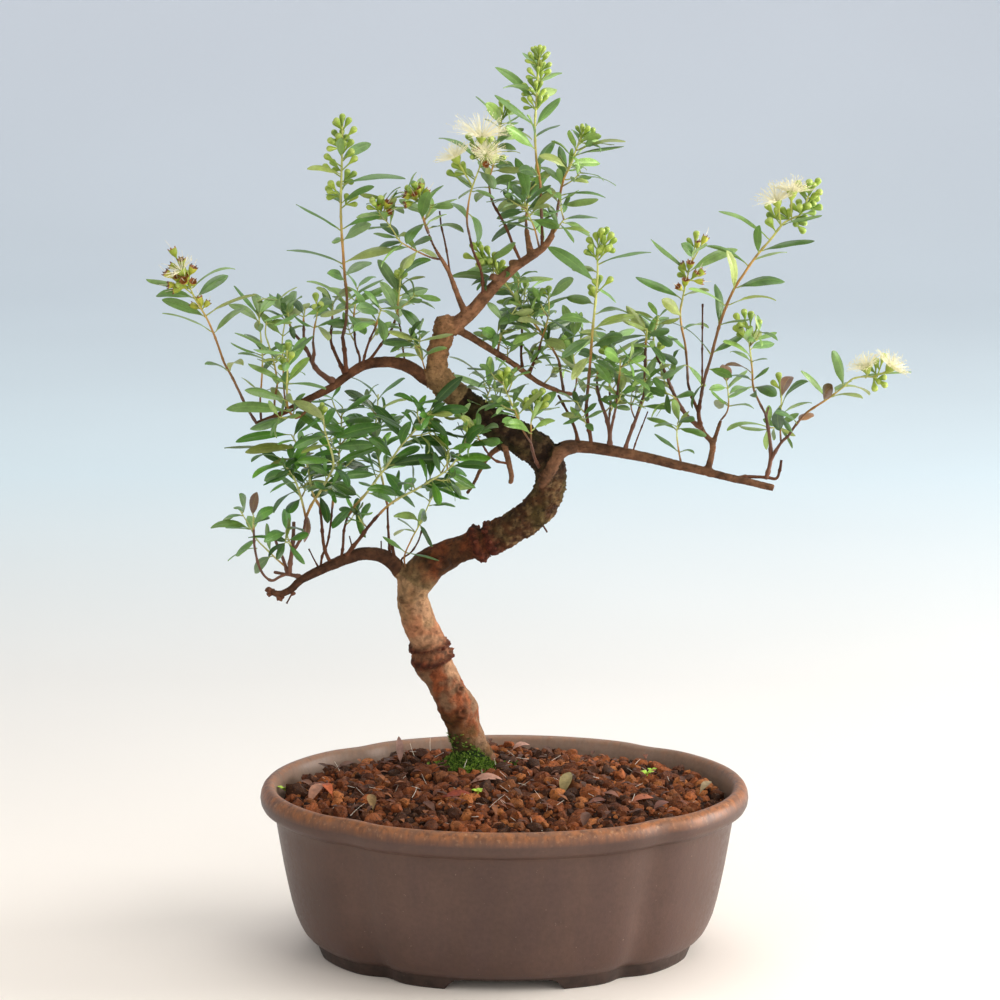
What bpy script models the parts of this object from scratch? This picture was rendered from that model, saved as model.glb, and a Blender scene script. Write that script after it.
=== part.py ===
"""Syzygium bonsai in its glazed pot. Blender 4.5, metres, +Z up, front towards -Y.

Every place on the tree is read as (x, z) in millimetres on the upright plane through the pot's
middle, as an eye at EYE sees it, and then moved along the line of sight to its own depth y.
"""
import math
import random

import bpy
from mathutils import Vector
from mathutils.bvhtree import BVHTree
from mathutils.geometry import delaunay_2d_cdt, intersect_ray_tri

# Driving dimensions, in millimetres
MM = 0.001
EYE = Vector((-1.6, -1300.0, 436.0))
GAP = 0.3
GUARD = 0.34
CENTRE_X = 9.7

POT_LENGTH = 180.0
POT_WIDTH = 137.0
POT_HEIGHT = 63.0
LIP_HEIGHT = 10.5
LIP_OVERHANG = 4.2
FOOT_INSET = 22.0
FOOT_ARCH = 42.0
FOOT_ARCH_HEIGHT = 3.0
CREASE_ANGLE = 50.0
CREASE_DEPTH = 2.3
CREASE_SPREAD = 8.5
POT_SEGMENTS = 36
FLOOR_TOP = 12.0
FLOOR_BOTTOM = 4.5
DRAIN_SPACING = 70.0
DRAIN_DIAMETER = 14.0
NET_SIZE = 26.0
NET_THICKNESS = 1.0
NET_HOLE = 8.6
NET_PITCH = 11.3

TRUNK_FOOT = (-11.8, 31.0)
TRUNK_HOLE = 8.0
HOLE_FLOOR = 41.5
SOIL_INSET = 8.2
SOIL_EDGE = 57.0
SOIL_DOME = 3.4
SOIL_CROWN = 61.5
MOUND_SPREAD = 16.0
EDGE_FALL = 0.18
MOSS_RADIUS = 13.8
MOSS_HEIGHT = 4.4
GRANULE_PITCH = 6.3
GRANULE_ROW = GRANULE_PITCH * math.sqrt(3) / 2
GRANULE_HEIGHT = 2.6
GRANULE_SHAKE = 0.7

LEAF_WIDTH = 5.3
LEAF_LENGTH = 17.5
LEAF_THICKNESS = 0.8
LEAF_ARCH = 0.16
LEAF_RINGS = ((0.0, 0.24), (0.48, 0.92), (0.84, 0.84))
BUD_RADIUS = 1.35
BUD_STALK = 0.42
BUD_LENGTH = 1.3
BUD_DROP = 4.6
BUD_LEAN = 2.5
CUP_DROP = 8.0
RING_STEP = 0.8
STEM_TAPER = 0.42
LIMB_TAPER = 0.8

# Rings of the pot from under its floor, over the lip and down to the floor, as inset and height
POT_RINGS = [
    (FOOT_INSET + 8, FLOOR_BOTTOM), (FOOT_INSET + 7.4, 0), (FOOT_INSET + 0.8, 0), (FOOT_INSET - 1.2, 3.4),
    (FOOT_INSET - 3.4, 4), (15.4, 7.6), (12, 15.3), (9.4, 27), (LIP_OVERHANG + 1, POT_HEIGHT - LIP_HEIGHT),
    (1, POT_HEIGHT - LIP_HEIGHT + 1), (0, POT_HEIGHT - 5.4), (1.4, POT_HEIGHT - 1), (3.4, POT_HEIGHT),
    (5.4, POT_HEIGHT - 1), (7.4, 54), (15.2, 22), (20, 14.4), (27, FLOOR_TOP),
]
# Rings of the soil from its underside up the pot's wall to its edge
SOIL_RINGS = [(27.5, FLOOR_TOP + 0.3), (20.6, 14.7), (15.8, 22.2), (SOIL_INSET, SOIL_EDGE - 1)]

# Section of the moss round the trunk, as shares of its width and of its height
MOSS_PROFILE = [(0.0, 0.0), (1.0, 0.0), (0.95, 0.3), (0.7, 0.62), (0.36, 0.85), (0.0, 1.0)]

# Trunk readings: x, z, depth y, radius
TRUNK = [
    (-10.7, 51.5, 32.0, 4.5), (-11.0, 62.0, 31.5, 6.6), (-11.8, 73.0, 31.0, 6.7),
    (-13.8, 80.0, 30.0, 6.5), (-15.4, 85.5, 29.5, 6.4), (-16.7, 90.0, 29.0, 7.3),
    (-19.6, 95.5, 28.0, 6.6), (-22.2, 101.0, 27.5, 6.4), (-25.2, 106.5, 27.0, 7.0),
    (-26.6, 109.5, 26.5, 8.0), (-27.2, 112.0, 26.0, 7.2), (-27.9, 114.6, 26.0, 7.6),
    (-28.6, 117.5, 25.5, 6.4), (-30.6, 122.0, 25.0, 6.3), (-32.6, 128.0, 24.5, 6.2),
    (-33.4, 133.5, 24.0, 5.9), (-32.2, 139.0, 23.5, 6.6), (-27.5, 144.5, 22.5, 6.3),
    (-21.0, 148.6, 21.0, 5.5), (-14.5, 151.2, 19.5, 4.9), (-9.4, 153.0, 18.5, 6.3),
    (-6.4, 154.2, 18.0, 5.3), (-3.4, 155.2, 17.5, 5.9), (2.5, 158.4, 16.5, 5.5),
    (9.0, 162.6, 15.0, 5.7), (13.8, 168.0, 14.0, 5.7), (16.4, 174.5, 13.0, 5.5),
    (16.6, 180.5, 12.5, 5.5), (13.4, 186.4, 12.0, 6.0), (6.5, 191.4, 11.5, 5.7),
    (-1.0, 195.4, 11.0, 5.4), (-8.0, 200.0, 10.0, 4.8), (-14.5, 205.5, 9.0, 4.5),
    (-20.5, 210.4, 8.0, 4.6), (-24.2, 216.0, 7.0, 4.0), (-24.0, 222.0, 6.5, 3.4),
    (-22.4, 228.0, 6.0, 3.9), (-21.6, 233.4, 6.0, 3.4), (-22.4, 236.4, 6.0, 2.4),
]

# Limbs of bare wood: name, parent, change of depth along it, radius at each end, readings
LIMBS = [
    ("low_left", "trunk", -15, 3.3, 1.5, [(-34, 137.5), (-37.5, 141.8), (-40.5, 145.5), (-44, 148),
     (-48, 149),
     (-52, 149), (-56, 147.8), (-60, 146.2), (-65, 144), (-70, 141.5), (-74.5, 139), (-78, 135.6),
     (-82, 134), (-85.2, 134.8)]),
    ("low_left_stub", "low_left", 3, 1.3, 0.8, [(-73.5, 140), (-77, 141), (-80, 141.4), (-84, 142.2)]),
    ("low_end_twig", "low_left_stub", -4, 0.9, 0.7, [(-79, 141.6), (-82, 140.4), (-85, 139),
     (-88, 141.4), (-89.9, 146), (-91, 152), (-91.2, 158)]),
    ("low_left_peg", "low_left", -3, 0.6, 0.5, [(-75.5, 138), (-77.6, 134), (-79.6, 130.4)]),
    ("low_left_post", "low_left_stub", -3, 1.3, 1.0, [(-78.4, 141.2), (-78, 146), (-77.2, 151),
     (-76.8, 156), (-76.6, 160.8)]),
    ("low_left_fork", "low_left_stub", 5, 1.1, 0.8, [(-79, 141.8), (-80.6, 147), (-82.6, 152),
     (-84.2, 156.4)]),
    ("low_left_arm", "low_left_post", -5, 1.1, 0.7, [(-77.4, 149.4), (-75, 153), (-73.2, 157.4),
     (-72.2, 162.4)]),
    ("low_post_b", "low_left", -6, 1.1, 0.8, [(-63, 145), (-65, 149.4), (-66, 154), (-66.4, 160),
     (-67, 166.4)]),
    ("low_post_c", "low_left", 7, 0.8, 0.6, [(-67, 143.8), (-66.4, 148), (-64.4, 153), (-63.2, 160),
     (-62.6, 166)]),
    ("low_spike", "low_left", 6, 0.5, 0.4, [(-67.5, 143.4), (-69.4, 147), (-71.2, 150.8)]),
    ("low_post_d", "low_left", -10, 1.2, 0.9, [(-58.5, 147), (-55.5, 151.2), (-52.6, 154.8),
     (-49.4, 159.2), (-46, 163.2)]),
    ("low_post_e", "low_left", -4, 0.9, 0.7, [(-59.6, 146.6), (-58.8, 152), (-58.4, 157.6), (-57, 163)]),
    ("low_spike_b", "low_left", 4, 0.5, 0.4, [(-54.8, 148), (-55.6, 152), (-56.4, 155.6)]),
    ("low_spike_c", "low_left", 3, 0.5, 0.4, [(-44.8, 148.4), (-44.9, 153.8)]),
    ("low_post_f", "low_left", 6, 1.0, 0.6, [(-41.4, 146.6), (-41.9, 152), (-42.3, 159), (-42.5, 167)]),
    ("low_knob", "low_left", -3, 1.2, 0.9, [(-39.8, 145), (-40.4, 149), (-40.8, 152.6)]),
    ("crotch_twig", "trunk", -6, 0.6, 0.5, [(-33.5, 141.5), (-36.6, 144.6), (-37.4, 147), (-34, 149.6),
     (-31.4, 153.6), (-30, 158)]),
    ("mid_left", "trunk", -12, 2.7, 1.3, [(-24, 212.5), (-28.4, 213.8), (-32, 216.6), (-36, 218.7),
     (-41, 219.8), (-46, 219.6),
     (-50.5, 218.6), (-54.5, 216.4), (-58, 213.8), (-62, 210.8), (-67, 208), (-72.5, 205.4),
     (-78.5, 202), (-84, 199.4), (-89.6, 197.2)]),
    ("mid_left_fork", "mid_left", 9, 1.6, 0.8, [(-60.8, 212), (-64.6, 214.4), (-67.4, 216.8),
     (-69.4, 220), (-70.8, 223.4),
     (-73.4, 227.4), (-76.4, 231)]),
    ("fork_twig_a", "mid_left_fork", -3, 0.9, 0.8, [(-72, 225.4), (-72.2, 229), (-72.2, 233)]),
    ("fork_twig_b", "mid_left_fork", -7, 1.1, 0.8, [(-69.2, 219.4), (-68.6, 223), (-68.9, 227)]),
    ("mid_post_a", "mid_left", 7, 1.2, 0.7, [(-57.4, 214.6), (-59, 218.6), (-61, 223), (-62.5, 227.6),
     (-62, 234)]),
    ("mid_post_b", "mid_left", -1, 1.3, 1.0, [(-57, 215), (-57.4, 221), (-57.8, 225.4), (-58.3, 229)]),
    ("mid_post_c", "mid_left", 9, 0.8, 0.6, [(-52.4, 217.6), (-52.2, 221.6), (-53.6, 226), (-54, 231)]),
    ("mid_post_d", "mid_left", -6, 0.8, 0.6, [(-51.4, 218), (-50.2, 222.6), (-48.6, 227.6), (-46.6, 232)]),
    ("mid_post_e", "mid_left", 2, 1.0, 0.7, [(-50, 218.6), (-46.4, 223.4), (-43.4, 227.6), (-40.6, 231.6)]),
    ("mid_post_f", "mid_left", 9, 0.6, 0.5, [(-35.6, 218.4), (-36.5, 224), (-37, 229.6), (-38, 234.4)]),
    ("right", "trunk", -7, 2.7, 1.6, [(14.6, 176), (16.6, 181.4), (18.6, 186), (22, 188.6), (27, 188.8),
     (33, 188.2), (40, 187),
     (47, 185.6), (54, 184.2), (61, 182.3), (68, 180.8), (75, 179), (82, 177.2), (90, 175.4),
     (97.8, 173.4)]),
    ("right_twin", "right", 5, 1.1, 0.8, [(83, 177.2), (89, 177.6), (95, 177.4), (98.6, 177),
     (99.8, 180), (100.4, 183.8)]),
    ("right_post_a", "right", 9, 1.1, 0.7, [(26.6, 189.4), (25.8, 194.4), (23.6, 199.8), (21.4, 204),
     (19.4, 207.6)]),
    ("right_post_b", "right", -3, 1.1, 1.0, [(31.6, 188.6), (30.8, 194), (29.8, 199.6), (29.6, 204.4)]),
    ("right_post_c", "right", 4, 1.3, 0.9, [(38, 188), (38.1, 193.6), (37, 199), (34.8, 205), (33.4, 211)]),
    ("right_post_d", "right_post_c", -7, 0.9, 0.7, [(38.2, 193), (39.4, 199), (40.6, 205.4), (41, 211.4)]),
    ("right_post_e", "right_post_c", 8, 0.7, 0.6, [(37.6, 196.6), (38.2, 203), (38, 209)]),
    ("right_post_f", "right", 3, 1.1, 0.8, [(43.4, 186.8), (45, 192), (47.2, 198), (49.2, 204),
     (50.6, 209), (50.6, 217), (50.8, 224)]),
    ("right_spike", "right", -7, 0.5, 0.4, [(46.4, 186.4), (47.8, 191), (50, 196.8), (51.8, 201.6)]),
    ("right_main", "right", 3, 1.7, 1.3, [(73.6, 179.4), (74.8, 184.6), (75.4, 189.6), (72.6, 193.2),
     (70.6, 197)]),
    ("right_main_arm", "right_main", 4, 1.3, 0.8, [(71.4, 195.4), (66.4, 199.6), (62.8, 205),
     (60.2, 210.4), (58, 216), (55, 221.4)]),
    ("right_main_stem", "right_main", -6, 1.2, 1.0, [(70.9, 196), (70.2, 201), (70.8, 206)]),
    ("right_main_mid", "right_main_stem", 8, 1.0, 0.8, [(70.2, 201.4), (67.6, 207.4), (66.2, 212)]),
    ("right_bare", "right_main_stem", 4, 0.6, 0.5, [(70.6, 204.6), (71.3, 213), (71.2, 227), (71.2, 241)]),
    ("right_main_stub", "right_main", 4, 1.4, 1.1, [(75.2, 188.4), (76.8, 193.6), (78.2, 198.4)]),
    ("right_end_post", "right_twin", -5, 1.2, 0.9, [(95, 177.4), (96.2, 182), (96.5, 187), (96, 192),
     (95.2, 196.6), (94.4, 200.6)]),
    ("right_end_horn", "right_end_post", 3, 0.7, 0.6, [(94.6, 199.6), (95.4, 203.2)]),
    ("right_end_arm", "right_end_post", -5, 1.1, 0.8, [(96.4, 183.4), (98.4, 187.4), (100.4, 190.4),
     (102.8, 192.8)]),
    ("behind", "trunk", 18, 1.9, 1.2, [(-20, 232.4), (-15.4, 230.8), (-10, 227.6), (-4.6, 224.2),
     (0.4, 221), (5, 217.8), (8.6, 215),
     (12.6, 212.2), (17, 210.2), (21, 208.6), (25, 208)]),
    ("behind_post_a", "behind", 5, 0.9, 0.7, [(6.6, 216.6), (6, 222.6), (6.4, 229)]),
    ("behind_post_b", "behind", -3, 1.1, 0.8, [(8.8, 215.4), (10.6, 219.6), (12.2, 223.2)]),
    ("hanging", "trunk", -8, 1.8, 1.3, [(-7.4, 200.6), (-4, 197.4), (-1.4, 192.8), (0.4, 187.6),
     (1.6, 182.4), (2.6, 178), (2.1, 175)]),
    ("hanging_twig", "hanging", -7, 0.8, 0.6, [(1, 182.6), (-3.2, 183.6), (-6.2, 186.6), (-8, 189.6)]),
    ("hidden", "trunk", 15, 1.6, 1.0, [(1, 190), (-5, 186), (-8.6, 180.4), (-11, 175.4), (-13.6, 171.4)]),
    ("front_peg", "trunk", -18, 1.1, 0.8, [(14.4, 178), (11.2, 184), (9.6, 190)]),
    ("trunk_thorn", "trunk", -2, 0.7, 0.5, [(12, 163), (15.6, 157)]),
    ("leader", "trunk", 3, 3.1, 1.5, [(-22, 231), (-17.4, 233.6), (-12, 238), (-7, 243.6), (-2, 249),
     (4, 254.4), (10, 258.4),
     (14.6, 262), (17.2, 266)]),
    ("leader_stump", "leader", -4, 1.8, 1.6, [(-1.6, 249.4), (-4.6, 251)]),
    ("leader_stump_b", "leader", 3, 1.9, 1.7, [(5.4, 255.4), (2.2, 255.6)]),
    ("leader_fork", "leader", 6, 1.8, 1.3, [(9.6, 258.2), (8.6, 263), (7.8, 268)]),
    ("leader_twig", "leader", -4, 1.0, 0.7, [(6, 256), (3.2, 262), (1, 267.6), (-1.2, 272), (-4, 276.8)]),
    ("leader_post", "leader", -1, 1.0, 0.8, [(13.4, 261), (13.5, 266), (13.3, 271)]),
    ("leader_right", "leader", 3, 1.4, 0.9, [(16.8, 265.4), (17.8, 269.4), (18.8, 274)]),
    ("upper_left", "leader", -12, 1.7, 0.9, [(-13.6, 236.6), (-16.4, 243), (-18.6, 249), (-20.4, 253.4),
     (-23, 257.8),
     (-25.4, 262), (-27.2, 266.4)]),
    ("upper_left_spike", "upper_left", 6, 0.6, 0.5, [(-19.6, 251.4), (-20.2, 257), (-21.4, 263.6),
     (-22.6, 269), (-23.2, 274.4)]),
    ("bloom_post", "leader", -9, 1.0, 0.7, [(-8, 242.6), (-7.8, 248), (-8.6, 253.6), (-11.2, 260),
     (-12.4, 265)]),
]

# Limbs that stand apart from the wood, each with the limbs that grow from it
SPRAYS = {
    "low_left_stub": ("low_left_post", "low_left_fork", "low_left_arm", "low_end_twig"),
    "mid_left_fork": ("fork_twig_a", "fork_twig_b"),
    "right_post_c": ("right_post_d", "right_post_e"),
    "right_end_post": ("right_end_horn", "right_end_arm"),
    "right_post_f": (),
    "right_main_arm": (),
    "front_peg": (),
}

# Sprays and shoots of old dark leaves, and shoots of fresh yellowish ones
DARK_SHOOTS = ("low_left_stub", "dark_left", "low_centre", "low_right", "low_back", "low_back_left")
FRESH_SHOOTS = ("bright_left", "leader_yellow", "leader_pair", "left_tip", "mid_top")

# Leafy shoots: name, parent limb, change of depth, radius, stem readings, then
# leaves as base x, z, tip x, z and how broad the blade is seen (0 on edge, 1 full face),
# then bud tips as x, z
SHOOTS = [
    ("left_tip", "mid_left", -7, 0.9, [(-89.6, 197.2), (-93, 203), (-96, 209.5), (-98.4, 214.6),
     (-101, 219.5), (-103, 225.4),
     (-105, 231), (-107.4, 236.4), (-110.6, 241.8), (-113, 247)],
     [(-99.5, 216.5, -108, 218.8, .4), (-99, 216, -94.7, 220.4, .2), (-104.6, 230.6, -123, 237.3, .1),
      (-104, 230, -93.3, 241, .8),
      (-107, 236, -123, 242.4, .7), (-107.5, 236, -89, 243.6, .1), (-111, 243, -125.5, 244.3, .6),
      (-111, 243, -98.5, 251.8, .7),
      (-112.5, 246.5, -128.5, 249.6, .8), (-112.5, 247, -97, 255.3, .2)],
     [(-119, 260.8), (-121.6, 252.4), (-109.4, 242)]),
    ("left_inner", "mid_left", 4, 0.7, [(-88, 198), (-88.2, 206), (-87.6, 213), (-87.2, 221),
     (-87.8, 230), (-88.3, 236.5)],
     [(-88.3, 236, -97.6, 247, .7), (-88.3, 236.5, -90.5, 245.5, .6), (-88, 235.5, -80.7, 244.3, .8),
      (-88.2, 233, -99, 240.6, .5),
      (-88, 233, -84.4, 243, .6), (-87.3, 222, -93, 231.5, .5)], []),
    ("left_inner_b", "mid_left", -4, 0.7, [(-83, 199.6), (-83, 206), (-82, 212), (-83, 219),
     (-84.7, 225.5), (-86, 230), (-85.6, 235)],
     [(-85.7, 232.5, -76.5, 234, .3),
      (-83, 218, -96, 222.6, .2)], []),
    ("left_inner_c", "mid_left", 9, 0.6, [(-79, 202.4), (-79.6, 210), (-79.8, 218), (-80, 227),
     (-79.2, 233), (-78.3, 237.5)],
     [(-78.4, 237, -88, 239, .4), (-78.8, 234.4, -70, 241.8, .7),
      (-78.4, 237, -73.4, 246, .8)], []),
    ("bright_left", "mid_left", -17, 0.9, [(-69.6, 207), (-71.6, 202), (-75.4, 199.4), (-78.2, 203),
     (-78.5, 210), (-78.2, 217),
     (-78.3, 224)],
     [(-78.3, 205, -93, 210.3, .7), (-77, 201, -100.6, 203, .8), (-78.3, 206, -66, 199.6, .5),
      (-78.5, 211, -92.4, 219.4, .4),
      (-78.3, 211.5, -70.4, 221, .9), (-78.3, 212, -64.6, 209, .6), (-78.3, 216, -96.6, 231.6, .1),
      (-78.2, 217, -71, 229, .6),
      (-76, 199.6, -92, 194.4, .8)], [(-77.8, 227), (-76.2, 223.4), (-80, 221.4)]),
    ("dark_left", "low_post_b", -9, 0.8, [(-67, 166.4), (-69.8, 172), (-71, 179), (-72.4, 185.4),
     (-75, 189.4), (-77, 193)],
     [(-75, 188.6, -94, 187.2, .9), (-77, 193, -97.4, 190.8, .9), (-74, 188, -62, 195, .8),
      (-72.4, 185.4, -101.4, 187.8, .2),
      (-71.4, 182, -58.6, 184.6, .9), (-70, 173.6, -57.6, 170, .7), (-76, 192, -68, 203, .9)], []),
    ("low_outer", "low_left_arm", -6, 0.8, [(-72.2, 162.4), (-73.4, 168), (-75, 173.6), (-76.8, 178.2),
     (-79.4, 181.6), (-81, 184)],
     [(-80.8, 183.6, -92, 184.8, .2), (-79, 181, -91.5, 178, .7), (-76.8, 178.3, -87.5, 176, .5),
      (-75.8, 175.5, -85, 171.8, .1),
      (-74.6, 172.4, -84.6, 165.6, .6), (-73.8, 169.6, -78.4, 163.8, .6), (-77, 178.6, -72.6, 188, .9),
      (-75, 173, -64, 175, .8)], []),
    ("low_inner", "low_left_arm", -15, 0.9, [(-72.2, 162.4), (-70, 167.4), (-67, 172), (-64.4, 176.5),
     (-62.2, 180.8), (-62.2, 185),
     (-63.6, 190), (-65, 195), (-65.6, 200.4)],
     [(-67.6, 171, -64, 161.2, 1), (-62.4, 180.4, -56.2, 175.2, 1), (-62, 183, -74, 184.4, .9),
      (-62.3, 182, -45.4, 187.8, .8),
      (-63, 188, -47.2, 189.4, 1), (-64, 190.5, -44.4, 196.2, .6), (-64.5, 193, -76, 188.6, .8),
      (-65.3, 197, -59.4, 194.6, .9), (-65.6, 200, -74, 193.6, .9), (-71, 165.4, -71.6, 152.6, .9),
      (-64.8, 176, -54, 171, .9)],
     [(-66.8, 203.6), (-64.6, 203.4)]),
    ("low_centre", "low_post_e", -20, 0.9, [(-57, 163), (-54.2, 167), (-51.4, 170), (-48.6, 173.5),
     (-46, 177.2), (-43, 181),
     (-40.4, 184.8), (-37, 189.6), (-33, 194), (-30, 197.6), (-27.4, 201.2)],
     [(-27.4, 201, -15, 214.3, .8), (-27.3, 200.5, -14, 204.8, .6), (-28, 199.5, -13, 202.3, .4),
      (-36.5, 190.5, -47, 204.6, .9),
      (-37, 188, -34.8, 196.8, 1), (-36, 189.8, -19, 189.8, .6), (-40, 185, -47.6, 191.6, .7),
      (-40.6, 184, -43.6, 182.4, 1),
      (-42, 181, -23.6, 184, .7), (-45.4, 177.6, -57.6, 177.8, .6), (-47, 175, -31.3, 167.4, .9),
      (-50, 171.5, -39.2, 168.2, .9),
      (-54, 166.6, -51.2, 155.4, 1), (-55, 166, -62.6, 158.4, .8), (-34, 193, -47, 199.8, .6),
      (-44, 179.6, -37.6, 172, .8)], []),
    ("low_right", "low_post_d", -12, 0.8, [(-46, 163.2), (-42.4, 166.8), (-38, 169.8), (-32, 173),
     (-27, 176), (-22.6, 178.8),
     (-19, 181.8), (-16.4, 186), (-14, 189.6)],
     [(-19.5, 181, -5, 181, .5), (-18, 183, -4.6, 184.8, .7), (-22, 178.6, -12.8, 178.8, .7),
      (-22, 178, -11.2, 173.4, .8),
      (-31.8, 172.6, -17.4, 175.6, .8), (-27.2, 176.6, -28, 190, .8), (-21.4, 181, -29, 192.4, .5),
      (-33.4, 172.8, -38.4, 174.8, .4),
      (-36, 171.4, -32.4, 177, .6), (-40, 168.6, -38, 180, .8), (-14.4, 189, -8.6, 196, .6),
      (-38.6, 169.6, -48.6, 173.6, .7),
      (-26.6, 176, -24, 166.6, .6)], []),
    ("low_front", "trunk", -18, 0.6, [(-32.6, 140.6), (-35.6, 143), (-36.4, 148), (-34, 154),
     (-31, 159.6), (-29.2, 163.4), (-27.2, 168), (-24.8, 172.6)],
     [(-24.8, 172, -11, 174.2, .5), (-27, 168, -20, 176.4, .4), (-27.4, 168, -35.4, 172.8, .1),
      (-30.8, 160.6, -41, 164.4, .1),
      (-33, 157, -39.4, 161.2, .5), (-33.2, 157.6, -40.2, 156.4, .3), (-30.4, 159.6, -27, 151.8, .9),
      (-30, 162, -28.4, 162.6, .9)], []),
    ("low_back", "low_post_f", 14, 0.8, [(-42.5, 167), (-44, 175), (-45.6, 184), (-47, 193), (-46, 201),
     (-45.6, 208)],
     [(-46, 201, -58, 209, .3), (-46, 201, -34, 207, .3), (-45.8, 206, -56, 214.6, .2),
      (-45.8, 206, -35.6, 213.4, .2),
      (-46.6, 194, -58, 201, .4), (-46.6, 194, -36, 199.4, .4), (-45.2, 181, -56, 186, .5),
      (-45, 180, -34.6, 183, .5)], []),
    ("low_back_left", "low_post_c", 12, 0.8, [(-62.6, 166), (-61.6, 173), (-60.4, 181), (-59.6, 189),
     (-59, 197), (-58.6, 203)],
     [(-58.8, 202.4, -69, 208.6, .4), (-58.8, 202.4, -48, 207.6, .4), (-59, 197, -70, 199, .6),
      (-59, 197, -47.6, 199, .7),
      (-60.4, 182, -71, 177.6, .7), (-60.4, 182, -49, 180, .7), (-61.6, 173, -70.4, 170, .7),
      (-61.4, 172.6, -51.6, 170.6, .7)], []),
    ("low_end", "low_end_twig", -3, 0.7, [(-91.2, 158), (-91.3, 160.6), (-91.2, 163.4)],
     [(-91.2, 162.4, -90, 171.4, 1), (-91.2, 160.6, -84.6, 165.4, .4)], []),
    ("low_pale", "low_left_fork", 4, 0.6, [(-79.2, 143.6), (-83.6, 147.6), (-87, 151), (-90, 154.2),
     (-92, 158), (-94, 161.6), (-96, 165)],
     [(-90, 153.5, -98.5, 148.5, .9), (-88, 151, -101, 146.8, .2), (-84.5, 148, -91.5, 141.5, .9),
      (-92.5, 158, -107.5, 159.4, .3),
      (-94.4, 162, -103, 161.6, .3), (-95.6, 164, -95.6, 171, .6), (-95.6, 164, -98, 166.8, .4),
      (-91.6, 157.6, -93.6, 163.4, .8),
      (-91.4, 157, -86.4, 163.4, .3)], []),
    ("low_short", "low_left_post", -6, 0.6, [(-77.4, 151.6), (-78.6, 154.4), (-79.6, 157.6)],
     [(-79.4, 157.4, -80.4, 166.4, 1), (-79.2, 156.4, -86.2, 154, .5), (-79.4, 157, -73.4, 157.6, .2)], []),
    ("mid_fork_top", "mid_left_fork", -5, 0.7, [(-76.4, 231), (-77.4, 234.4), (-77.8, 238)],
     [(-77.6, 237, -84, 241.4, .7), (-77.6, 236.6, -86.4, 234, .3), (-77.8, 237.6, -72.6, 243.4, .5)], []),
    ("mid_fork_mid", "fork_twig_a", 3, 0.7, [(-72.2, 233), (-72.2, 236), (-71.6, 239.4)],
     [(-72, 236, -76.4, 242.8, .8), (-72, 237.4, -69.6, 232.4, 1), (-72.2, 236, -83, 232.6, .5),
      (-71.8, 238, -61.6, 240.6, .5)], []),
    ("mid_fork_right", "fork_twig_b", -6, 0.6, [(-68.9, 227), (-68.4, 232), (-67.2, 238), (-67.7, 242)],
     [(-67.4, 239, -60.6, 242.8, .7), (-68.2, 234, -74, 240, .6),
      (-68.4, 232, -63.6, 227.6, .5)], [(-67.9, 245), (-65.6, 241.6)]),
    ("spire_left", "mid_post_b", -6, 1.0, [(-58.3, 229), (-57, 234.6), (-56.6, 243), (-57.3, 251),
     (-57.8, 259), (-58.3, 267),
     (-58.5, 275), (-58.3, 283), (-58, 291), (-57.8, 299), (-57.7, 305)],
     [(-58.3, 267, -74.8, 276, .6), (-58.4, 267.5, -39.8, 273.7, .1), (-58.2, 264, -48.8, 269.6, .7),
      (-58.2, 263.4, -61.2, 264.4, .7),
      (-57.8, 254.6, -78, 259.7, .3), (-57.8, 256, -39.8, 261, .4), (-57.5, 250.6, -47.3, 257, .8),
      (-57.5, 248.4, -62.8, 252.2, .7),
      (-56.8, 241, -70.8, 249.6, .5), (-56.6, 242, -43.4, 249.6, .5), (-56.6, 240, -41.4, 247.4, .5),
      (-58.3, 284, -35.4, 285.6, .3),
      (-58.4, 276.6, -47.2, 283.7, .7), (-57.9, 288, -69.6, 290.6, .9), (-57.9, 292.6, -47.4, 298.7, .8),
      (-57.9, 293.4, -58, 300.2, 1),
      (-58.4, 278, -63.8, 281.8, .9), (-57, 246, -50.6, 239.6, .6), (-56.8, 238, -66, 236, .7),
      (-56.8, 238, -50.4, 229, .8)],
     [(-57.6, 309.2), (-60.2, 307.6), (-54.8, 307.8), (-52.8, 304.4), (-61.2, 303.4), (-59.4, 302.2),
      (-56, 301.6),
      (-62.8, 300.4), (-54, 300), (-53.8, 296.4), (-52.6, 294), (-64.2, 294.6), (-62, 292.8),
      (-64.8, 291), (-52.8, 288.4),
      (-62.6, 285.2), (-63.8, 283.2), (-55.6, 286.6), (-52.4, 280.6)]),
    ("mid_back", "mid_post_c", 7, 0.7, [(-54, 231), (-54.2, 236), (-53.4, 242), (-52.6, 247)],
     [(-53.4, 242, -63.4, 246, .5), (-53.4, 242, -43, 245.4, .5), (-54.1, 235, -63.6, 234, .7),
      (-54, 235, -46.4, 233.4, .7),
      (-52.8, 246, -59.6, 254, .6), (-52.8, 246, -46.4, 252, .5)], []),
    ("mid_back_b", "mid_post_a", 8, 0.7, [(-62, 234), (-61.8, 238), (-61.6, 242)],
     [(-61.8, 238, -69.4, 236.4, .7), (-61.7, 240, -67, 247, .6), (-61.7, 240, -55, 246, .6),
      (-61.8, 237.6, -53.6, 240.4, .7)], []),
    ("mid_low", "mid_post_d", -7, 0.7, [(-46.6, 232), (-45.4, 235.6), (-44.4, 239)],
     [(-45, 237, -53, 239.4, .6), (-44.8, 238, -49.6, 245.6, .6), (-45, 236.6, -43.6, 228.8, .9),
      (-46, 234, -54, 231.6, .6),
      (-44.6, 238, -36, 234.6, .5)], []),
    ("brown_shoot", "mid_post_e", -3, 0.8, [(-40.6, 231.6), (-38.9, 236.4), (-38.2, 241), (-37.7, 246),
     (-37.3, 250.6)],
     [(-37.9, 244, -46, 257.2, .8), (-37.4, 247, -28.8, 251.5, .6), (-37.3, 249.4, -27.2, 257.4, .6),
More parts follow.
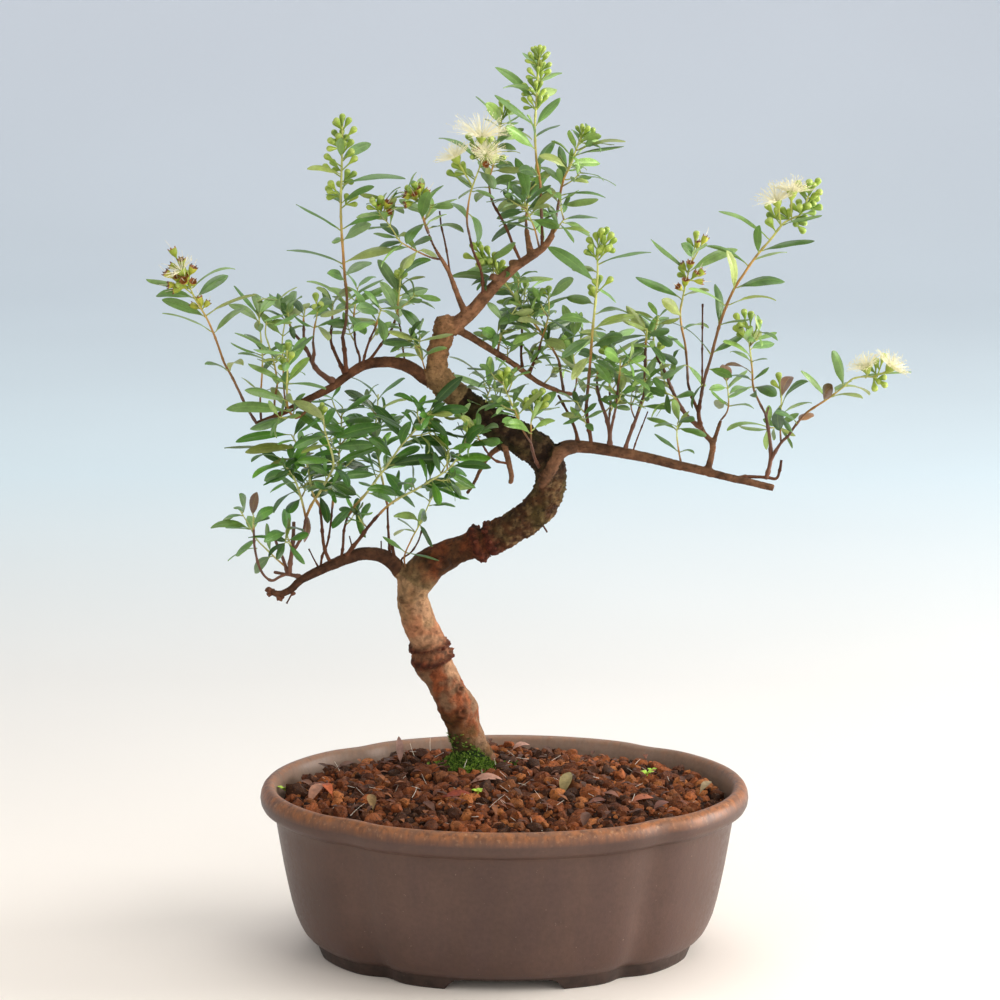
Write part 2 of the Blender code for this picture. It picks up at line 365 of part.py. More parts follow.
      (-38.4, 239.6, -32.2, 242, .8),
      (-38.6, 238, -46.8, 242.4, .6), (-38.7, 237.4, -45, 249, .6)],
     [(-37, 254), (-38.8, 253), (-35.4, 252.4)]),
    ("arch_twig", "mid_left", -8, 0.5, [(-27.6, 213.4), (-29.4, 219.6), (-30.6, 225), (-30.2, 229)],
     [(-30.4, 228, -28.4, 235, .9), (-30.6, 226, -44, 226.4, .5), (-30.6, 226, -42, 230.6, .3),
      (-29.6, 220.4, -21.6, 226, .4)], []),
    ("arch_back", "mid_post_f", 8, 0.6, [(-38, 234.4), (-38.4, 239), (-38, 244)],
     [(-38.2, 242, -48, 240.6, .5), (-38.2, 242, -28, 245.6, .5), (-38.2, 239, -31, 231.4, .6)], []),
    ("upper_left_top", "upper_left", -4, 0.9, [(-27.2, 266.4), (-28.8, 271), (-29.6, 275.4),
     (-30.6, 279.6)],
     [(-29, 271.5, -26.8, 281.6, .9), (-28.8, 270.6, -22.8, 276.8, .6), (-29.4, 272, -37.6, 278.6, .5),
      (-28, 269, -20.8, 273, .6),
      (-28.4, 269.4, -35, 264.4, .8), (-27.8, 268, -14.8, 268.6, .8), (-29.4, 274, -22.4, 284.6, .3)],
     [(-35.4, 283.4), (-32.6, 285), (-30, 284), (-35.6, 280.4)]),
    ("upper_left_low", "upper_left", -7, 0.6, [(-22.6, 257), (-26, 257.6), (-30.2, 259.4), (-34, 261.4),
     (-37.6, 263.8), (-40.2, 268),
     (-43.2, 272), (-45.4, 274.6)],
     [(-38.6, 264.4, -44.4, 269.8, .5), (-38, 263.9, -47, 265.6, .1), (-36.4, 263, -46, 262.2, .6),
      (-33, 261.4, -26.4, 264.6, .9),
      (-30, 259.6, -36.6, 253.6, .8), (-31.4, 260, -22.8, 257.8, .7), (-44, 273, -36, 275, .4)],
     [(-47.6, 279.2), (-44, 280), (-41.4, 277.8)]),
    ("bloom_shoot", "bloom_post", -3, 0.7, [(-12.4, 265), (-13.4, 270.4), (-13, 276), (-12, 281.5),
     (-10, 287), (-8.4, 291.6), (-8, 295.4)],
     [(-13.4, 270.6, -20.4, 278.2, .1), (-12.2, 280.4, -3.4, 279.2, .1), (-11.8, 282, -16.6, 286.6, .3),
      (-10.4, 286.6, -17.8, 288.8, .9),
      (-8.8, 291, -23, 302, .5), (-8.4, 292, 3, 301.4, .6), (-9.4, 289, -4, 284, .4),
      (-13.2, 272, -9, 262.6, .4)],
     [(-13.6, 302), (-4.4, 301.4), (-11.4, 297.4), (-18.8, 291.6), (-20.6, 288.8), (-3.4, 294),
      (0.6, 294)]),
    ("spire_top", "leader_post", -3, 0.9, [(13.3, 271), (13, 278), (12.7, 285), (11.6, 291), (11, 298),
     (10.8, 305), (11.2, 312),
     (11.7, 320), (12.2, 327), (12.3, 330.6)],
     [(11.2, 296, 0.3, 304.6, .7), (10.8, 304, -3.3, 316, .9), (10.9, 304.5, 19.8, 314.2, .8),
      (11, 299.5, 19.8, 304.4, .1),
      (12, 289.6, 17.8, 299.6, .8), (11.2, 313, -3.2, 326, .5), (11.5, 318, 20.4, 324.2, .3),
      (11.4, 316, -0.8, 319.4, .2),
      (11.4, 314.6, 18.6, 317.8, .8), (10.9, 301, 7.8, 308.6, .8), (12, 324, 6.4, 330.5, .9),
      (12.6, 286.6, 5.4, 289, .6),
      (12.8, 281, 6.6, 274.4, .7)],
     [(10.4, 332.8), (12.6, 333.6), (14.2, 333.2), (8.6, 331), (11, 331), (15.2, 330.6), (14.2, 327.6),
      (16.6, 327.2),
      (16.4, 324.8), (8.2, 325.4), (8.6, 322), (6.4, 320), (11, 321), (13, 315), (15.4, 316),
      (14.6, 318), (6, 315), (8.4, 315.6)]),
    ("mid_top", "leader_twig", -6, 0.7, [(-4, 276.8), (-5.2, 281), (-5.4, 286), (-4, 291), (-2.8, 297),
     (-1.8, 303), (-0.8, 308)],
     [(-5.2, 282.5, 7, 278, .9), (-5.2, 283.4, 3.2, 286.4, .6), (-5, 279.4, -10.2, 279.4, .6),
      (-5.2, 281, -16.4, 279, .1),
      (-4.4, 289.4, 5, 288.6, .7), (-2.4, 300, 5.2, 301.2, .5), (-1.4, 304, -10.6, 314.6, .1),
      (-1.4, 305, -6.4, 312.8, .9),
      (-1.2, 304.6, 5.4, 310.2, .3), (-5.4, 285.6, -9.4, 291.6, .5)], [(-1.2, 314.2), (1.2, 314),
      (2.4, 311.4)]),
    ("leader_mid", "leader", -8, 0.6, [(12.6, 260.6), (10.8, 268), (8.8, 273), (7.2, 277.4)],
     [(7.2, 276.6, -2, 274.9, .4), (7.4, 276.8, 3.4, 283.2, .9), (7.8, 275.6, 15.6, 284.4, .7),
      (7.8, 276, 16, 276, .7),
      (9.6, 271.4, 19.7, 268.3, .9), (9.8, 270.6, 1.8, 271.6, .6)], []),
    ("leader_dark", "leader_fork", 5, 0.8, [(7.8, 268), (7.8, 273), (8.4, 279), (8.8, 284)],
     [(8.7, 282, 4.3, 292.4, .9), (8.2, 277, -3.8, 272, .6), (7.9, 272, -5.2, 263.9, .8),
      (8.7, 283, 15.6, 290, .8),
      (8.2, 277, 18, 281, .6), (8, 273, 15.6, 263.6, .7)], []),
    ("leader_yellow", "leader_right", 1, 0.9, [(18.8, 274), (19.6, 279), (21, 285.5), (23.4, 290.6),
     (25.4, 296), (27.4, 301.4)],
     [(19.2, 276.6, 33.8, 277.8, .6), (19.5, 278.6, 36.3, 280.7, .4), (21, 284.8, 40.2, 285.4, .4),
      (23.4, 290, 33.4, 291, .7),
      (25.4, 296, 43, 300.8, .4), (25.2, 295, 42.4, 296.8, .2), (21, 285, 19.8, 298.2, .9),
      (22, 288, 13.3, 294.6, .2),
      (20.4, 282.4, 12.8, 291, .4), (19.2, 277, 12.6, 283, .6), (23.8, 291.4, 33.4, 300, .6)],
     [(28, 305), (30.2, 304.8), (32.2, 304), (34, 301.6), (31, 301.8)]),
    ("leader_pair", "leader", -5, 0.6, [(17.2, 266), (19.4, 269), (21.2, 271.4)],
     [(21, 271.2, 33.2, 271.8, .6), (20.8, 270.8, 30, 265.4, .4), (19.6, 269.6, 15.6, 276.6, .8)], []),
    ("behind_side", "behind_post_b", 1, 0.7, [(12.2, 223.2), (13.4, 228), (15, 233), (16, 238.4),
     (15.8, 244)],
     [(15.8, 243, 24.4, 250, .7), (15.8, 242, 8, 247.6, .7), (15.4, 235, 24.6, 229, .6),
      (14.6, 232, 5.6, 236, .8),
      (13.2, 227.4, 22, 224.6, .7), (13, 227, 7.6, 220.4, .7)], [(16, 247.4)]),
    ("slant_shoot", "behind", -14, 0.9, [(21.4, 208.6), (20.4, 215), (19.5, 220.4), (17, 225),
     (13.4, 230.2), (9.5, 235.5), (5.5, 241.2),
     (1.5, 246.6), (-2.5, 251.7), (-5.5, 255.6)],
     [(0.6, 247.6, -19, 251.8, .4), (4, 243, -6.4, 246, .5), (1.8, 246, 17.6, 250.6, .4),
      (-3.4, 252.4, -12.8, 252.4, .7),
      (5, 241.8, 3.4, 253.6, .9), (9.8, 235, 24, 244, .1), (9.5, 235.5, 18, 241.4, .6),
      (13.6, 229.8, 24.6, 235.2, .8),
      (13.4, 230, 3.4, 227, .6), (17, 225, 9.4, 222.4, .7), (-4.6, 254.4, 4.4, 262.6, .2),
      (9, 236, -1.4, 234.6, .8),
      (19, 221.4, 26, 216, .7)],
     [(-12.2, 263), (-9.8, 263.6), (-14.8, 258.8), (-10.8, 259), (-6.6, 262), (-8.6, 256.4), (-5.4, 257),
      (-3.6, 259.8),
      (-0.2, 256.8), (0.4, 254.6)]),
    ("behind_mid", "behind", -8, 0.7, [(-2.6, 222.8), (-1.8, 227), (-0.8, 231), (0.4, 235)],
     [(-2, 226.4, -8.4, 232, .9), (-1.6, 228, 3.6, 232.6, .6),
      (-0.6, 231.6, -2.2, 238.2, .9),
      (0, 233.6, 11.4, 229.6, .6), (0.2, 234.4, 6, 240.6, .8)], []),
    ("behind_top", "behind_post_a", 6, 0.7, [(6.4, 229), (6.2, 234), (6.8, 240), (7.4, 246)],
     [(7.2, 244, -2.8, 247.6, .6), (7.2, 244, 15.6, 249.6, .6), (6.4, 236, -4, 238, .7),
      (6.4, 236, 17, 238, .7)], [(7.8, 249)]),
    ("behind_end", "behind", 8, 0.6, [(25, 208), (26, 213), (25.2, 219), (24.6, 225), (25, 231)],
     [(25, 230, 15, 226.6, .5), (25, 230, 35, 228.6, .5), (24.8, 224, 20.6, 214.4, .7),
      (25, 231, 21, 240.4, .8)], []),
    ("front_a", "front_peg", -7, 0.6, [(9.6, 190), (6.6, 195), (4.4, 200.6), (2, 206), (0.2, 210),
     (-0.6, 213)],
     [(6.4, 195.6, -1.4, 197.4, .6), (4.9, 199.5, -5.8, 205.2, .5), (3.4, 203.4, 8, 213.4, .9),
      (1.8, 206.6, -5.6, 209.6, .3)],
     [(-1.4, 216.6), (1.6, 217.8), (2.6, 214.6)]),
    ("front_b", "front_peg", 5, 0.6, [(9.6, 190), (9.6, 195), (9.8, 199), (11.2, 203.6)],
     [(9.6, 195.6, 1.4, 197.2, .7), (9.7, 198, 19, 209.4, .7), (9.8, 200, 5.4, 204.8, .3),
      (9.8, 200, 15.2, 197.6, .2)],
     [(11.4, 210), (14.2, 210.2), (16.4, 207.6), (7.6, 206.8), (15.8, 204.8)]),
    ("front_star", "hanging", -5, 0.7, [(-5.2, 198.4), (-7.2, 202), (-6.4, 206.6), (-4.9, 210.6)],
     [(-5, 210.6, -18.4, 215, .6), (-5, 210.6, -19.6, 222.4, .2), (-4.9, 211, -4, 222.4, .9),
      (-4.9, 210.4, 1.8, 213, .8),
      (-6.8, 205, -13.4, 209.8, .2), (-6.4, 206, 3, 203.6, .4)], []),
    ("hanging_shoot", "hanging_twig", -4, 0.6, [(-8, 189.6), (-9.4, 192), (-10, 195)],
     [(-9.6, 193, -17, 195.6, .5), (-9.8, 194, -15.4, 199.8, .9), (-9.6, 192.6, -2.4, 196, .6),
      (-9.2, 191.6, -14.2, 185.6, .8),
      (-9, 191, -2.4, 190, .8)], []),
    ("spire_right", "right_post_b", -5, 1.0, [(29.6, 204.4), (30.2, 211), (30.7, 217), (31.2, 224),
     (31.7, 231), (32.3, 238),
     (33, 245), (33.4, 252), (33.3, 258), (33.6, 262)],
     [(33.3, 255.4, 52.5, 258.7, .2), (33.3, 252.4, 23.8, 254.4, .6), (33.2, 248.6, 15.6, 261.6, .7),
      (33, 246, 40.2, 241.6, .9),
      (32.6, 240.6, 22.6, 243, .7), (32.2, 236.6, 45, 238.2, .4),
      (31.9, 233.6, 20.8, 236.4, .9),
      (31.8, 231.6, 46.6, 235.8, .2), (31.5, 229, 17.6, 225.4, .5), (31.4, 228, 21.6, 222, .7),
      (31.2, 225, 41, 229.6, .6),
      (31, 221, 24.4, 213.4, .8), (30.8, 219, 38, 212.4, .6), (29.9, 207.8, 25.4, 201.8, .9),
      (31.6, 231, 40.4, 224, .7)],
     [(29.6, 265), (30.4, 262.4), (32.4, 266.8), (35, 268.4), (37, 268.8), (38.8, 266.8), (40, 264.8),
      (37.8, 261.8),
      (34.4, 251.4), (38.8, 250.6), (30.4, 248)]),
    ("right_low", "right_post_e", 5, 0.7, [(38, 209), (37.8, 215), (37.6, 221), (38.4, 226)],
     [(37.8, 215, 26, 217.4, .4), (37.8, 215, 48.4, 213.8, .5), (37.7, 219, 31, 227.4, .4),
      (37.8, 220, 48, 227.6, .5),
      (37.8, 216, 44.6, 223.6, .2), (38.2, 225, 28.6, 231.6, .6), (38.2, 225, 47, 233.4, .4)],
     [(36.2, 229.6), (38.4, 231), (42, 229.8), (36.4, 226.8)]),
    ("right_low_b", "right_post_d", -5, 0.7, [(41, 211.4), (41.6, 216), (41.8, 220.6)],
     [(41.2, 213, 47.4, 213.4, .9), (41.2, 213.4, 33.8, 217, .7), (41.6, 216.4, 49.6, 224, .8),
      (41.7, 219, 36.4, 224, .7),
      (41.4, 214.6, 52.6, 209.8, .5)], []),
    ("right_low_c", "right_post_c", -3, 0.7, [(33.4, 211), (33.6, 216), (34.4, 221)],
     [(33.5, 214, 24.8, 210.8, .5), (33.6, 215, 43.4, 217.4, .6), (34.2, 219.6, 25.6, 224, .7),
      (34.2, 220, 40, 227, .6)], []),
    ("right_dark", "right_post_f", -5, 0.8, [(50.8, 224), (51, 228), (51.2, 232)],
     [(51.1, 229, 44, 239.6, .8), (51, 230, 58.4, 231.6, 1), (51.1, 229.6, 39, 227, .6),
      (51.1, 231.6, 43.4, 234, .8),
      (50.9, 226.6, 46, 219.6, .9), (51, 227, 57.6, 219, .6)], []),
    ("right_green", "right_post_f", 9, 0.5, [(47.4, 198.4), (45.8, 203), (46, 208), (46.4, 212)],
     [(46.1, 209, 41.2, 204.4, .7), (46.1, 209, 53.4, 206.8, .5), (46.3, 211, 38.4, 215, .6),
      (46.3, 211, 53, 215.6, .6)], []),
    ("right_arm", "right_main_arm", -4, 0.7, [(55, 221.4), (54, 226), (53.4, 230.6)],
     [(53.6, 229, 48.2, 236.8, .9), (53.5, 230, 60.4, 225.4, 1), (53.8, 227, 45.4, 226.4, .7),
      (54.4, 223.6, 62, 219, .8),
      (53.5, 230, 59, 237, .7)], [(57.6, 226.8)]),
    ("right_arm_low", "right_main_arm", -8, 0.6, [(63.4, 204), (61.4, 206.8), (58.4, 208.6)],
     [(60, 207.6, 51.8, 208.4, .9), (61, 207, 55.4, 199.8, .9), (62, 206, 67.6, 208.6, .9),
      (59.4, 208, 57.4, 214.4, .8)], []),
    ("right_green_b", "right", -4, 0.6, [(64.2, 181.6), (63, 188), (62.4, 193.4), (62.8, 198)],
     [(62.6, 195.4, 54.4, 196.8, .6), (62.5, 194, 51.4, 199.8, .4), (62.6, 195, 72.8, 193.4, .4),
      (62.8, 197.4, 68.4, 198.6, .8),
      (62.8, 197.6, 61, 205.6, .8)], []),
    ("right_mid", "right_main_mid", 5, 0.8, [(66.2, 212), (65.8, 219), (65.1, 226), (63.8, 232),
     (63.2, 238), (64, 243), (65.2, 249),
     (66.5, 254.5), (67.8, 259)],
     [(63.8, 241.5, 47, 250.4, .8), (66, 252, 52, 263.7, .9), (67.6, 257.6, 64.2, 262.4, .9),
      (67.4, 257, 72.4, 261.8, .5),
      (66.2, 252, 83.5, 261.3, .6), (64.1, 243, 73.4, 245.6, .8), (63.4, 236.6, 57.6, 242, 1),
      (64, 231.4, 73.4, 233.4, .6),
      (65.7, 219.6, 57.6, 213.4, .6), (65.8, 218, 72.6, 211, .7), (65.4, 224, 59, 229.4, .7)],
     [(68.8, 267.4), (72, 265), (62.8, 255), (66.6, 256), (71, 252.8), (65, 249.8)]),
    ("right_tall", "right_main_stem", -7, 1.0, [(70.8, 206), (72.3, 214), (74.2, 220.6), (75.7, 226.8),
     (77.3, 233), (79.5, 239.6),
     (82.5, 246.5), (86, 252), (89, 256.5), (92.5, 261), (95.5, 264.5), (99.6, 269.8), (103, 271.8),
      (105.6, 273), (107.4, 276.6), (108.6, 280)],
     [(79.3, 239.5, 66, 246.2, .3), (79.8, 240.6, 97.6, 243.9, .4), (77.1, 232.6, 76.4, 248.6, .9),
      (82.6, 246.4, 101, 250.2, .5),
      (82.2, 246, 80.4, 260, .9), (87, 253.4, 72.4, 263.7, .1), (88.4, 255.5, 101.2, 259.9, .7),
      (91.4, 259.4, 111, 263.7, .5),
      (91.4, 260, 91.4, 269.2, .9), (94.5, 263.6, 77, 275.8, .1), (77.4, 233.4, 88.6, 234.4, .5),
      (74.4, 221.4, 60.5, 235, .2),
      (74.8, 223, 86.6, 230, .9), (73, 217.4, 82.6, 213.6, .8), (72, 212, 66.6, 203.6, .8),
      (99.4, 270, 113.4, 272, .2)],
     [(93.4, 277.2), (94.4, 272), (98.8, 275.8), (104.2, 285.2), (105.9, 282.6), (108.8, 285.8),
      (112.5, 286.2), (113.4, 281.8),
      (112.4, 279.4), (109.2, 277.2), (113.6, 276), (105, 278.8), (111, 274), (107.8, 269.8),
      (107.4, 266.8)]),
    ("right_dim", "right_main_stub", -1, 0.6, [(78.2, 198.4), (80.4, 201.4), (81, 205), (80.6, 210),
     (79.8, 214)],
     [(79.8, 213, 78.6, 219.6, 1), (80, 212, 73.4, 209.6, .8), (80.8, 208, 88.6, 210.2, .3),
      (80.4, 211, 87.6, 216.4, .3),
      (80.8, 206, 75.8, 203.4, .8)], []),
    ("right_bud", "right_end_post", -4, 0.8, [(94.4, 200.6), (91.6, 206), (89.8, 210.6), (89.3, 217),
     (88.6, 223), (87.9, 228)],
     [(88, 226.6, 88.4, 233, 1), (88.1, 226, 92.8, 231.8, .9), (88.8, 221.4, 79.6, 228.4, .4),
      (89.2, 215.6, 79.8, 219, .3),
      (89.7, 210.6, 81.4, 205.8, .3), (89.9, 210, 97, 208.6, .6), (91, 207.4, 98.4, 214.6, .9),
      (89.4, 213, 80.6, 214.4, .5),
      (88.4, 224.6, 96.6, 226, .7)],
     [(82.8, 237.6), (86, 239), (88.6, 238.4), (82.4, 233), (92, 235.4)]),
    ("right_pair", "right_end_post", 9, 0.5, [(95.8, 193.4), (95.2, 197)],
     [(95.4, 195.6, 80.5, 196.4, .6), (95.4, 195.4, 110, 191.6, .7), (95.3, 196.6, 92.4, 205, .7)], []),
    ("right_inner_end", "right_end_arm", 5, 0.7, [(100.2, 190.2), (99.8, 195), (99.9, 202), (100.1, 207.4)],
     [(100, 204, 99.4, 195.4, .9), (100, 206, 103.8, 215.8, .9),
      (100, 203, 108.6, 213.4, .2),
      (99.9, 200, 111, 205.9, .3), (99.9, 199.4, 103, 193.6, .3)], [(96.4, 215), (98.8, 216)]),
    ("right_end", "right_end_arm", -3, 0.8, [(102.8, 192.8), (105.6, 197), (108.8, 200.8), (112, 203.2),
     (115.5, 205.5), (119, 208),
     (122.5, 210.8), (126, 213.8), (130.6, 214.4), (134.4, 214.2)],
     [(106.4, 198, 112, 201.8, .9), (115, 205.4, 107.8, 217, .9), (116, 206, 117.4, 210.6, .8),
      (117, 206.6, 129.4, 206.8, .2),
      (122.5, 211, 118.8, 223.6, .9), (121.6, 210, 132, 208.2, .5), (125, 213, 146.6, 215.2, .5),
      (119.4, 208.6, 125, 212.4, .7),
      (105.4, 196.6, 98.4, 201.6, .6)],
     [(127.6, 219.2), (134, 221.4), (137, 223), (133.8, 209), (138, 210.8)]),
]

# Blooms of stamens: name, shoot, centre x, z, length of the stamens, lean of the brush in x and y
BLOOMS = [
    ("bloom_top", "bloom_shoot", -8.4, 300.6, 9.0, 0.05, -0.2),
    ("bloom_top_left", "bloom_shoot", -17.2, 293.2, 7.0, -0.5, -0.1),
    ("bloom_top_low", "bloom_shoot", -6.6, 294.6, 6.4, 0.4, -0.9),
    ("bloom_left", "left_tip", -115.6, 252.6, 7.6, -0.7, -0.2),
    ("bloom_right_a", "right_tall", 97.4, 277.6, 7.0, -0.3, -0.2),
    ("bloom_right_b", "right_tall", 102.6, 280.6, 6.0, 0.1, 0.2),
    ("bloom_end_a", "right_end", 130.6, 217.6, 6.4, -0.4, -0.2),
    ("bloom_end_b", "right_end", 139.0, 217.6, 7.4, 0.7, -0.2),
]

# How far a leaf's tip may lean out of the picture, tried in this order until the leaf is clear
LEANS = (1.0, -1.0, 0.6, -0.6, 0.3, -0.3, 0.0, 1.3, -1.3)
# How far a shoot's tip may be bent aside from its own depth, tried in this order
BENDS = (0.0, 4.0, -4.0, 8.0, -8.0, 12.0, -12.0, 17.0, -17.0)


def in_space(x, z, y):
    """Carry a reading on the upright middle plane along the line of sight to depth y."""
    reach = (y - EYE.y) / -EYE.y
    return Vector((EYE.x + (x - EYE.x) * reach, y, EYE.z + (z - EYE.z) * reach))


def lengths_along(path):
    """Length from the first point to each point of a path."""
    total = [0.0]
    for start, end in zip(path, path[1:]):
        total.append(total[-1] + (end - start).length)
    return total


def nearest_on(row, x, z):
    """Stretch of a row of (x, z, depth) readings, and the share along it, that lies nearest to x, z."""
    best = (1e9, 0, 0.0)
    for i in range(len(row) - 1):
        start = Vector(row[i][:2])
        run = Vector(row[i + 1][:2]) - start
        share = max(0.0, min(1.0, (Vector((x, z)) - start).dot(run) / run.length_squared))
        away = (start + run * share - Vector((x, z))).length
        if away < best[0]:
            best = (away, i, share)
    return best[1:]


def between(values, i, share):
    return values[i] + (values[i + 1] - values[i]) * share


def point_on(path, share):
    """Point and direction at a share of the way along a path."""
    total = lengths_along(path)
    goal = share * total[-1]
    for i in range(len(path) - 1):
        if goal <= total[i + 1] or i == len(path) - 2:
            run = path[i + 1] - path[i]
            part = (goal - total[i]) / max(run.length, 1e-9)
            return path[i] + run * part, run.normalized()


def branch_off(parent, change, readings):
    """Give each (x, z) reading its depth: the parent's where it starts, changing evenly along it."""
    start = between([p[2] for p in parent], *nearest_on(parent, *readings[0]))
    total = lengths_along([Vector(p) for p in readings])
    return [(*p, start + change * t / total[-1]) for p, t in zip(readings, total)]


def tube(path, radii, sides, lumps=0.0):
    """Closed tube along a path with flat ends; lumps swells it unevenly round its girth."""
    verts = []
    faces = []
    across = None
    for i, point in enumerate(path):
        ahead = path[min(i + 1, len(path) - 1)] - path[max(i - 1, 0)]
        along = ahead.normalized()
        if across is None:
            across = along.orthogonal()
        across = (across - along * across.dot(along)).normalized()
        over = along.cross(across)
        for k in range(sides):
            turn = 2 * math.pi * k / sides
            swell = 1 + lumps * (math.sin(3 * turn + 0.9 * i) + 0.6 * math.sin(2 * turn - 1.7 * i))
            verts.append(point + (across * math.cos(turn) + over * math.sin(turn)) * radii[i] * swell)
    for i in range(len(path) - 1):
        for k in range(sides):
            a = i * sides + k
            b = i * sides + (k + 1) % sides
            faces.append((a, b, b + sides, a + sides))
    faces.append(tuple(reversed(range(sides))))
    faces.append(tuple(range(len(verts) - sides, len(verts))))
    return verts, faces


def leaf(base, tip, broad, extra):
    """Rings and tip of a keeled, arching blade; extra thickens it all round."""
    toward_eye = (EYE - base).normalized()
    run = tip - base
    along = run.normalized()
    edge_on = along.cross(toward_eye).normalized()
    if edge_on.z < 0:
        edge_on = -edge_on
    face_on = (toward_eye - along * toward_eye.dot(along)).normalized()
    top = (face_on * broad + edge_on * (1 - broad)).normalized()
    middle = (base + tip) / 2 + edge_on * run.length * LEAF_ARCH * (1 - 0.55 * broad)
    rings = []
    for share, wide in LEAF_RINGS:
        centre = base * (1 - share) ** 2 + middle * 2 * share * (1 - share) + tip * share ** 2
        ahead = ((middle - base) * (1 - share) + (tip - middle) * share).normalized()
        up = (top - ahead * top.dot(ahead)).normalized()
        side = up.cross(ahead)
        half = LEAF_WIDTH / 2 * wide + extra
        low = up * extra
        keel = centre + up * (LEAF_THICKNESS + extra)
        rings.append([centre + side * half - low, keel, centre - side * half - low])
    return rings, tip + along * extra


def bud(base, tip, extra):
    """Rings and tip of a three-sided club: a thin stalk that swells into the bud."""
    along = (tip - base).normalized()
    across = along.orthogonal().normalized()
    over = along.cross(across)
    rings = []
    for centre, radius in ((base, BUD_STALK), (tip - along * BUD_LENGTH, BUD_RADIUS)):
        turns = (0, 2 * math.pi / 3, 4 * math.pi / 3)
        rings.append([centre + (across * math.cos(t) + over * math.sin(t)) * (radius + extra) for t in turns])
    return rings, tip + along * extra


def closed(rings, tip):
    """Closed solid from three-sided rings and a tip."""
    verts = [v for ring in rings for v in ring] + [tip]
    faces = [(2, 1, 0)]
    for i in range(0, len(verts) - 4, 3):
        faces += stretch((i, i + 1, i + 2), (i + 3, i + 4, i + 5))
    last = len(verts) - 4
    faces += [(last, last + 1, last + 3), (last + 1, last + 2, last + 3), (last + 2, last, last + 3)]
    return verts, faces


def stretch(low, high):
    """Triangles between two rings of three."""
    faces = []
    for a, b in ((0, 1), (1, 2), (2, 0)):
        faces.append((low[a], low[b], high[b]))
        faces.append((low[a], high[b], high[a]))
    return faces


def turned(ring, corners):
    """A ring of three with its order turned so that each point lies nearest to its corner."""
    turns = []
    for turn in range(3):
        order = [ring[(i + turn) % 3] for i in range(3)]
        turns.append((sum((a - b).length_squared for a, b in zip(order, corners)), turn, order))
    return min(turns)[2]


def widened(corners):
    """Three corners moved out from their middle by the guard's width."""
    middle = sum(corners, Vector()) / 3
    return [corner + (corner - middle).normalized() * GUARD for corner in corners]


def pierces(verts, start, end, face):
    """Whether the edge between two points passes through a face."""
    a, b, c = (verts[i] for i in face)
    run = verts[end] - verts[start]
    hit = intersect_ray_tri(a, b, c, run, verts[start], True)
    return hit is not None and (hit - verts[start]).length < run.length


def crossing(verts, one, other):
    """Whether two faces that meet cross each other, rather than only share a corner or an edge."""
    shared = set(one) & set(other)
    if len(shared) == 1:
        start, end = (i for i in one if i not in shared)
        first, last = (i for i in other if i not in shared)
        return pierces(verts, start, end, other) or pierces(verts, first, last, one)
    return not shared


class Growth:
    """A closed stem of triangles, out of whose faces blades, buds and stamens are grown."""

    def __init__(self, path, radii, sides):
        self.verts, faces = tube(path, radii, sides)
        self.faces = []
        for face in faces:
            for i in range(1, len(face) - 1):
                self.faces.append((face[0], face[i], face[i + 1]))
        self.free = set(range(len(self.faces)))

    def centre(self, face):
        return sum((self.verts[i] for i in self.faces[face]), Vector()) / 3

    def facing(self, face):
        a, b, c = (self.verts[i] for i in self.faces[face])
        return (b - a).cross(c - a).normalized()

    def nearest_faces(self, point, direction):
        """Free faces that lie nearest to a point and look most along a direction, best first."""
        def cost(face):
            return (self.centre(face) - point).length - 1.6 * self.facing(face).dot(direction)
        return sorted(self.free, key=cost)[:5]

    def grow(self, face, rings, tip):
        """Carry a face's three corners on through the rings to the tip, unless that crosses the rest."""
        verts = list(self.verts)
        added = []
        low = self.faces[face]
        for ring in rings:
            first = len(verts)
            verts += turned(ring, [verts[i] for i in low])
            high = (first, first + 1, first + 2)
            added += stretch(low, high)
            low = high
        verts.append(tip)
        top = len(verts) - 1
        added += [(low[0], low[1], top), (low[1], low[2], top), (low[2], low[0], top)]
        rest = [other for i, other in enumerate(self.faces) if other and i != face]
        new = BVHTree.FromPolygons(verts, added)
        if any(crossing(verts, added[i], rest[j]) for i, j in new.overlap(BVHTree.FromPolygons(verts, rest))):
            return False
        if any(crossing(verts, added[i], added[j]) for i, j in new.overlap(new) if i < j):
            return False
        self.verts = verts
        self.faces += added
        self.faces[face] = None
        self.free.discard(face)
        return True

    def solid(self):
        return self.verts, [face for face in self.faces if face]


class Standing:
    """What already stands, so that a new blade or stem can be bent clear of it."""

    def __init__(self):
        self.solids = []

    def add(self, node, verts, faces):
        low = [min(v[i] for v in verts) for i in range(3)]
        high = [max(v[i] for v in verts) for i in range(3)]
        self.solids.append((node, low, high, BVHTree.FromPolygons(verts, faces)))

    def meets(self, verts, faces, keep=None, skip=None):
        """Whether a solid crosses one that stands: only those of keep, or all but those of skip."""
        low = [min(v[i] for v in verts) for i in range(3)]
        high = [max(v[i] for v in verts) for i in range(3)]
        tree = None
        for node, other_low, other_high, other in self.solids:
            if (keep is not None and node != keep) or node == skip:
                continue
            if any(low[i] > other_high[i] or high[i] < other_low[i] for i in range(3)):
                continue
            if tree is None:
                tree = BVHTree.FromPolygons(verts, faces)
            if tree.overlap(other):
                return True
        return False


def new_material(name, colour, roughness):
    material = bpy.data.materials.new(name)
    material.use_nodes = True
    shader = material.node_tree.nodes["Principled BSDF"]
    shader.inputs["Base Color"].default_value = (*colour, 1.0)
    shader.inputs["Roughness"].default_value = roughness
    return material


def new_object(name, verts, faces, material):
    """Object from points in millimetres."""
    mesh = bpy.data.meshes.new(name)
    mesh.from_pydata([Vector(v) * MM for v in verts], [], faces)
    mesh.validate()
    thing = bpy.data.objects.new(name, mesh)
    bpy.context.scene.collection.objects.link(thing)
    if material:
        mesh.materials.append(material)
    return thing


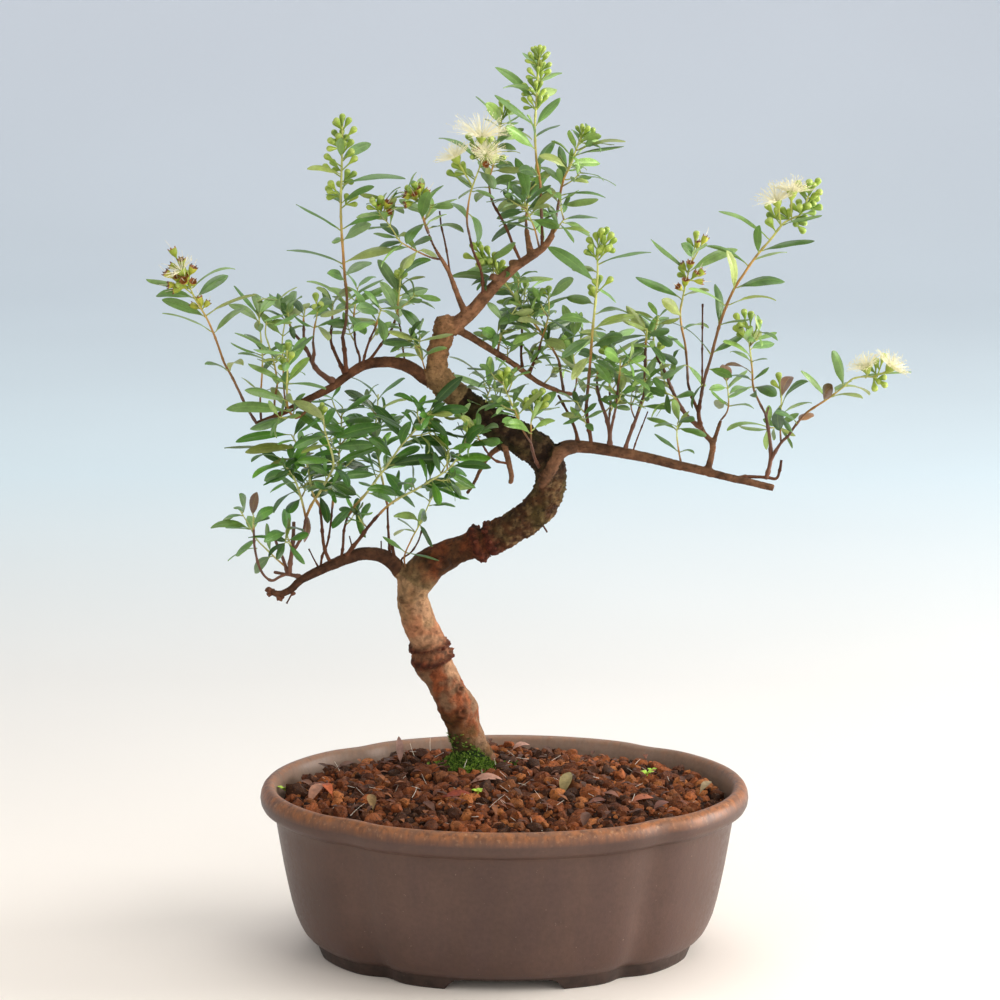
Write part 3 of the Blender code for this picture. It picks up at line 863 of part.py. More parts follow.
def apply_modifiers(thing):
    """Keep the evaluated mesh as the object's own and drop its modifiers."""
    graph = bpy.context.evaluated_depsgraph_get()
    mesh = bpy.data.meshes.new_from_object(thing.evaluated_get(graph))
    thing.modifiers.clear()
    thing.data = mesh


def union(name, pieces, material, solver="EXACT"):
    """One closed body from several: a Boolean union on a collection, applied."""
    thing = new_object(name, *pieces[0], material)
    group = bpy.data.collections.new(name + "_parts")
    for i, (verts, faces) in enumerate(pieces[1:]):
        piece = new_object(f"{name}_{i}", verts, faces, material)
        bpy.context.scene.collection.objects.unlink(piece)
        group.objects.link(piece)
    if len(pieces) > 1:
        join = thing.modifiers.new("join", "BOOLEAN")
        join.operation = "UNION"
        join.operand_type = "COLLECTION"
        join.collection = group
        join.solver = solver
        apply_modifiers(thing)
    for piece in list(group.objects):
        bpy.data.objects.remove(piece)
    bpy.data.collections.remove(group)
    return thing


def cut(thing, pieces):
    """Take solids out of an object, each by its own Boolean, applied."""
    for verts, faces in pieces:
        tool = new_object("cutter", verts, faces, None)
        tool.hide_render = True
        tool.display_type = "WIRE"
        take = thing.modifiers.new("cut", "BOOLEAN")
        take.operation = "DIFFERENCE"
        take.object = tool
        take.solver = "EXACT"
        apply_modifiers(thing)
        bpy.data.objects.remove(tool)


def box(low, high):
    verts = [(x, y, z) for x in (low[0], high[0]) for y in (low[1], high[1]) for z in (low[2], high[2])]
    faces = [(0, 1, 3, 2), (4, 6, 7, 5), (0, 4, 5, 1), (2, 3, 7, 6), (0, 2, 6, 4), (1, 5, 7, 3)]
    return verts, faces


def cylinder(x, y, bottom, top, radius, sides):
    return tube([Vector((x, y, bottom)), Vector((x, y, top))], [radius, radius], sides)


# The pot

def plan_point(turn, inset, z):
    """Point of the pot's four-lobed plan, inset from the lip's outline."""
    x = (POT_LENGTH / 2 - inset) * math.cos(turn)
    y = (POT_WIDTH / 2 - inset) * math.sin(turn)
    pull = 0.0
    for quarter in (CREASE_ANGLE, 180 - CREASE_ANGLE, 180 + CREASE_ANGLE, 360 - CREASE_ANGLE):
        off = abs(math.degrees(turn) % 360 - quarter)
        pull += CREASE_DEPTH * math.exp(-(min(off, 360 - off) / CREASE_SPREAD) ** 2)
    keep = 1 - pull / math.hypot(x, y)
    return Vector((x * keep, y * keep, z))


def ring_solid(rings):
    """Closed solid through rings of the plan, each given as inset and height."""
    verts = []
    for inset, z in rings:
        verts += [plan_point(2 * math.pi * k / POT_SEGMENTS, inset, z) for k in range(POT_SEGMENTS)]
    faces = [tuple(reversed(range(POT_SEGMENTS)))]
    for i in range(len(rings) - 1):
        for k in range(POT_SEGMENTS):
            a = i * POT_SEGMENTS + k
            b = i * POT_SEGMENTS + (k + 1) % POT_SEGMENTS
            faces.append((a, b, b + POT_SEGMENTS, a + POT_SEGMENTS))
    faces.append(tuple(range(len(verts) - POT_SEGMENTS, len(verts))))
    return verts, faces


def make_pot(material):
    pot = new_object("pot", *ring_solid(POT_RINGS), material)
    arch = FOOT_ARCH / 2
    reach = POT_LENGTH
    cuts = [box((-arch, -reach, -1), (arch, reach, FOOT_ARCH_HEIGHT)),
            box((-reach, -arch * 0.8, -1), (reach, arch * 0.8, FOOT_ARCH_HEIGHT))]
    for side in (-1, 1):
        cuts.append(cylinder(side * DRAIN_SPACING / 2, 0, -1, FLOOR_TOP + 1, DRAIN_DIAMETER / 2, 12))
    cut(pot, cuts)
    return pot


def soil_height(x, y):
    """Height of the bed: low at the wall, mounded up to a flat crown round the trunk."""
    across = x / (POT_LENGTH / 2 - SOIL_INSET)
    back = y / (POT_WIDTH / 2 - SOIL_INSET)
    out = math.hypot(across, back)
    away = max(0.0, math.hypot(x - TRUNK_FOOT[0], y - TRUNK_FOOT[1]) - MOSS_RADIUS - 1)
    mound = math.exp(-(away / MOUND_SPREAD) ** 2)
    edge = max(0.0, min(1.0, (1 - out) / EDGE_FALL))
    dome = SOIL_DOME * (1 - out * out) * (1 - mound)
    return SOIL_EDGE + dome + (SOIL_CROWN - SOIL_EDGE) * mound * edge


def make_soil(material):
    """Granule bed: a solid that fits the pot, with a relief of six-sided grains on top."""
    verts, faces = ring_solid(SOIL_RINGS)
    rim = len(verts) - POT_SEGMENTS
    faces.pop()
    flat = [(v.x, v.y) for v in verts[rim:]]
    edges = [(k, (k + 1) % POT_SEGMENTS) for k in range(POT_SEGMENTS)]
    heights = [verts[rim + k].z for k in range(POT_SEGMENTS)]
    dice = random.Random(5)
    rows = int(POT_WIDTH / GRANULE_ROW) + 2
    for j in range(-rows // 2, rows // 2 + 1):
        for i in range(-25, 26):
            x = (i + 0.5 * (j % 2)) * GRANULE_PITCH + dice.uniform(-GRANULE_SHAKE, GRANULE_SHAKE)
            y = j * GRANULE_ROW + dice.uniform(-GRANULE_SHAKE, GRANULE_SHAKE)
            lift = dice.uniform(0.5, 1.0)
            across = x / (POT_LENGTH / 2 - SOIL_INSET - 3)
            if math.hypot(across, y / (POT_WIDTH / 2 - SOIL_INSET - 3)) > 0.985:
                continue
            away = math.hypot(x - TRUNK_FOOT[0], y - TRUNK_FOOT[1])
            grain = GRANULE_HEIGHT * lift if (i - j // 2 - 2 * (j % 2)) % 3 == 0 else 0.0
            flat.append((x, y))
            heights.append(soil_height(x, y) + (grain if away > MOSS_RADIUS + GRANULE_PITCH else 0.0))
    found = delaunay_2d_cdt([Vector(p) for p in flat], edges, [], 1, 1e-4)
    offset = len(verts)
    index = []
    for k, origin in enumerate(found[3]):
        first = origin[0] if origin else 0
        if first < POT_SEGMENTS:
            index.append(rim + first)
        else:
            index.append(offset)
            verts.append(Vector((found[0][k].x, found[0][k].y, heights[first])))
            offset += 1
    for face in found[2]:
        faces.append(tuple(index[k] for k in face))
    soil = new_object("soil", verts, faces, material)
    cuts = [cylinder(*TRUNK_FOOT, HOLE_FLOOR, SOIL_CROWN + 9, TRUNK_HOLE, 16)]
    for side in (-1, 1):
        middle = side * DRAIN_SPACING / 2
        half = NET_SIZE / 2 + GAP
        top = FLOOR_TOP + NET_THICKNESS + 2 * GAP
        cuts.append(box((middle - half, -half, FLOOR_TOP), (middle + half, half, top)))
    cut(soil, cuts)
    return soil


def make_net(name, side, material):
    """Square drainage net over one hole of the pot's floor."""
    middle = side * DRAIN_SPACING / 2
    bottom = FLOOR_TOP + GAP
    top = bottom + NET_THICKNESS
    half = NET_SIZE / 2
    net = new_object(name, *box((middle - half, -half, bottom), (middle + half, half, top)), material)
    holes = []
    for i in (-0.5, 0.5):
        for j in (-0.5, 0.5):
            x = middle + i * NET_PITCH
            y = j * NET_PITCH
            size = NET_HOLE / 2
            holes.append(box((x - size, y - size, bottom - 1), (x + size, y + size, top + 1)))
    cut(net, holes)
    return net


def make_moss(material):
    """Uneven cushion round the trunk, with a plain hole for it."""
    dice = random.Random(9)
    sides = 16
    x, y = TRUNK_FOOT
    low = SOIL_CROWN + GAP
    verts = []
    for k in range(sides):
        turn = 2 * math.pi * k / sides
        outer = MOSS_RADIUS * dice.uniform(0.8, 1.0)
        for out, up in MOSS_PROFILE:
            radius = TRUNK_HOLE + (outer - TRUNK_HOLE) * out
            height = up * MOSS_HEIGHT * (dice.uniform(0.75, 1.0) if up else 1.0)
            verts.append((x + radius * math.cos(turn), y + radius * math.sin(turn), low + height))
    faces = []
    count = len(MOSS_PROFILE)
    for k in range(sides):
        here = k * count
        there = (k + 1) % sides * count
        for i in range(count):
            j = (i + 1) % count
            faces.append((here + i, there + i, there + j, here + j))
    return new_object("moss", verts, faces, material)


# The tree

def limb_rows():
    """Each limb's readings with their depths."""
    rows = {"trunk": [p[:3] for p in TRUNK]}
    for name, parent, change, _, _, readings in LIMBS:
        rows[name] = branch_off(rows[parent], change, readings)
    return rows


def limb_tube(path, thick, thin):
    """Tapering tube along a limb, with rings where it bends and sides as its thickness needs."""
    total = lengths_along(path)
    kept = [0] + bends_of(path, 0, len(path) - 1, 0.4) + [len(path) - 1]
    radii = [thick + (thin - thick) * (total[i] / total[-1]) ** LIMB_TAPER for i in kept]
    sides = 6 if thick > 2 else 5 if thick > 1.2 else 4 if thick > 1 else 3
    return tube([path[i] for i in kept], radii, sides)


def wood_pieces(rows):
    """Tubes of the trunk and of every limb that stands in one body with it."""
    pieces = [tube([in_space(*p[:3]) for p in TRUNK], [p[3] for p in TRUNK], 9, 0.05)]
    for name, _, _, thick, thin, _ in LIMBS:
        if name not in SPRAYS and all(name not in held for held in SPRAYS.values()):
            pieces.append(limb_tube([in_space(*p) for p in rows[name]], thick, thin))
    return pieces


def shoot_path(row, bend):
    """Path of a shoot in space, bent aside by the given depth at its tip."""
    count = len(row) - 1
    return [in_space(x, z, y + bend * (i / count) ** 0.8) for i, (x, z, y) in enumerate(row)]


def place_at(path, length):
    """Point of a path at a length from its start."""
    total = lengths_along(path)
    return point_on(path, min(1.0, length / total[-1]))[0]


def bends_of(path, first, last, off=0.3):
    """Numbers of the points of a path that its bends need, between two of its points."""
    run = path[last] - path[first]
    worst = (off, None)
    for i in range(first + 1, last):
        side = path[i] - path[first]
        away = (side - run * (side.dot(run) / run.length_squared)).length
        worst = max(worst, (away, i), key=lambda pair: pair[0])
    if worst[1] is None:
        return []
    return bends_of(path, first, worst[1], off) + [worst[1]] + bends_of(path, worst[1], last, off)


def stations(path, start, wanted):
    """Lengths along a stem at which it needs a ring: its ends, its bends and both sides of what it bears."""
    total = lengths_along(path)
    groups = []
    for length in sorted(wanted):
        if groups and length - groups[-1][0] < 2.6:
            groups[-1].append(length)
        else:
            groups.append([length])
    rings = [start, total[-1]]
    for group in groups:
        middle = (group[0] + group[-1]) / 2
        for length in (middle - RING_STEP, middle + RING_STEP):
            length = max(start + 0.6, min(total[-1] - 0.6, length))
            if all(abs(length - other) > 0.9 for other in rings):
                rings.append(length)
    for i in bends_of(path, 0, len(path) - 1):
        if total[i] > start and all(abs(total[i] - other) > 1.3 for other in rings):
            rings.append(total[i])
    return sorted(rings)


def inside(solid, point):
    """Whether a point lies in a closed solid: a ray from it meets the surface an odd number of times."""
    way = Vector((0.3, 0.2, 0.93))
    hits = 0
    hit = solid.ray_cast(point, way)[0]
    while hit is not None:
        hits += 1
        hit = solid.ray_cast(hit + way * 1e-4, way)[0]
    return hits % 2 == 1


def cleared(path, radius, solid):
    """Length along a path at which its butt end stands GAP clear of a solid."""
    total = lengths_along(path)
    gone = 0.0
    while gone < total[-1] * 0.6:
        point, along = point_on(path, gone / total[-1])
        across = along.orthogonal().normalized()
        over = along.cross(across)
        clear = True
        for k in range(9):
            turn = math.pi / 4 * k
            probe = point if k == 8 else point + (across * math.cos(turn) + over * math.sin(turn)) * radius
            if solid.find_nearest(probe)[3] < GAP or inside(solid, probe):
                clear = False
        if clear:
            return gone
        gone += 0.1
    return gone


def stem_of(node, row, thick, wood, standing, wanted):
    """Stem of a shoot, bent clear of all that stands: its whole path, its start and its growth."""
    for bend in BENDS:
        whole = shoot_path(row, bend)
        start = cleared(whole, thick, wood) if wood else 0.0
        end = lengths_along(whole)[-1]
        rings = stations(whole, start, [min(max(length, start + 1.4), end - 1.0) for length in wanted])
        path = [place_at(whole, length) for length in rings]
        radii = [thick * (1 - STEM_TAPER * (length - start) / (end - start)) for length in rings]
        stem = Growth(path, radii, 3)
        free = [place_at(whole, start + 2.5)] + [p for p, length in zip(path, rings) if length > start + 2.9]
        guard = tube(free, [thick + GUARD] * len(free), 5)
        if not standing.meets(*stem.solid(), keep="wood") and not standing.meets(*guard, skip=node):
            return whole, start, stem
    print("no clear bend for a shoot of", node)
    return whole, start, stem


def grow_clear(node, stem, make, base, tips, standing):
    """Grow a blade or bud to the first of the tips that clears all that stands."""
    for tip in tips:
        for face in stem.nearest_faces(base, (tip - base).normalized()):
            corners = widened([stem.verts[i] for i in stem.faces[face]])
            rings, end = make(stem.centre(face), tip, GUARD)
            for i in range(1, len(rings)):
                rings[i] = turned(rings[i], (corners, *rings[1:])[i - 1])
            if standing.meets(*closed([corners] + rings[1:], end), skip=node):
                continue
            rings, end = make(stem.centre(face), tip, 0.0)
            if stem.grow(face, rings[1:], end):
                standing.add(node, *closed(rings, end))
                return True
    return False


def length_at(row, whole, x, z):
    """Length along a stem at the reading nearest to x, z."""
    return between(lengths_along(whole), *nearest_on(row, x, z))


def shoot_pieces(node, entry, rows, wood, standing, blooms):
    """Stem of a shoot with its leaves and buds, cut clear of the wood if that is given; fills blooms."""
    name, parent, change, thick, readings, leaves, buds = entry
    row = branch_off(rows[parent], change, readings)
    flat = [in_space(*p) for p in row]
    end_x = row[-1][0]
    leaf_at = [length_at(row, flat, x0, z0) for x0, z0, _, _, _ in leaves]
    bud_at = [length_at(row, flat, x * 0.7 + end_x * 0.3, z - BUD_DROP) for x, z in buds]
    whole, start, stem = stem_of(node, row, thick, wood, standing, leaf_at + bud_at)
    rows[name] = [(x, z, p.y) for (x, z, _), p in zip(row, whole)]
    end = lengths_along(whole)[-1]
    standing.add(node, *stem.solid())
    for bloom in BLOOMS:
        if bloom[1] == name:
            blooms[bloom[0]] = make_cup(bloom, row, whole, BVHTree.FromPolygons(*stem.solid()), standing)
    for (x0, z0, x1, z1, broad), length in zip(leaves, leaf_at):
        dice = random.Random(f"{name} {x1} {z1}")
        base = place_at(whole, min(max(length, start + 1.4), end - 0.4))
        flat_run = math.hypot(x1 - x0, z1 - z0)
        full = LEAF_LENGTH * dice.uniform(0.86, 1.12)
        lean = math.sqrt(max(4.0, full * full - flat_run * flat_run)) * dice.choice((-1, 1))
        tips = [in_space(x1, z1, base.y + lean * share) for share in LEANS]
        if not grow_clear(node, stem, lambda b, t, extra: leaf(b, t, broad, extra), base, tips, standing):
            print("left out a leaf of", name, (x0, z0, x1, z1))
    for i, ((x, z), length) in enumerate(zip(buds, bud_at)):
        base = place_at(whole, min(max(length, start + 1.4), end - 0.4))
        tips = [in_space(x, z, base.y + BUD_LEAN * (-1) ** i * share) for share in (1, -1, 0, 2, -2, 3, -3)]
        if not grow_clear(node, stem, bud, base, tips, standing):
            print("left out a bud of", name, x, z)
    return [stem.solid()]


def make_cup(entry, row, whole, stem, standing):
    """Green cup of a bloom on a short stalk clear of its shoot's stem."""
    name, _, x, z, _, lean_x, lean_y = entry
    start = place_at(whole, min(length_at(row, whole, x, z - CUP_DROP), lengths_along(whole)[-1] - 3))
    up = Vector((lean_x, lean_y, 1)).normalized()
    for aside in (-5, 5, -8, 8, -11, 11, -3, 3):
        centre = in_space(x, z, start.y + aside)
        butt = place_at([start, centre], cleared([start, centre], 0.7, stem))
        path = [butt, centre - up * 1.8, centre, centre + up * 1.5]
        cup = Growth(path, [0.7, 0.8, 2.1, 1.3], 6)
        wide = tube(path[1:], [1.2, 2.5, 1.7], 6)
        if not standing.meets(*cup.solid()) and not standing.meets(*wide):
            break
    else:
        print("no place for", name)
    standing.add(name, *cup.solid())
    return cup, centre, up, entry


def grow_stamens(name, cup, centre, up, entry, standing):
    """Grow a stamen from every face of a cup that looks up and outward, where it clears its surroundings."""
    length = entry[4]
    for face in sorted(cup.free):
        base = cup.centre(face)
        way = (base - centre + up * 0.5).normalized()
        if way.dot(up) < 0.25:
            continue
        reach = length * (0.86 if face % 2 else 1.0)
        tip = base + way * reach
        corners = [cup.verts[i] for i in cup.faces[face]]
        if not standing.meets(*closed([widened(corners)], tip + way * GUARD), skip=name):
            cup.grow(face, [], tip)
    standing.add(name, *cup.solid())
    return [cup.solid()]


def spray_limbs(node, root, rows, wood, standing):
    """Tubes of a limb that stands apart from the wood, and of the limbs that grow from it."""
    pieces = []
    for name, _, _, thick, thin, _ in LIMBS:
        if name == root or name in SPRAYS[root]:
            path = [in_space(*p) for p in rows[name]]
            if name == root:
                gone = cleared(path, thick, wood)
                total = lengths_along(path)
                path = [place_at(path, gone)] + [p for p, t in zip(path, total) if t > gone + 0.8]
            pieces.append(limb_tube(path, thick, thin))
            standing.add(node, *pieces[-1])
    return pieces


def main():
    for thing in list(bpy.data.objects):
        bpy.data.objects.remove(thing)
    glaze = new_material("pot_glaze", (0.06, 0.035, 0.028), 0.35)
    clay = new_material("clay_granules", (0.22, 0.08, 0.04), 0.95)
    mesh = new_material("net_black", (0.02, 0.02, 0.02), 0.6)
    moss = new_material("moss_green", (0.09, 0.2, 0.02), 0.95)
    bark = new_material("bark_brown", (0.2, 0.1, 0.055), 0.85)
    green = new_material("leaf_green", (0.1, 0.25, 0.04), 0.4)
    dark = new_material("leaf_dark", (0.03, 0.09, 0.02), 0.35)
    fresh = new_material("leaf_fresh", (0.3, 0.42, 0.05), 0.45)
    cream = new_material("stamen_cream", (0.8, 0.75, 0.5), 0.7)
    things = [make_pot(glaze), make_soil(clay), make_moss(moss)]
    things += [make_net("net_left", -1, mesh), make_net("net_right", 1, mesh)]
    rows = limb_rows()
    wood = union("wood", wood_pieces(rows), bark)
    things.append(wood)
    verts = [v.co / MM for v in wood.data.vertices]
    solid = BVHTree.FromPolygons(verts, [tuple(p.vertices) for p in wood.data.polygons])
    standing = Standing()
    for thing in things:
        verts = [v.co / MM for v in thing.data.vertices]
        standing.add(thing.name, verts, [tuple(p.vertices) for p in thing.data.polygons])
    blooms = {}
    sprays = {root: spray_limbs("spray_" + root, root, rows, solid, standing) for root in SPRAYS}
    for root, pieces in sprays.items():
        node = "spray_" + root
        for entry in SHOOTS:
            if entry[1] == root or entry[1] in SPRAYS[root]:
                pieces += shoot_pieces(node, entry, rows, None, standing, blooms)
        things.append(union(node, pieces, dark if root in DARK_SHOOTS else green))
    for entry in SHOOTS:
        if entry[1] not in SPRAYS and all(entry[1] not in held for held in SPRAYS.values()):
            node = "shoot_" + entry[0]
            shade = dark if entry[0] in DARK_SHOOTS else fresh if entry[0] in FRESH_SHOOTS else green
            things.append(union(node, shoot_pieces(node, entry, rows, solid, standing, blooms), shade))
    for name, (cup, centre, up, entry) in blooms.items():
        things.append(union(name, grow_stamens(name, cup, centre, up, entry, standing), cream))
    for thing in things:
        thing.location.x = -CENTRE_X * MM


main()
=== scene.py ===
"""Looks of the syzygium bonsai and its pot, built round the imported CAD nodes. Blender 4.5.

The tree is worked out in millimetres from the same readings as the CAD: (x, z) on the upright
plane through the pot's middle, carried along the line of sight to each limb's own depth.
Blades and buds are found by their tips in the CAD nodes, so each fine one stands in its place.
"""
import math
import random

import bmesh
import bpy
import numpy as np
from mathutils import Matrix, Vector, noise
from mathutils.bvhtree import BVHTree
from mathutils.kdtree import KDTree

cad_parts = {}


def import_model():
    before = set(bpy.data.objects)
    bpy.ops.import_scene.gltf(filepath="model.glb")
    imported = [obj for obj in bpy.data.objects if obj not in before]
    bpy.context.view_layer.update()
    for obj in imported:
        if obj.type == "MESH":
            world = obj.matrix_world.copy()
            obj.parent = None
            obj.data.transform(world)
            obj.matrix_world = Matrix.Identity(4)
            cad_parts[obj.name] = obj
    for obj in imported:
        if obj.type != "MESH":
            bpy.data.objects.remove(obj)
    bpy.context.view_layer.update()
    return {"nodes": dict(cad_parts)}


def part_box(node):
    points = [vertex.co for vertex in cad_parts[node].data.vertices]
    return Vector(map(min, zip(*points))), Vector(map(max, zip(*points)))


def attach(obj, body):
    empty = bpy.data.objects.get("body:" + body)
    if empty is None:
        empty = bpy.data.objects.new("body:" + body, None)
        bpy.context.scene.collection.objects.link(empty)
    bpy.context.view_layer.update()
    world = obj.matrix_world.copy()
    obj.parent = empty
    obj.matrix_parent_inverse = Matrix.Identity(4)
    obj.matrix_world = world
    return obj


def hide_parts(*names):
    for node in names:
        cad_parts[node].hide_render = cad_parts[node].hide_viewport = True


MM = 0.001

# Camera: place, pitch, focal length in pixels of the photograph, the photograph's side, sensor width
EYE = Vector((-1.6, -1300.0, 436.1))
PITCH = math.radians(11.61)
FOCAL = 3654.0
PHOTO = 1000
SENSOR = 36.0

# Tree sizes that the CAD shares: shift of its frame, trunk's foot, blade width, radius share at a stem's
# tip, how far shoots may be bent in depth, height of a bud's point over its last ring
CENTRE_X = 9.7
TRUNK_FOOT = (-11.8, 31.0)
LEAF_WIDTH = 3.7
STEM_END = 0.58
BENDS = (0.0, 4.0, -4.0, 8.0, -8.0, 12.0, -12.0, 17.0, -17.0)
BUD_POINT = 1.3

# Shares of foot, tip and middle point in a CAD blade's curve where its first ring stands
RING_FOOT = 0.2704
RING_TIP = 0.2304
RING_MIDDLE = 0.4992

# Pot: length and width over the lip, its four creases, points round it, arches and drain holes
POT_LENGTH = 180.0
POT_WIDTH = 137.0
CREASE_ANGLE = 50.0
CREASE_DEPTH = 1.9
CREASE_SPREAD = 6.0
POT_SEGMENTS = 192
ARCH_TOP = 4.2
DRAIN_X = 35.0
DRAIN_RADIUS = 7.0


# Trunk: x, z, depth and radius at each reading
TRUNK = [
    (-10.7, 51.5, 32, 4.5), (-11, 62, 31.5, 6.6), (-11.8, 73, 31, 6.7), (-13.8, 80, 30, 6.5),
    (-15.4, 85.5, 29.5, 6.4), (-16.7, 90, 29, 7.3), (-19.6, 95.5, 28, 6.6), (-22.2, 101, 27.5, 6.4),
    (-25.2, 106.5, 27, 7), (-26.6, 109.5, 26.5, 8), (-27.2, 112, 26, 7.2), (-27.9, 114.6, 26, 7.6),
    (-28.6, 117.5, 25.5, 6.4), (-30.6, 122, 25, 6.3), (-32.6, 128, 24.5, 6.2), (-33.4, 133.5, 24, 5.9),
    (-32.2, 139, 23.5, 6.6), (-27.5, 144.5, 22.5, 6.3), (-21, 148.6, 21, 5.5), (-14.5, 151.2, 19.5, 4.9),
    (-9.4, 153, 18.5, 6.3), (-6.4, 154.2, 18, 5.3), (-3.4, 155.2, 17.5, 5.9), (2.5, 158.4, 16.5, 5.5),
    (9, 162.6, 15, 5.7), (13.8, 168, 14, 5.7), (16.4, 174.5, 13, 5.5), (16.6, 180.5, 12.5, 5.5),
    (13.4, 186.4, 12, 6), (6.5, 191.4, 11.5, 5.7), (-1, 195.4, 11, 5.4), (-8, 200, 10, 4.8),
    (-14.5, 205.5, 9, 4.5), (-20.5, 210.4, 8, 4.6), (-24.2, 216, 7, 4), (-24, 222, 6.5, 3.4),
    (-22.4, 228, 6, 3.9), (-21.6, 233.4, 6, 3.4), (-22.4, 236.4, 6, 2.4),
]

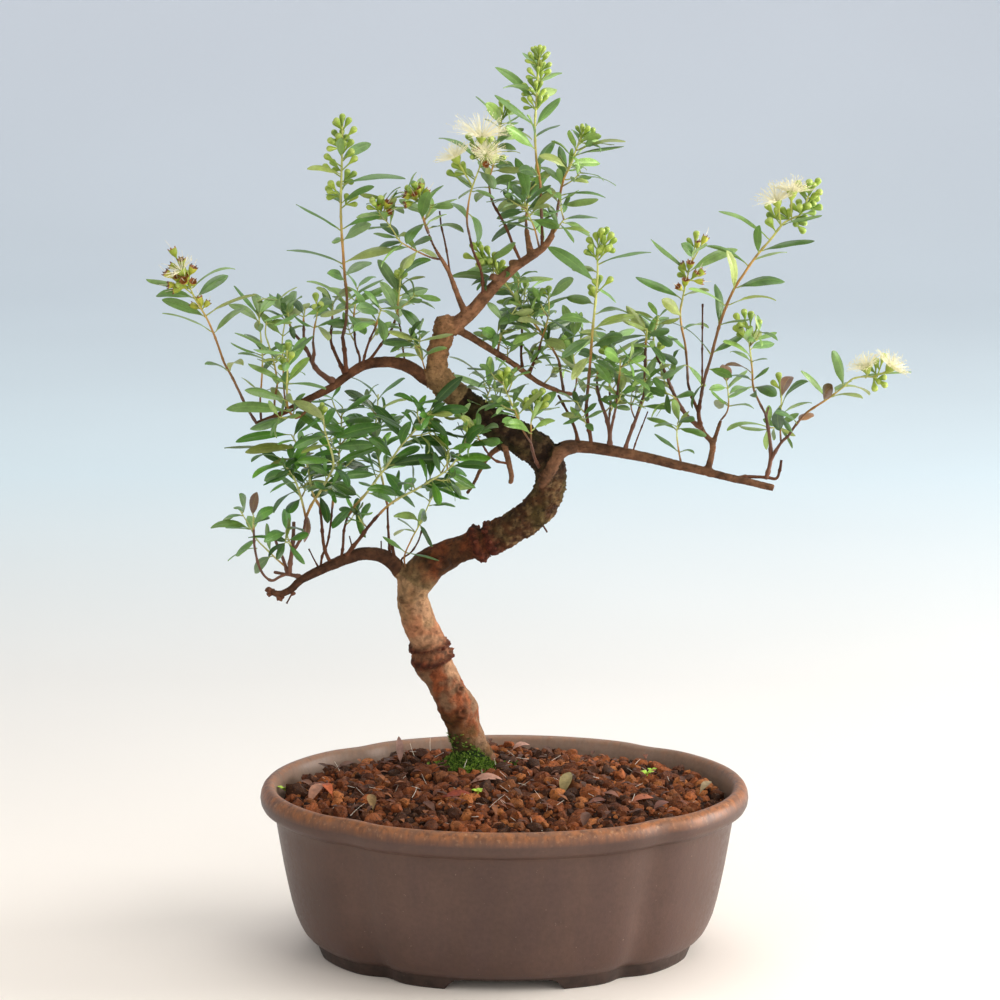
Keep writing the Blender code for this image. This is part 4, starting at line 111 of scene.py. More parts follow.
# Limbs: name, parent, change of depth along it, radius at each end, readings
LIMBS = [
    ("low_left", "trunk", -15, 3.3, 1.5, [(-34, 137.5), (-37.5, 141.8), (-40.5, 145.5), (-44, 148),
     (-48, 149), (-52, 149), (-56, 147.8), (-60, 146.2), (-65, 144), (-70, 141.5), (-74.5, 139),
     (-78, 135.6), (-82, 134), (-85.2, 134.8)]),
    ("low_left_stub", "low_left", 3, 1.3, 0.8, [(-73.5, 140), (-77, 141), (-80, 141.4), (-84, 142.2)]),
    ("low_end_twig", "low_left_stub", -4, 0.9, 0.7, [(-79, 141.6), (-82, 140.4), (-85, 139), (-88, 141.4),
     (-89.9, 146), (-91, 152), (-91.2, 158)]),
    ("low_left_peg", "low_left", -3, 0.6, 0.5, [(-75.5, 138), (-77.6, 134), (-79.6, 130.4)]),
    ("low_left_post", "low_left_stub", -3, 1.3, 1, [(-78.4, 141.2), (-78, 146), (-77.2, 151), (-76.8, 156),
     (-76.6, 160.8)]),
    ("low_left_fork", "low_left_stub", 5, 1.1, 0.8, [(-79, 141.8), (-80.6, 147), (-82.6, 152),
     (-84.2, 156.4)]),
    ("low_left_arm", "low_left_post", -5, 1.1, 0.7, [(-77.4, 149.4), (-75, 153), (-73.2, 157.4),
     (-72.2, 162.4)]),
    ("low_post_b", "low_left", -6, 1.1, 0.8, [(-63, 145), (-65, 149.4), (-66, 154), (-66.4, 160),
     (-67, 166.4)]),
    ("low_post_c", "low_left", 7, 0.8, 0.6, [(-67, 143.8), (-66.4, 148), (-64.4, 153), (-63.2, 160),
     (-62.6, 166)]),
    ("low_spike", "low_left", 6, 0.5, 0.4, [(-67.5, 143.4), (-69.4, 147), (-71.2, 150.8)]),
    ("low_post_d", "low_left", -10, 1.2, 0.9, [(-58.5, 147), (-55.5, 151.2), (-52.6, 154.8),
     (-49.4, 159.2), (-46, 163.2)]),
    ("low_post_e", "low_left", -4, 0.9, 0.7, [(-59.6, 146.6), (-58.8, 152), (-58.4, 157.6), (-57, 163)]),
    ("low_spike_b", "low_left", 4, 0.5, 0.4, [(-54.8, 148), (-55.6, 152), (-56.4, 155.6)]),
    ("low_spike_c", "low_left", 3, 0.5, 0.4, [(-44.8, 148.4), (-44.9, 153.8)]),
    ("low_post_f", "low_left", 6, 1, 0.6, [(-41.4, 146.6), (-41.9, 152), (-42.3, 159), (-42.5, 167)]),
    ("low_knob", "low_left", -3, 1.2, 0.9, [(-39.8, 145), (-40.4, 149), (-40.8, 152.6)]),
    ("crotch_twig", "trunk", -6, 0.6, 0.5, [(-33.5, 141.5), (-36.6, 144.6), (-37.4, 147), (-34, 149.6),
     (-31.4, 153.6), (-30, 158)]),
    ("mid_left", "trunk", -12, 2.7, 1.3, [(-24, 212.5), (-28.4, 213.8), (-32, 216.6), (-36, 218.7),
     (-41, 219.8), (-46, 219.6), (-50.5, 218.6), (-54.5, 216.4), (-58, 213.8), (-62, 210.8), (-67, 208),
     (-72.5, 205.4), (-78.5, 202), (-84, 199.4), (-89.6, 197.2)]),
    ("mid_left_fork", "mid_left", 9, 1.6, 0.8, [(-60.8, 212), (-64.6, 214.4), (-67.4, 216.8), (-69.4, 220),
     (-70.8, 223.4), (-73.4, 227.4), (-76.4, 231)]),
    ("fork_twig_a", "mid_left_fork", -3, 0.9, 0.8, [(-72, 225.4), (-72.2, 229), (-72.2, 233)]),
    ("fork_twig_b", "mid_left_fork", -7, 1.1, 0.8, [(-69.2, 219.4), (-68.6, 223), (-68.9, 227)]),
    ("mid_post_a", "mid_left", 7, 1.2, 0.7, [(-57.4, 214.6), (-59, 218.6), (-61, 223), (-62.5, 227.6),
     (-62, 234)]),
    ("mid_post_b", "mid_left", -1, 1.3, 1, [(-57, 215), (-57.4, 221), (-57.8, 225.4), (-58.3, 229)]),
    ("mid_post_c", "mid_left", 9, 0.8, 0.6, [(-52.4, 217.6), (-52.2, 221.6), (-53.6, 226), (-54, 231)]),
    ("mid_post_d", "mid_left", -6, 0.8, 0.6, [(-51.4, 218), (-50.2, 222.6), (-48.6, 227.6), (-46.6, 232)]),
    ("mid_post_e", "mid_left", 2, 1, 0.7, [(-50, 218.6), (-46.4, 223.4), (-43.4, 227.6), (-40.6, 231.6)]),
    ("mid_post_f", "mid_left", 9, 0.6, 0.5, [(-35.6, 218.4), (-36.5, 224), (-37, 229.6), (-38, 234.4)]),
    ("right", "trunk", -7, 2.7, 1.6, [(14.6, 176), (16.6, 181.4), (18.6, 186), (22, 188.6), (27, 188.8),
     (33, 188.2), (40, 187), (47, 185.6), (54, 184.2), (61, 182.3), (68, 180.8), (75, 179), (82, 177.2),
     (90, 175.4), (97.8, 173.4)]),
    ("right_twin", "right", 5, 1.1, 0.8, [(83, 177.2), (89, 177.6), (95, 177.4), (98.6, 177), (99.8, 180),
     (100.4, 183.8)]),
    ("right_post_a", "right", 9, 1.1, 0.7, [(26.6, 189.4), (25.8, 194.4), (23.6, 199.8), (21.4, 204),
     (19.4, 207.6)]),
    ("right_post_b", "right", -3, 1.1, 1, [(31.6, 188.6), (30.8, 194), (29.8, 199.6), (29.6, 204.4)]),
    ("right_post_c", "right", 4, 1.3, 0.9, [(38, 188), (38.1, 193.6), (37, 199), (34.8, 205), (33.4, 211)]),
    ("right_post_d", "right_post_c", -7, 0.9, 0.7, [(38.2, 193), (39.4, 199), (40.6, 205.4), (41, 211.4)]),
    ("right_post_e", "right_post_c", 8, 0.7, 0.6, [(37.6, 196.6), (38.2, 203), (38, 209)]),
    ("right_post_f", "right", 3, 1.1, 0.8, [(43.4, 186.8), (45, 192), (47.2, 198), (49.2, 204),
     (50.6, 209), (50.6, 217), (50.8, 224)]),
    ("right_spike", "right", -7, 0.5, 0.4, [(46.4, 186.4), (47.8, 191), (50, 196.8), (51.8, 201.6)]),
    ("right_main", "right", 3, 1.7, 1.3, [(73.6, 179.4), (74.8, 184.6), (75.4, 189.6), (72.6, 193.2),
     (70.6, 197)]),
    ("right_main_arm", "right_main", 4, 1.3, 0.8, [(71.4, 195.4), (66.4, 199.6), (62.8, 205),
     (60.2, 210.4), (58, 216), (55, 221.4)]),
    ("right_main_stem", "right_main", -6, 1.2, 1, [(70.9, 196), (70.2, 201), (70.8, 206)]),
    ("right_main_mid", "right_main_stem", 8, 1, 0.8, [(70.2, 201.4), (67.6, 207.4), (66.2, 212)]),
    ("right_bare", "right_main_stem", 4, 0.6, 0.5, [(70.6, 204.6), (71.3, 213), (71.2, 227), (71.2, 241)]),
    ("right_main_stub", "right_main", 4, 1.4, 1.1, [(75.2, 188.4), (76.8, 193.6), (78.2, 198.4)]),
    ("right_end_post", "right_twin", -5, 1.2, 0.9, [(95, 177.4), (96.2, 182), (96.5, 187), (96, 192),
     (95.2, 196.6), (94.4, 200.6)]),
    ("right_end_horn", "right_end_post", 3, 0.7, 0.6, [(94.6, 199.6), (95.4, 203.2)]),
    ("right_end_arm", "right_end_post", -5, 1.1, 0.8, [(96.4, 183.4), (98.4, 187.4), (100.4, 190.4),
     (102.8, 192.8)]),
    ("behind", "trunk", 18, 1.9, 1.2, [(-20, 232.4), (-15.4, 230.8), (-10, 227.6), (-4.6, 224.2),
     (0.4, 221), (5, 217.8), (8.6, 215), (12.6, 212.2), (17, 210.2), (21, 208.6), (25, 208)]),
    ("behind_post_a", "behind", 5, 0.9, 0.7, [(6.6, 216.6), (6, 222.6), (6.4, 229)]),
    ("behind_post_b", "behind", -3, 1.1, 0.8, [(8.8, 215.4), (10.6, 219.6), (12.2, 223.2)]),
    ("hanging", "trunk", -8, 1.8, 1.3, [(-7.4, 200.6), (-4, 197.4), (-1.4, 192.8), (0.4, 187.6),
     (1.6, 182.4), (2.6, 178), (2.1, 175)]),
    ("hanging_twig", "hanging", -7, 0.8, 0.6, [(1, 182.6), (-3.2, 183.6), (-6.2, 186.6), (-8, 189.6)]),
    ("hidden", "trunk", 15, 1.6, 1, [(1, 190), (-5, 186), (-8.6, 180.4), (-11, 175.4), (-13.6, 171.4)]),
    ("front_peg", "trunk", -18, 1.1, 0.8, [(14.4, 178), (11.2, 184), (9.6, 190)]),
    ("trunk_thorn", "trunk", -2, 0.7, 0.5, [(12, 163), (15.6, 157)]),
    ("leader", "trunk", 3, 3.1, 1.5, [(-22, 231), (-17.4, 233.6), (-12, 238), (-7, 243.6), (-2, 249),
     (4, 254.4), (10, 258.4), (14.6, 262), (17.2, 266)]),
    ("leader_stump", "leader", -4, 1.8, 1.6, [(-1.6, 249.4), (-4.6, 251)]),
    ("leader_stump_b", "leader", 3, 1.9, 1.7, [(5.4, 255.4), (2.2, 255.6)]),
    ("leader_fork", "leader", 6, 1.8, 1.3, [(9.6, 258.2), (8.6, 263), (7.8, 268)]),
    ("leader_twig", "leader", -4, 1, 0.7, [(6, 256), (3.2, 262), (1, 267.6), (-1.2, 272), (-4, 276.8)]),
    ("leader_post", "leader", -1, 1, 0.8, [(13.4, 261), (13.5, 266), (13.3, 271)]),
    ("leader_right", "leader", 3, 1.4, 0.9, [(16.8, 265.4), (17.8, 269.4), (18.8, 274)]),
    ("upper_left", "leader", -12, 1.7, 0.9, [(-13.6, 236.6), (-16.4, 243), (-18.6, 249), (-20.4, 253.4),
     (-23, 257.8), (-25.4, 262), (-27.2, 266.4)]),
    ("upper_left_spike", "upper_left", 6, 0.6, 0.5, [(-19.6, 251.4), (-20.2, 257), (-21.4, 263.6),
     (-22.6, 269), (-23.2, 274.4)]),
    ("bloom_post", "leader", -9, 1, 0.7, [(-8, 242.6), (-7.8, 248), (-8.6, 253.6), (-11.2, 260),
     (-12.4, 265)]),
]

# Stems of the leafy shoots: name, parent, change of depth, radius, readings
SHOOTS = [
    ("left_tip", "mid_left", -7, 0.9, [(-89.6, 197.2), (-93, 203), (-96, 209.5), (-98.4, 214.6),
     (-101, 219.5), (-103, 225.4), (-105, 231), (-107.4, 236.4), (-110.6, 241.8), (-113, 247)]),
    ("left_inner", "mid_left", 4, 0.7, [(-88, 198), (-88.2, 206), (-87.6, 213), (-87.2, 221), (-87.8, 230),
     (-88.3, 236.5)]),
    ("left_inner_b", "mid_left", -4, 0.7, [(-83, 199.6), (-83, 206), (-82, 212), (-83, 219),
     (-84.7, 225.5), (-86, 230), (-85.6, 235)]),
    ("left_inner_c", "mid_left", 9, 0.6, [(-79, 202.4), (-79.6, 210), (-79.8, 218), (-80, 227),
     (-79.2, 233), (-78.3, 237.5)]),
    ("bright_left", "mid_left", -17, 0.9, [(-69.6, 207), (-71.6, 202), (-75.4, 199.4), (-78.2, 203),
     (-78.5, 210), (-78.2, 217), (-78.3, 224)]),
    ("dark_left", "low_post_b", -9, 0.8, [(-67, 166.4), (-69.8, 172), (-71, 179), (-72.4, 185.4),
     (-75, 189.4), (-77, 193)]),
    ("low_outer", "low_left_arm", -6, 0.8, [(-72.2, 162.4), (-73.4, 168), (-75, 173.6), (-76.8, 178.2),
     (-79.4, 181.6), (-81, 184)]),
    ("low_inner", "low_left_arm", -15, 0.9, [(-72.2, 162.4), (-70, 167.4), (-67, 172), (-64.4, 176.5),
     (-62.2, 180.8), (-62.2, 185), (-63.6, 190), (-65, 195), (-65.6, 200.4)]),
    ("low_centre", "low_post_e", -20, 0.9, [(-57, 163), (-54.2, 167), (-51.4, 170), (-48.6, 173.5),
     (-46, 177.2), (-43, 181), (-40.4, 184.8), (-37, 189.6), (-33, 194), (-30, 197.6), (-27.4, 201.2)]),
    ("low_right", "low_post_d", -12, 0.8, [(-46, 163.2), (-42.4, 166.8), (-38, 169.8), (-32, 173),
     (-27, 176), (-22.6, 178.8), (-19, 181.8), (-16.4, 186), (-14, 189.6)]),
    ("low_front", "trunk", -18, 0.6, [(-32.6, 140.6), (-35.6, 143), (-36.4, 148), (-34, 154), (-31, 159.6),
     (-29.2, 163.4), (-27.2, 168), (-24.8, 172.6)]),
    ("low_back", "low_post_f", 14, 0.8, [(-42.5, 167), (-44, 175), (-45.6, 184), (-47, 193), (-46, 201),
     (-45.6, 208)]),
    ("low_back_left", "low_post_c", 12, 0.8, [(-62.6, 166), (-61.6, 173), (-60.4, 181), (-59.6, 189),
     (-59, 197), (-58.6, 203)]),
    ("low_end", "low_end_twig", -3, 0.7, [(-91.2, 158), (-91.3, 160.6), (-91.2, 163.4)]),
    ("low_pale", "low_left_fork", 4, 0.6, [(-79.2, 143.6), (-83.6, 147.6), (-87, 151), (-90, 154.2),
     (-92, 158), (-94, 161.6), (-96, 165)]),
    ("low_short", "low_left_post", -6, 0.6, [(-77.4, 151.6), (-78.6, 154.4), (-79.6, 157.6)]),
    ("mid_fork_top", "mid_left_fork", -5, 0.7, [(-76.4, 231), (-77.4, 234.4), (-77.8, 238)]),
    ("mid_fork_mid", "fork_twig_a", 3, 0.7, [(-72.2, 233), (-72.2, 236), (-71.6, 239.4)]),
    ("mid_fork_right", "fork_twig_b", -6, 0.6, [(-68.9, 227), (-68.4, 232), (-67.2, 238), (-67.7, 242)]),
    ("spire_left", "mid_post_b", -6, 1, [(-58.3, 229), (-57, 234.6), (-56.6, 243), (-57.3, 251),
     (-57.8, 259), (-58.3, 267), (-58.5, 275), (-58.3, 283), (-58, 291), (-57.8, 299), (-57.7, 305)]),
    ("mid_back", "mid_post_c", 7, 0.7, [(-54, 231), (-54.2, 236), (-53.4, 242), (-52.6, 247)]),
    ("mid_back_b", "mid_post_a", 8, 0.7, [(-62, 234), (-61.8, 238), (-61.6, 242)]),
    ("mid_low", "mid_post_d", -7, 0.7, [(-46.6, 232), (-45.4, 235.6), (-44.4, 239)]),
    ("brown_shoot", "mid_post_e", -3, 0.8, [(-40.6, 231.6), (-38.9, 236.4), (-38.2, 241), (-37.7, 246),
     (-37.3, 250.6)]),
    ("arch_twig", "mid_left", -8, 0.5, [(-27.6, 213.4), (-29.4, 219.6), (-30.6, 225), (-30.2, 229)]),
    ("arch_back", "mid_post_f", 8, 0.6, [(-38, 234.4), (-38.4, 239), (-38, 244)]),
    ("upper_left_top", "upper_left", -4, 0.9, [(-27.2, 266.4), (-28.8, 271), (-29.6, 275.4), (-30.6, 279.6)]),
    ("upper_left_low", "upper_left", -7, 0.6, [(-22.6, 257), (-26, 257.6), (-30.2, 259.4), (-34, 261.4),
     (-37.6, 263.8), (-40.2, 268), (-43.2, 272), (-45.4, 274.6)]),
    ("bloom_shoot", "bloom_post", -3, 0.7, [(-12.4, 265), (-13.4, 270.4), (-13, 276), (-12, 281.5),
     (-10, 287), (-8.4, 291.6), (-8, 295.4)]),
    ("spire_top", "leader_post", -3, 0.9, [(13.3, 271), (13, 278), (12.7, 285), (11.6, 291), (11, 298),
     (10.8, 305), (11.2, 312), (11.7, 320), (12.2, 327), (12.3, 330.6)]),
    ("mid_top", "leader_twig", -6, 0.7, [(-4, 276.8), (-5.2, 281), (-5.4, 286), (-4, 291), (-2.8, 297),
     (-1.8, 303), (-0.8, 308)]),
    ("leader_mid", "leader", -8, 0.6, [(12.6, 260.6), (10.8, 268), (8.8, 273), (7.2, 277.4)]),
    ("leader_dark", "leader_fork", 5, 0.8, [(7.8, 268), (7.8, 273), (8.4, 279), (8.8, 284)]),
    ("leader_yellow", "leader_right", 1, 0.9, [(18.8, 274), (19.6, 279), (21, 285.5), (23.4, 290.6),
     (25.4, 296), (27.4, 301.4)]),
    ("leader_pair", "leader", -5, 0.6, [(17.2, 266), (19.4, 269), (21.2, 271.4)]),
    ("behind_side", "behind_post_b", 1, 0.7, [(12.2, 223.2), (13.4, 228), (15, 233), (16, 238.4),
     (15.8, 244)]),
    ("slant_shoot", "behind", -14, 0.9, [(21.4, 208.6), (20.4, 215), (19.5, 220.4), (17, 225),
     (13.4, 230.2), (9.5, 235.5), (5.5, 241.2), (1.5, 246.6), (-2.5, 251.7), (-5.5, 255.6)]),
    ("behind_mid", "behind", -8, 0.7, [(-2.6, 222.8), (-1.8, 227), (-0.8, 231), (0.4, 235)]),
    ("behind_top", "behind_post_a", 6, 0.7, [(6.4, 229), (6.2, 234), (6.8, 240), (7.4, 246)]),
    ("behind_end", "behind", 8, 0.6, [(25, 208), (26, 213), (25.2, 219), (24.6, 225), (25, 231)]),
    ("front_a", "front_peg", -7, 0.6, [(9.6, 190), (6.6, 195), (4.4, 200.6), (2, 206), (0.2, 210),
     (-0.6, 213)]),
    ("front_b", "front_peg", 5, 0.6, [(9.6, 190), (9.6, 195), (9.8, 199), (11.2, 203.6)]),
    ("front_star", "hanging", -5, 0.7, [(-5.2, 198.4), (-7.2, 202), (-6.4, 206.6), (-4.9, 210.6)]),
    ("hanging_shoot", "hanging_twig", -4, 0.6, [(-8, 189.6), (-9.4, 192), (-10, 195)]),
    ("spire_right", "right_post_b", -5, 1, [(29.6, 204.4), (30.2, 211), (30.7, 217), (31.2, 224),
     (31.7, 231), (32.3, 238), (33, 245), (33.4, 252), (33.3, 258), (33.6, 262)]),
    ("right_low", "right_post_e", 5, 0.7, [(38, 209), (37.8, 215), (37.6, 221), (38.4, 226)]),
    ("right_low_b", "right_post_d", -5, 0.7, [(41, 211.4), (41.6, 216), (41.8, 220.6)]),
    ("right_low_c", "right_post_c", -3, 0.7, [(33.4, 211), (33.6, 216), (34.4, 221)]),
    ("right_dark", "right_post_f", -5, 0.8, [(50.8, 224), (51, 228), (51.2, 232)]),
    ("right_green", "right_post_f", 9, 0.5, [(47.4, 198.4), (45.8, 203), (46, 208), (46.4, 212)]),
    ("right_arm", "right_main_arm", -4, 0.7, [(55, 221.4), (54, 226), (53.4, 230.6)]),
    ("right_arm_low", "right_main_arm", -8, 0.6, [(63.4, 204), (61.4, 206.8), (58.4, 208.6)]),
    ("right_green_b", "right", -4, 0.6, [(64.2, 181.6), (63, 188), (62.4, 193.4), (62.8, 198)]),
    ("right_mid", "right_main_mid", 5, 0.8, [(66.2, 212), (65.8, 219), (65.1, 226), (63.8, 232),
     (63.2, 238), (64, 243), (65.2, 249), (66.5, 254.5), (67.8, 259)]),
    ("right_tall", "right_main_stem", -7, 1, [(70.8, 206), (72.3, 214), (74.2, 220.6), (75.7, 226.8),
     (77.3, 233), (79.5, 239.6), (82.5, 246.5), (86, 252), (89, 256.5), (92.5, 261), (95.5, 264.5),
     (99.6, 269.8), (103, 271.8), (105.6, 273), (107.4, 276.6), (108.6, 280)]),
    ("right_dim", "right_main_stub", -1, 0.6, [(78.2, 198.4), (80.4, 201.4), (81, 205), (80.6, 210),
     (79.8, 214)]),
    ("right_bud", "right_end_post", -4, 0.8, [(94.4, 200.6), (91.6, 206), (89.8, 210.6), (89.3, 217),
     (88.6, 223), (87.9, 228)]),
    ("right_pair", "right_end_post", 9, 0.5, [(95.8, 193.4), (95.2, 197)]),
    ("right_inner_end", "right_end_arm", 5, 0.7, [(100.2, 190.2), (99.8, 195), (99.9, 202), (100.1, 207.4)]),
    ("right_end", "right_end_arm", -3, 0.8, [(102.8, 192.8), (105.6, 197), (108.8, 200.8), (112, 203.2),
     (115.5, 205.5), (119, 208), (122.5, 210.8), (126, 213.8), (130.6, 214.4), (134.4, 214.2)]),
]

# Limbs that are solids of their own in the CAD, each with the twigs that grow from it
SPRAYS = {
    "low_left_stub": ("low_left_post", "low_left_fork", "low_left_arm", "low_end_twig"),
    "mid_left_fork": ("fork_twig_a", "fork_twig_b"),
    "right_post_c": ("right_post_d", "right_post_e"),
    "right_end_post": ("right_end_horn", "right_end_arm"),
    "right_post_f": (),
    "right_main_arm": (),
    "front_peg": (),
}

# Blooms: name, centre x, z, length of the stamens, lean in x and y
BLOOMS = [
    ("bloom_top", -8.4, 300.6, 9.6, 0.05, -0.2),
    ("bloom_top_left", -17.2, 293.2, 5.4, -0.5, -0.1),
    ("bloom_top_low", -6.6, 294.6, 5.4, 0.4, -0.9),
    ("bloom_left", -115.6, 252.6, 7.6, -0.7, -0.2),
    ("bloom_right_a", 97.4, 277.6, 7.0, -0.3, -0.2),
    ("bloom_right_b", 102.6, 280.6, 6.0, 0.1, 0.2),
    ("bloom_end_a", 130.6, 217.6, 5.0, -0.4, -0.2),
    ("bloom_end_b", 139, 217.6, 5.4, 0.7, -0.2),
]


def shade(red, green, blue):
    """Linear colour from one that is read on a screen, 0 to 255."""
    levels = [level / 255 for level in (red, green, blue)]
    return np.array([c / 12.92 if c < 0.0404 else ((c + 0.055) / 1.055) ** 2.4 for c in levels])


TWIG_DARK = shade(84, 54, 42)
TWIG_BROWN = shade(112, 72, 52)
TWIG_ORANGE = shade(180, 130, 62)
TWIG_GREEN = shade(190, 194, 110)
TWIG_PALE = shade(196, 200, 128)
BARK_PALE = shade(194, 148, 112)
BARK_RED = shade(174, 90, 50)
BARK_OLIVE = shade(158, 130, 90)
BARK_BROWN = shade(88, 56, 32)
BARK_DARK = shade(50, 32, 18)
LEAF_TINTS = {
    "leaf_green": (shade(104, 146, 56), shade(84, 124, 48), shade(128, 164, 70), shade(74, 110, 48),
                   shade(112, 144, 84)),
    "leaf_dark": (shade(74, 126, 38), shade(88, 146, 44), shade(106, 164, 54), shade(60, 106, 34),
                  shade(90, 136, 62)),
    "leaf_fresh": (shade(104, 140, 66), shade(90, 126, 60), shade(120, 154, 72), shade(84, 118, 60),
                   shade(128, 164, 62)),
}
BRIGHTEST_LEAF = 0.4
BROWN = (shade(122, 84, 44), shade(104, 70, 38), shade(138, 96, 54))
BUD_GREENS = (shade(136, 162, 56), shade(156, 178, 68), shade(118, 147, 52))
CUP_GREENS = (shade(160, 174, 50), shade(176, 180, 60), shade(140, 158, 46))
CUP_RIMS = (shade(122, 78, 44), shade(100, 62, 42), shade(158, 106, 58))
CLAYS = (shade(126, 66, 30), shade(144, 78, 36), shade(108, 56, 25), shade(92, 47, 22), shade(162, 96, 47),
         shade(120, 68, 32), shade(76, 40, 18), shade(134, 70, 31), shade(64, 35, 16))
OLD_LEAVES = (shade(112, 60, 32), shade(90, 50, 27), shade(138, 82, 44), shade(78, 45, 25))
MOSS_GREENS = (shade(128, 158, 62), shade(98, 132, 44), shade(154, 182, 82), shade(58, 84, 26))


def clamp(value, low=0.0, high=1.0):
    return max(low, min(high, value))


def in_space(x, z, y):
    """Carry a reading on the upright middle plane along the line of sight to depth y."""
    reach = (y - EYE.y) / -EYE.y
    return Vector((EYE.x + (x - EYE.x) * reach, y, EYE.z + (z - EYE.z) * reach))


def flat(point):
    """Reading (x, z) on the upright middle plane of a point in space."""
    reach = -EYE.y / (point[1] - EYE.y)
    return EYE.x + (point[0] - EYE.x) * reach, EYE.z + (point[2] - EYE.z) * reach


def unit(v):
    return v / max(np.linalg.norm(v), 1e-9)


def spoke(way, hint, turn):
    """Direction square to a way, turned round it from the side that the hint gives."""
    across = unit(np.cross(way, hint))
    return across * math.cos(turn) + np.cross(way, across) * math.sin(turn)


def curve(rows, step):
    """Rows about a step apart on a smooth curve through the given ones; columns past the third ride along."""
    rows = np.array(rows, float)
    padded = np.vstack([2 * rows[0] - rows[1], rows, 2 * rows[-1] - rows[-2]])
    out = []
    for i in range(1, len(padded) - 2):
        a, b, c, d = padded[i - 1:i + 3]
        count = max(1, math.ceil(np.linalg.norm((c - b)[:3]) / step))
        for t in np.arange(count) / count:
            bow = (2 * a - 5 * b + 4 * c - d) * t * t + (3 * b - a - 3 * c + d) * t ** 3
            out.append(0.5 * (2 * b + (c - a) * t + bow))
    out.append(rows[-1])
    return np.array(out)


def run_of(line):
    """Distance along a line at each of its rows."""
    return np.append(0, np.cumsum(np.linalg.norm(np.diff(line[:, :3], axis=0), axis=1)))


def rough(point, size, octaves=2):
    """Smooth noise from about -1 to 1 whose features are about a size across, in millimetres."""
    return noise.fractal(Vector(point) / size, 1.0, 2.0, octaves, noise_basis="PERLIN_ORIGINAL")


def bands(rings, sides, inward=False):
    """Faces between equal rings of points that follow one another."""
    faces = []
    for i in range(rings - 1):
        for k in range(sides):
            a = i * sides + k
            b = i * sides + (k + 1) % sides
            faces.append((a, a + sides, b + sides, b) if inward else (a, b, b + sides, a + sides))
    return faces


def capped(rings, sides, inward=False):
    """Faces of a body of equal rings that ends in one face each side."""
    start = range(sides)
    end = range((rings - 1) * sides, rings * sides)
    if inward:
        end = reversed(end)
    else:
        start = reversed(start)
    return [tuple(start), *bands(rings, sides, inward), tuple(end)]


def closed(rings, start, end):
    """Points and faces of a body of equal rings with a middle point at each end."""
    sides = len(rings[0])
    verts = np.vstack(rings + [start, end])
    last = len(verts) - 1
    faces = bands(len(rings), sides)
    for k in range(sides):
        n = (k + 1) % sides
        faces += [(last - 1, n, k), (last, last - 1 - sides + k, last - 1 - sides + n)]
    return verts, faces


def sweep(path, radii, sides):
    """Closed tube round a path; radii holds one radius a ring, or one for each side of each ring."""
    path = np.asarray(path, float)
    ways = np.gradient(path, axis=0)
    turns = np.arange(sides) * 2 * math.pi / sides
    across = np.cross(ways[0], (0.31, 0.9, 0.22))
    rings = []
    for point, way, radius in zip(path, ways, radii):
        way = unit(way)
        across = unit(across - way * across.dot(way))
        over = np.cross(way, across)
        spokes = np.outer(np.cos(turns), across) + np.outer(np.sin(turns), over)
        rings.append(point + spokes * np.reshape(radius, (-1, 1)))
    return closed(rings, path[0], path[-1])


def lathe(base, way, profile, sides):
    """Body turned round a line: profile holds (distance along the line, radius)."""
    base = np.array(base, float)
    way = np.array(way, float)
    turns = np.arange(sides) * 2 * math.pi / sides
    across = unit(np.cross(way, (0.31, 0.9, 0.22)))
    spokes = np.outer(np.cos(turns), across) + np.outer(np.sin(turns), np.cross(way, across))
    rings = [base + way * at + spokes * radius for at, radius in profile]
    return closed(rings, base + way * profile[0][0], base + way * profile[-1][0])


class Piece:
    """Points, faces and point colours gathered for one object, in millimetres."""

    def __init__(self):
        self.verts = []
        self.faces = []
        self.finish = []
        self.tint = []
        self.place = []
        self.count = 0

    def add(self, verts, faces, finish, tint, place=(0, 0, 0)):
        self.verts.append(np.asarray(verts, float))
        self.faces += [tuple(i + self.count for i in face) for face in faces]
        self.finish += [finish] * len(faces)
        self.tint.append(np.broadcast_to(tint, (len(verts), 3)))
        self.place.append(np.broadcast_to(place, (len(verts), 3)))
        self.count += len(verts)

    def tube(self, path, radii, sides, finish, tint):
        self.add(*sweep(path, radii, sides), finish, tint)

    def build(self, name, finishes, nodes=(), angle=50):
        """Object of all that was added, whose edges past an angle in degrees stay sharp."""
        mesh = bpy.data.meshes.new(name)
        mesh.from_pydata(((np.vstack(self.verts) - (CENTRE_X, 0, 0)) * MM).tolist(), [], self.faces)
        for finish in finishes:
            mesh.materials.append(finish)
        mesh.polygons.foreach_set("material_index", self.finish)
        paint(mesh, np.vstack(self.tint), np.vstack(self.place))
        mesh.shade_smooth()
        mesh.set_sharp_from_angle(angle=math.radians(angle))
        return stand(name, mesh, nodes)


def paint(mesh, tint, place):
    """Give a mesh its point colours and the places that the materials read."""
    colours = mesh.color_attributes.new("tint", "FLOAT_COLOR", "POINT")
    rgba = np.hstack([tint, np.ones((len(tint), 1))])
    colours.data.foreach_set("color", rgba.ravel())
    places = mesh.attributes.new("place", "FLOAT_VECTOR", "POINT")
    places.data.foreach_set("vector", np.ascontiguousarray(place, float).ravel())


def linked(name, data):
    """New object in the scene."""
    thing = bpy.data.objects.new(name, data)
    bpy.context.scene.collection.objects.link(thing)
    return thing


def stand(name, mesh, nodes=()):
    """Put a mesh into the scene as a piece that rides on the frame."""
    thing = linked(name, mesh)
    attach(thing, "root")
    if nodes:
        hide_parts(*nodes)
    return thing


def loose(verts, faces):
    """Unfinished object to run modifiers on."""
    mesh = bpy.data.meshes.new("work")
    mesh.from_pydata(np.asarray(verts).tolist(), [], faces)
    return linked("work", mesh)


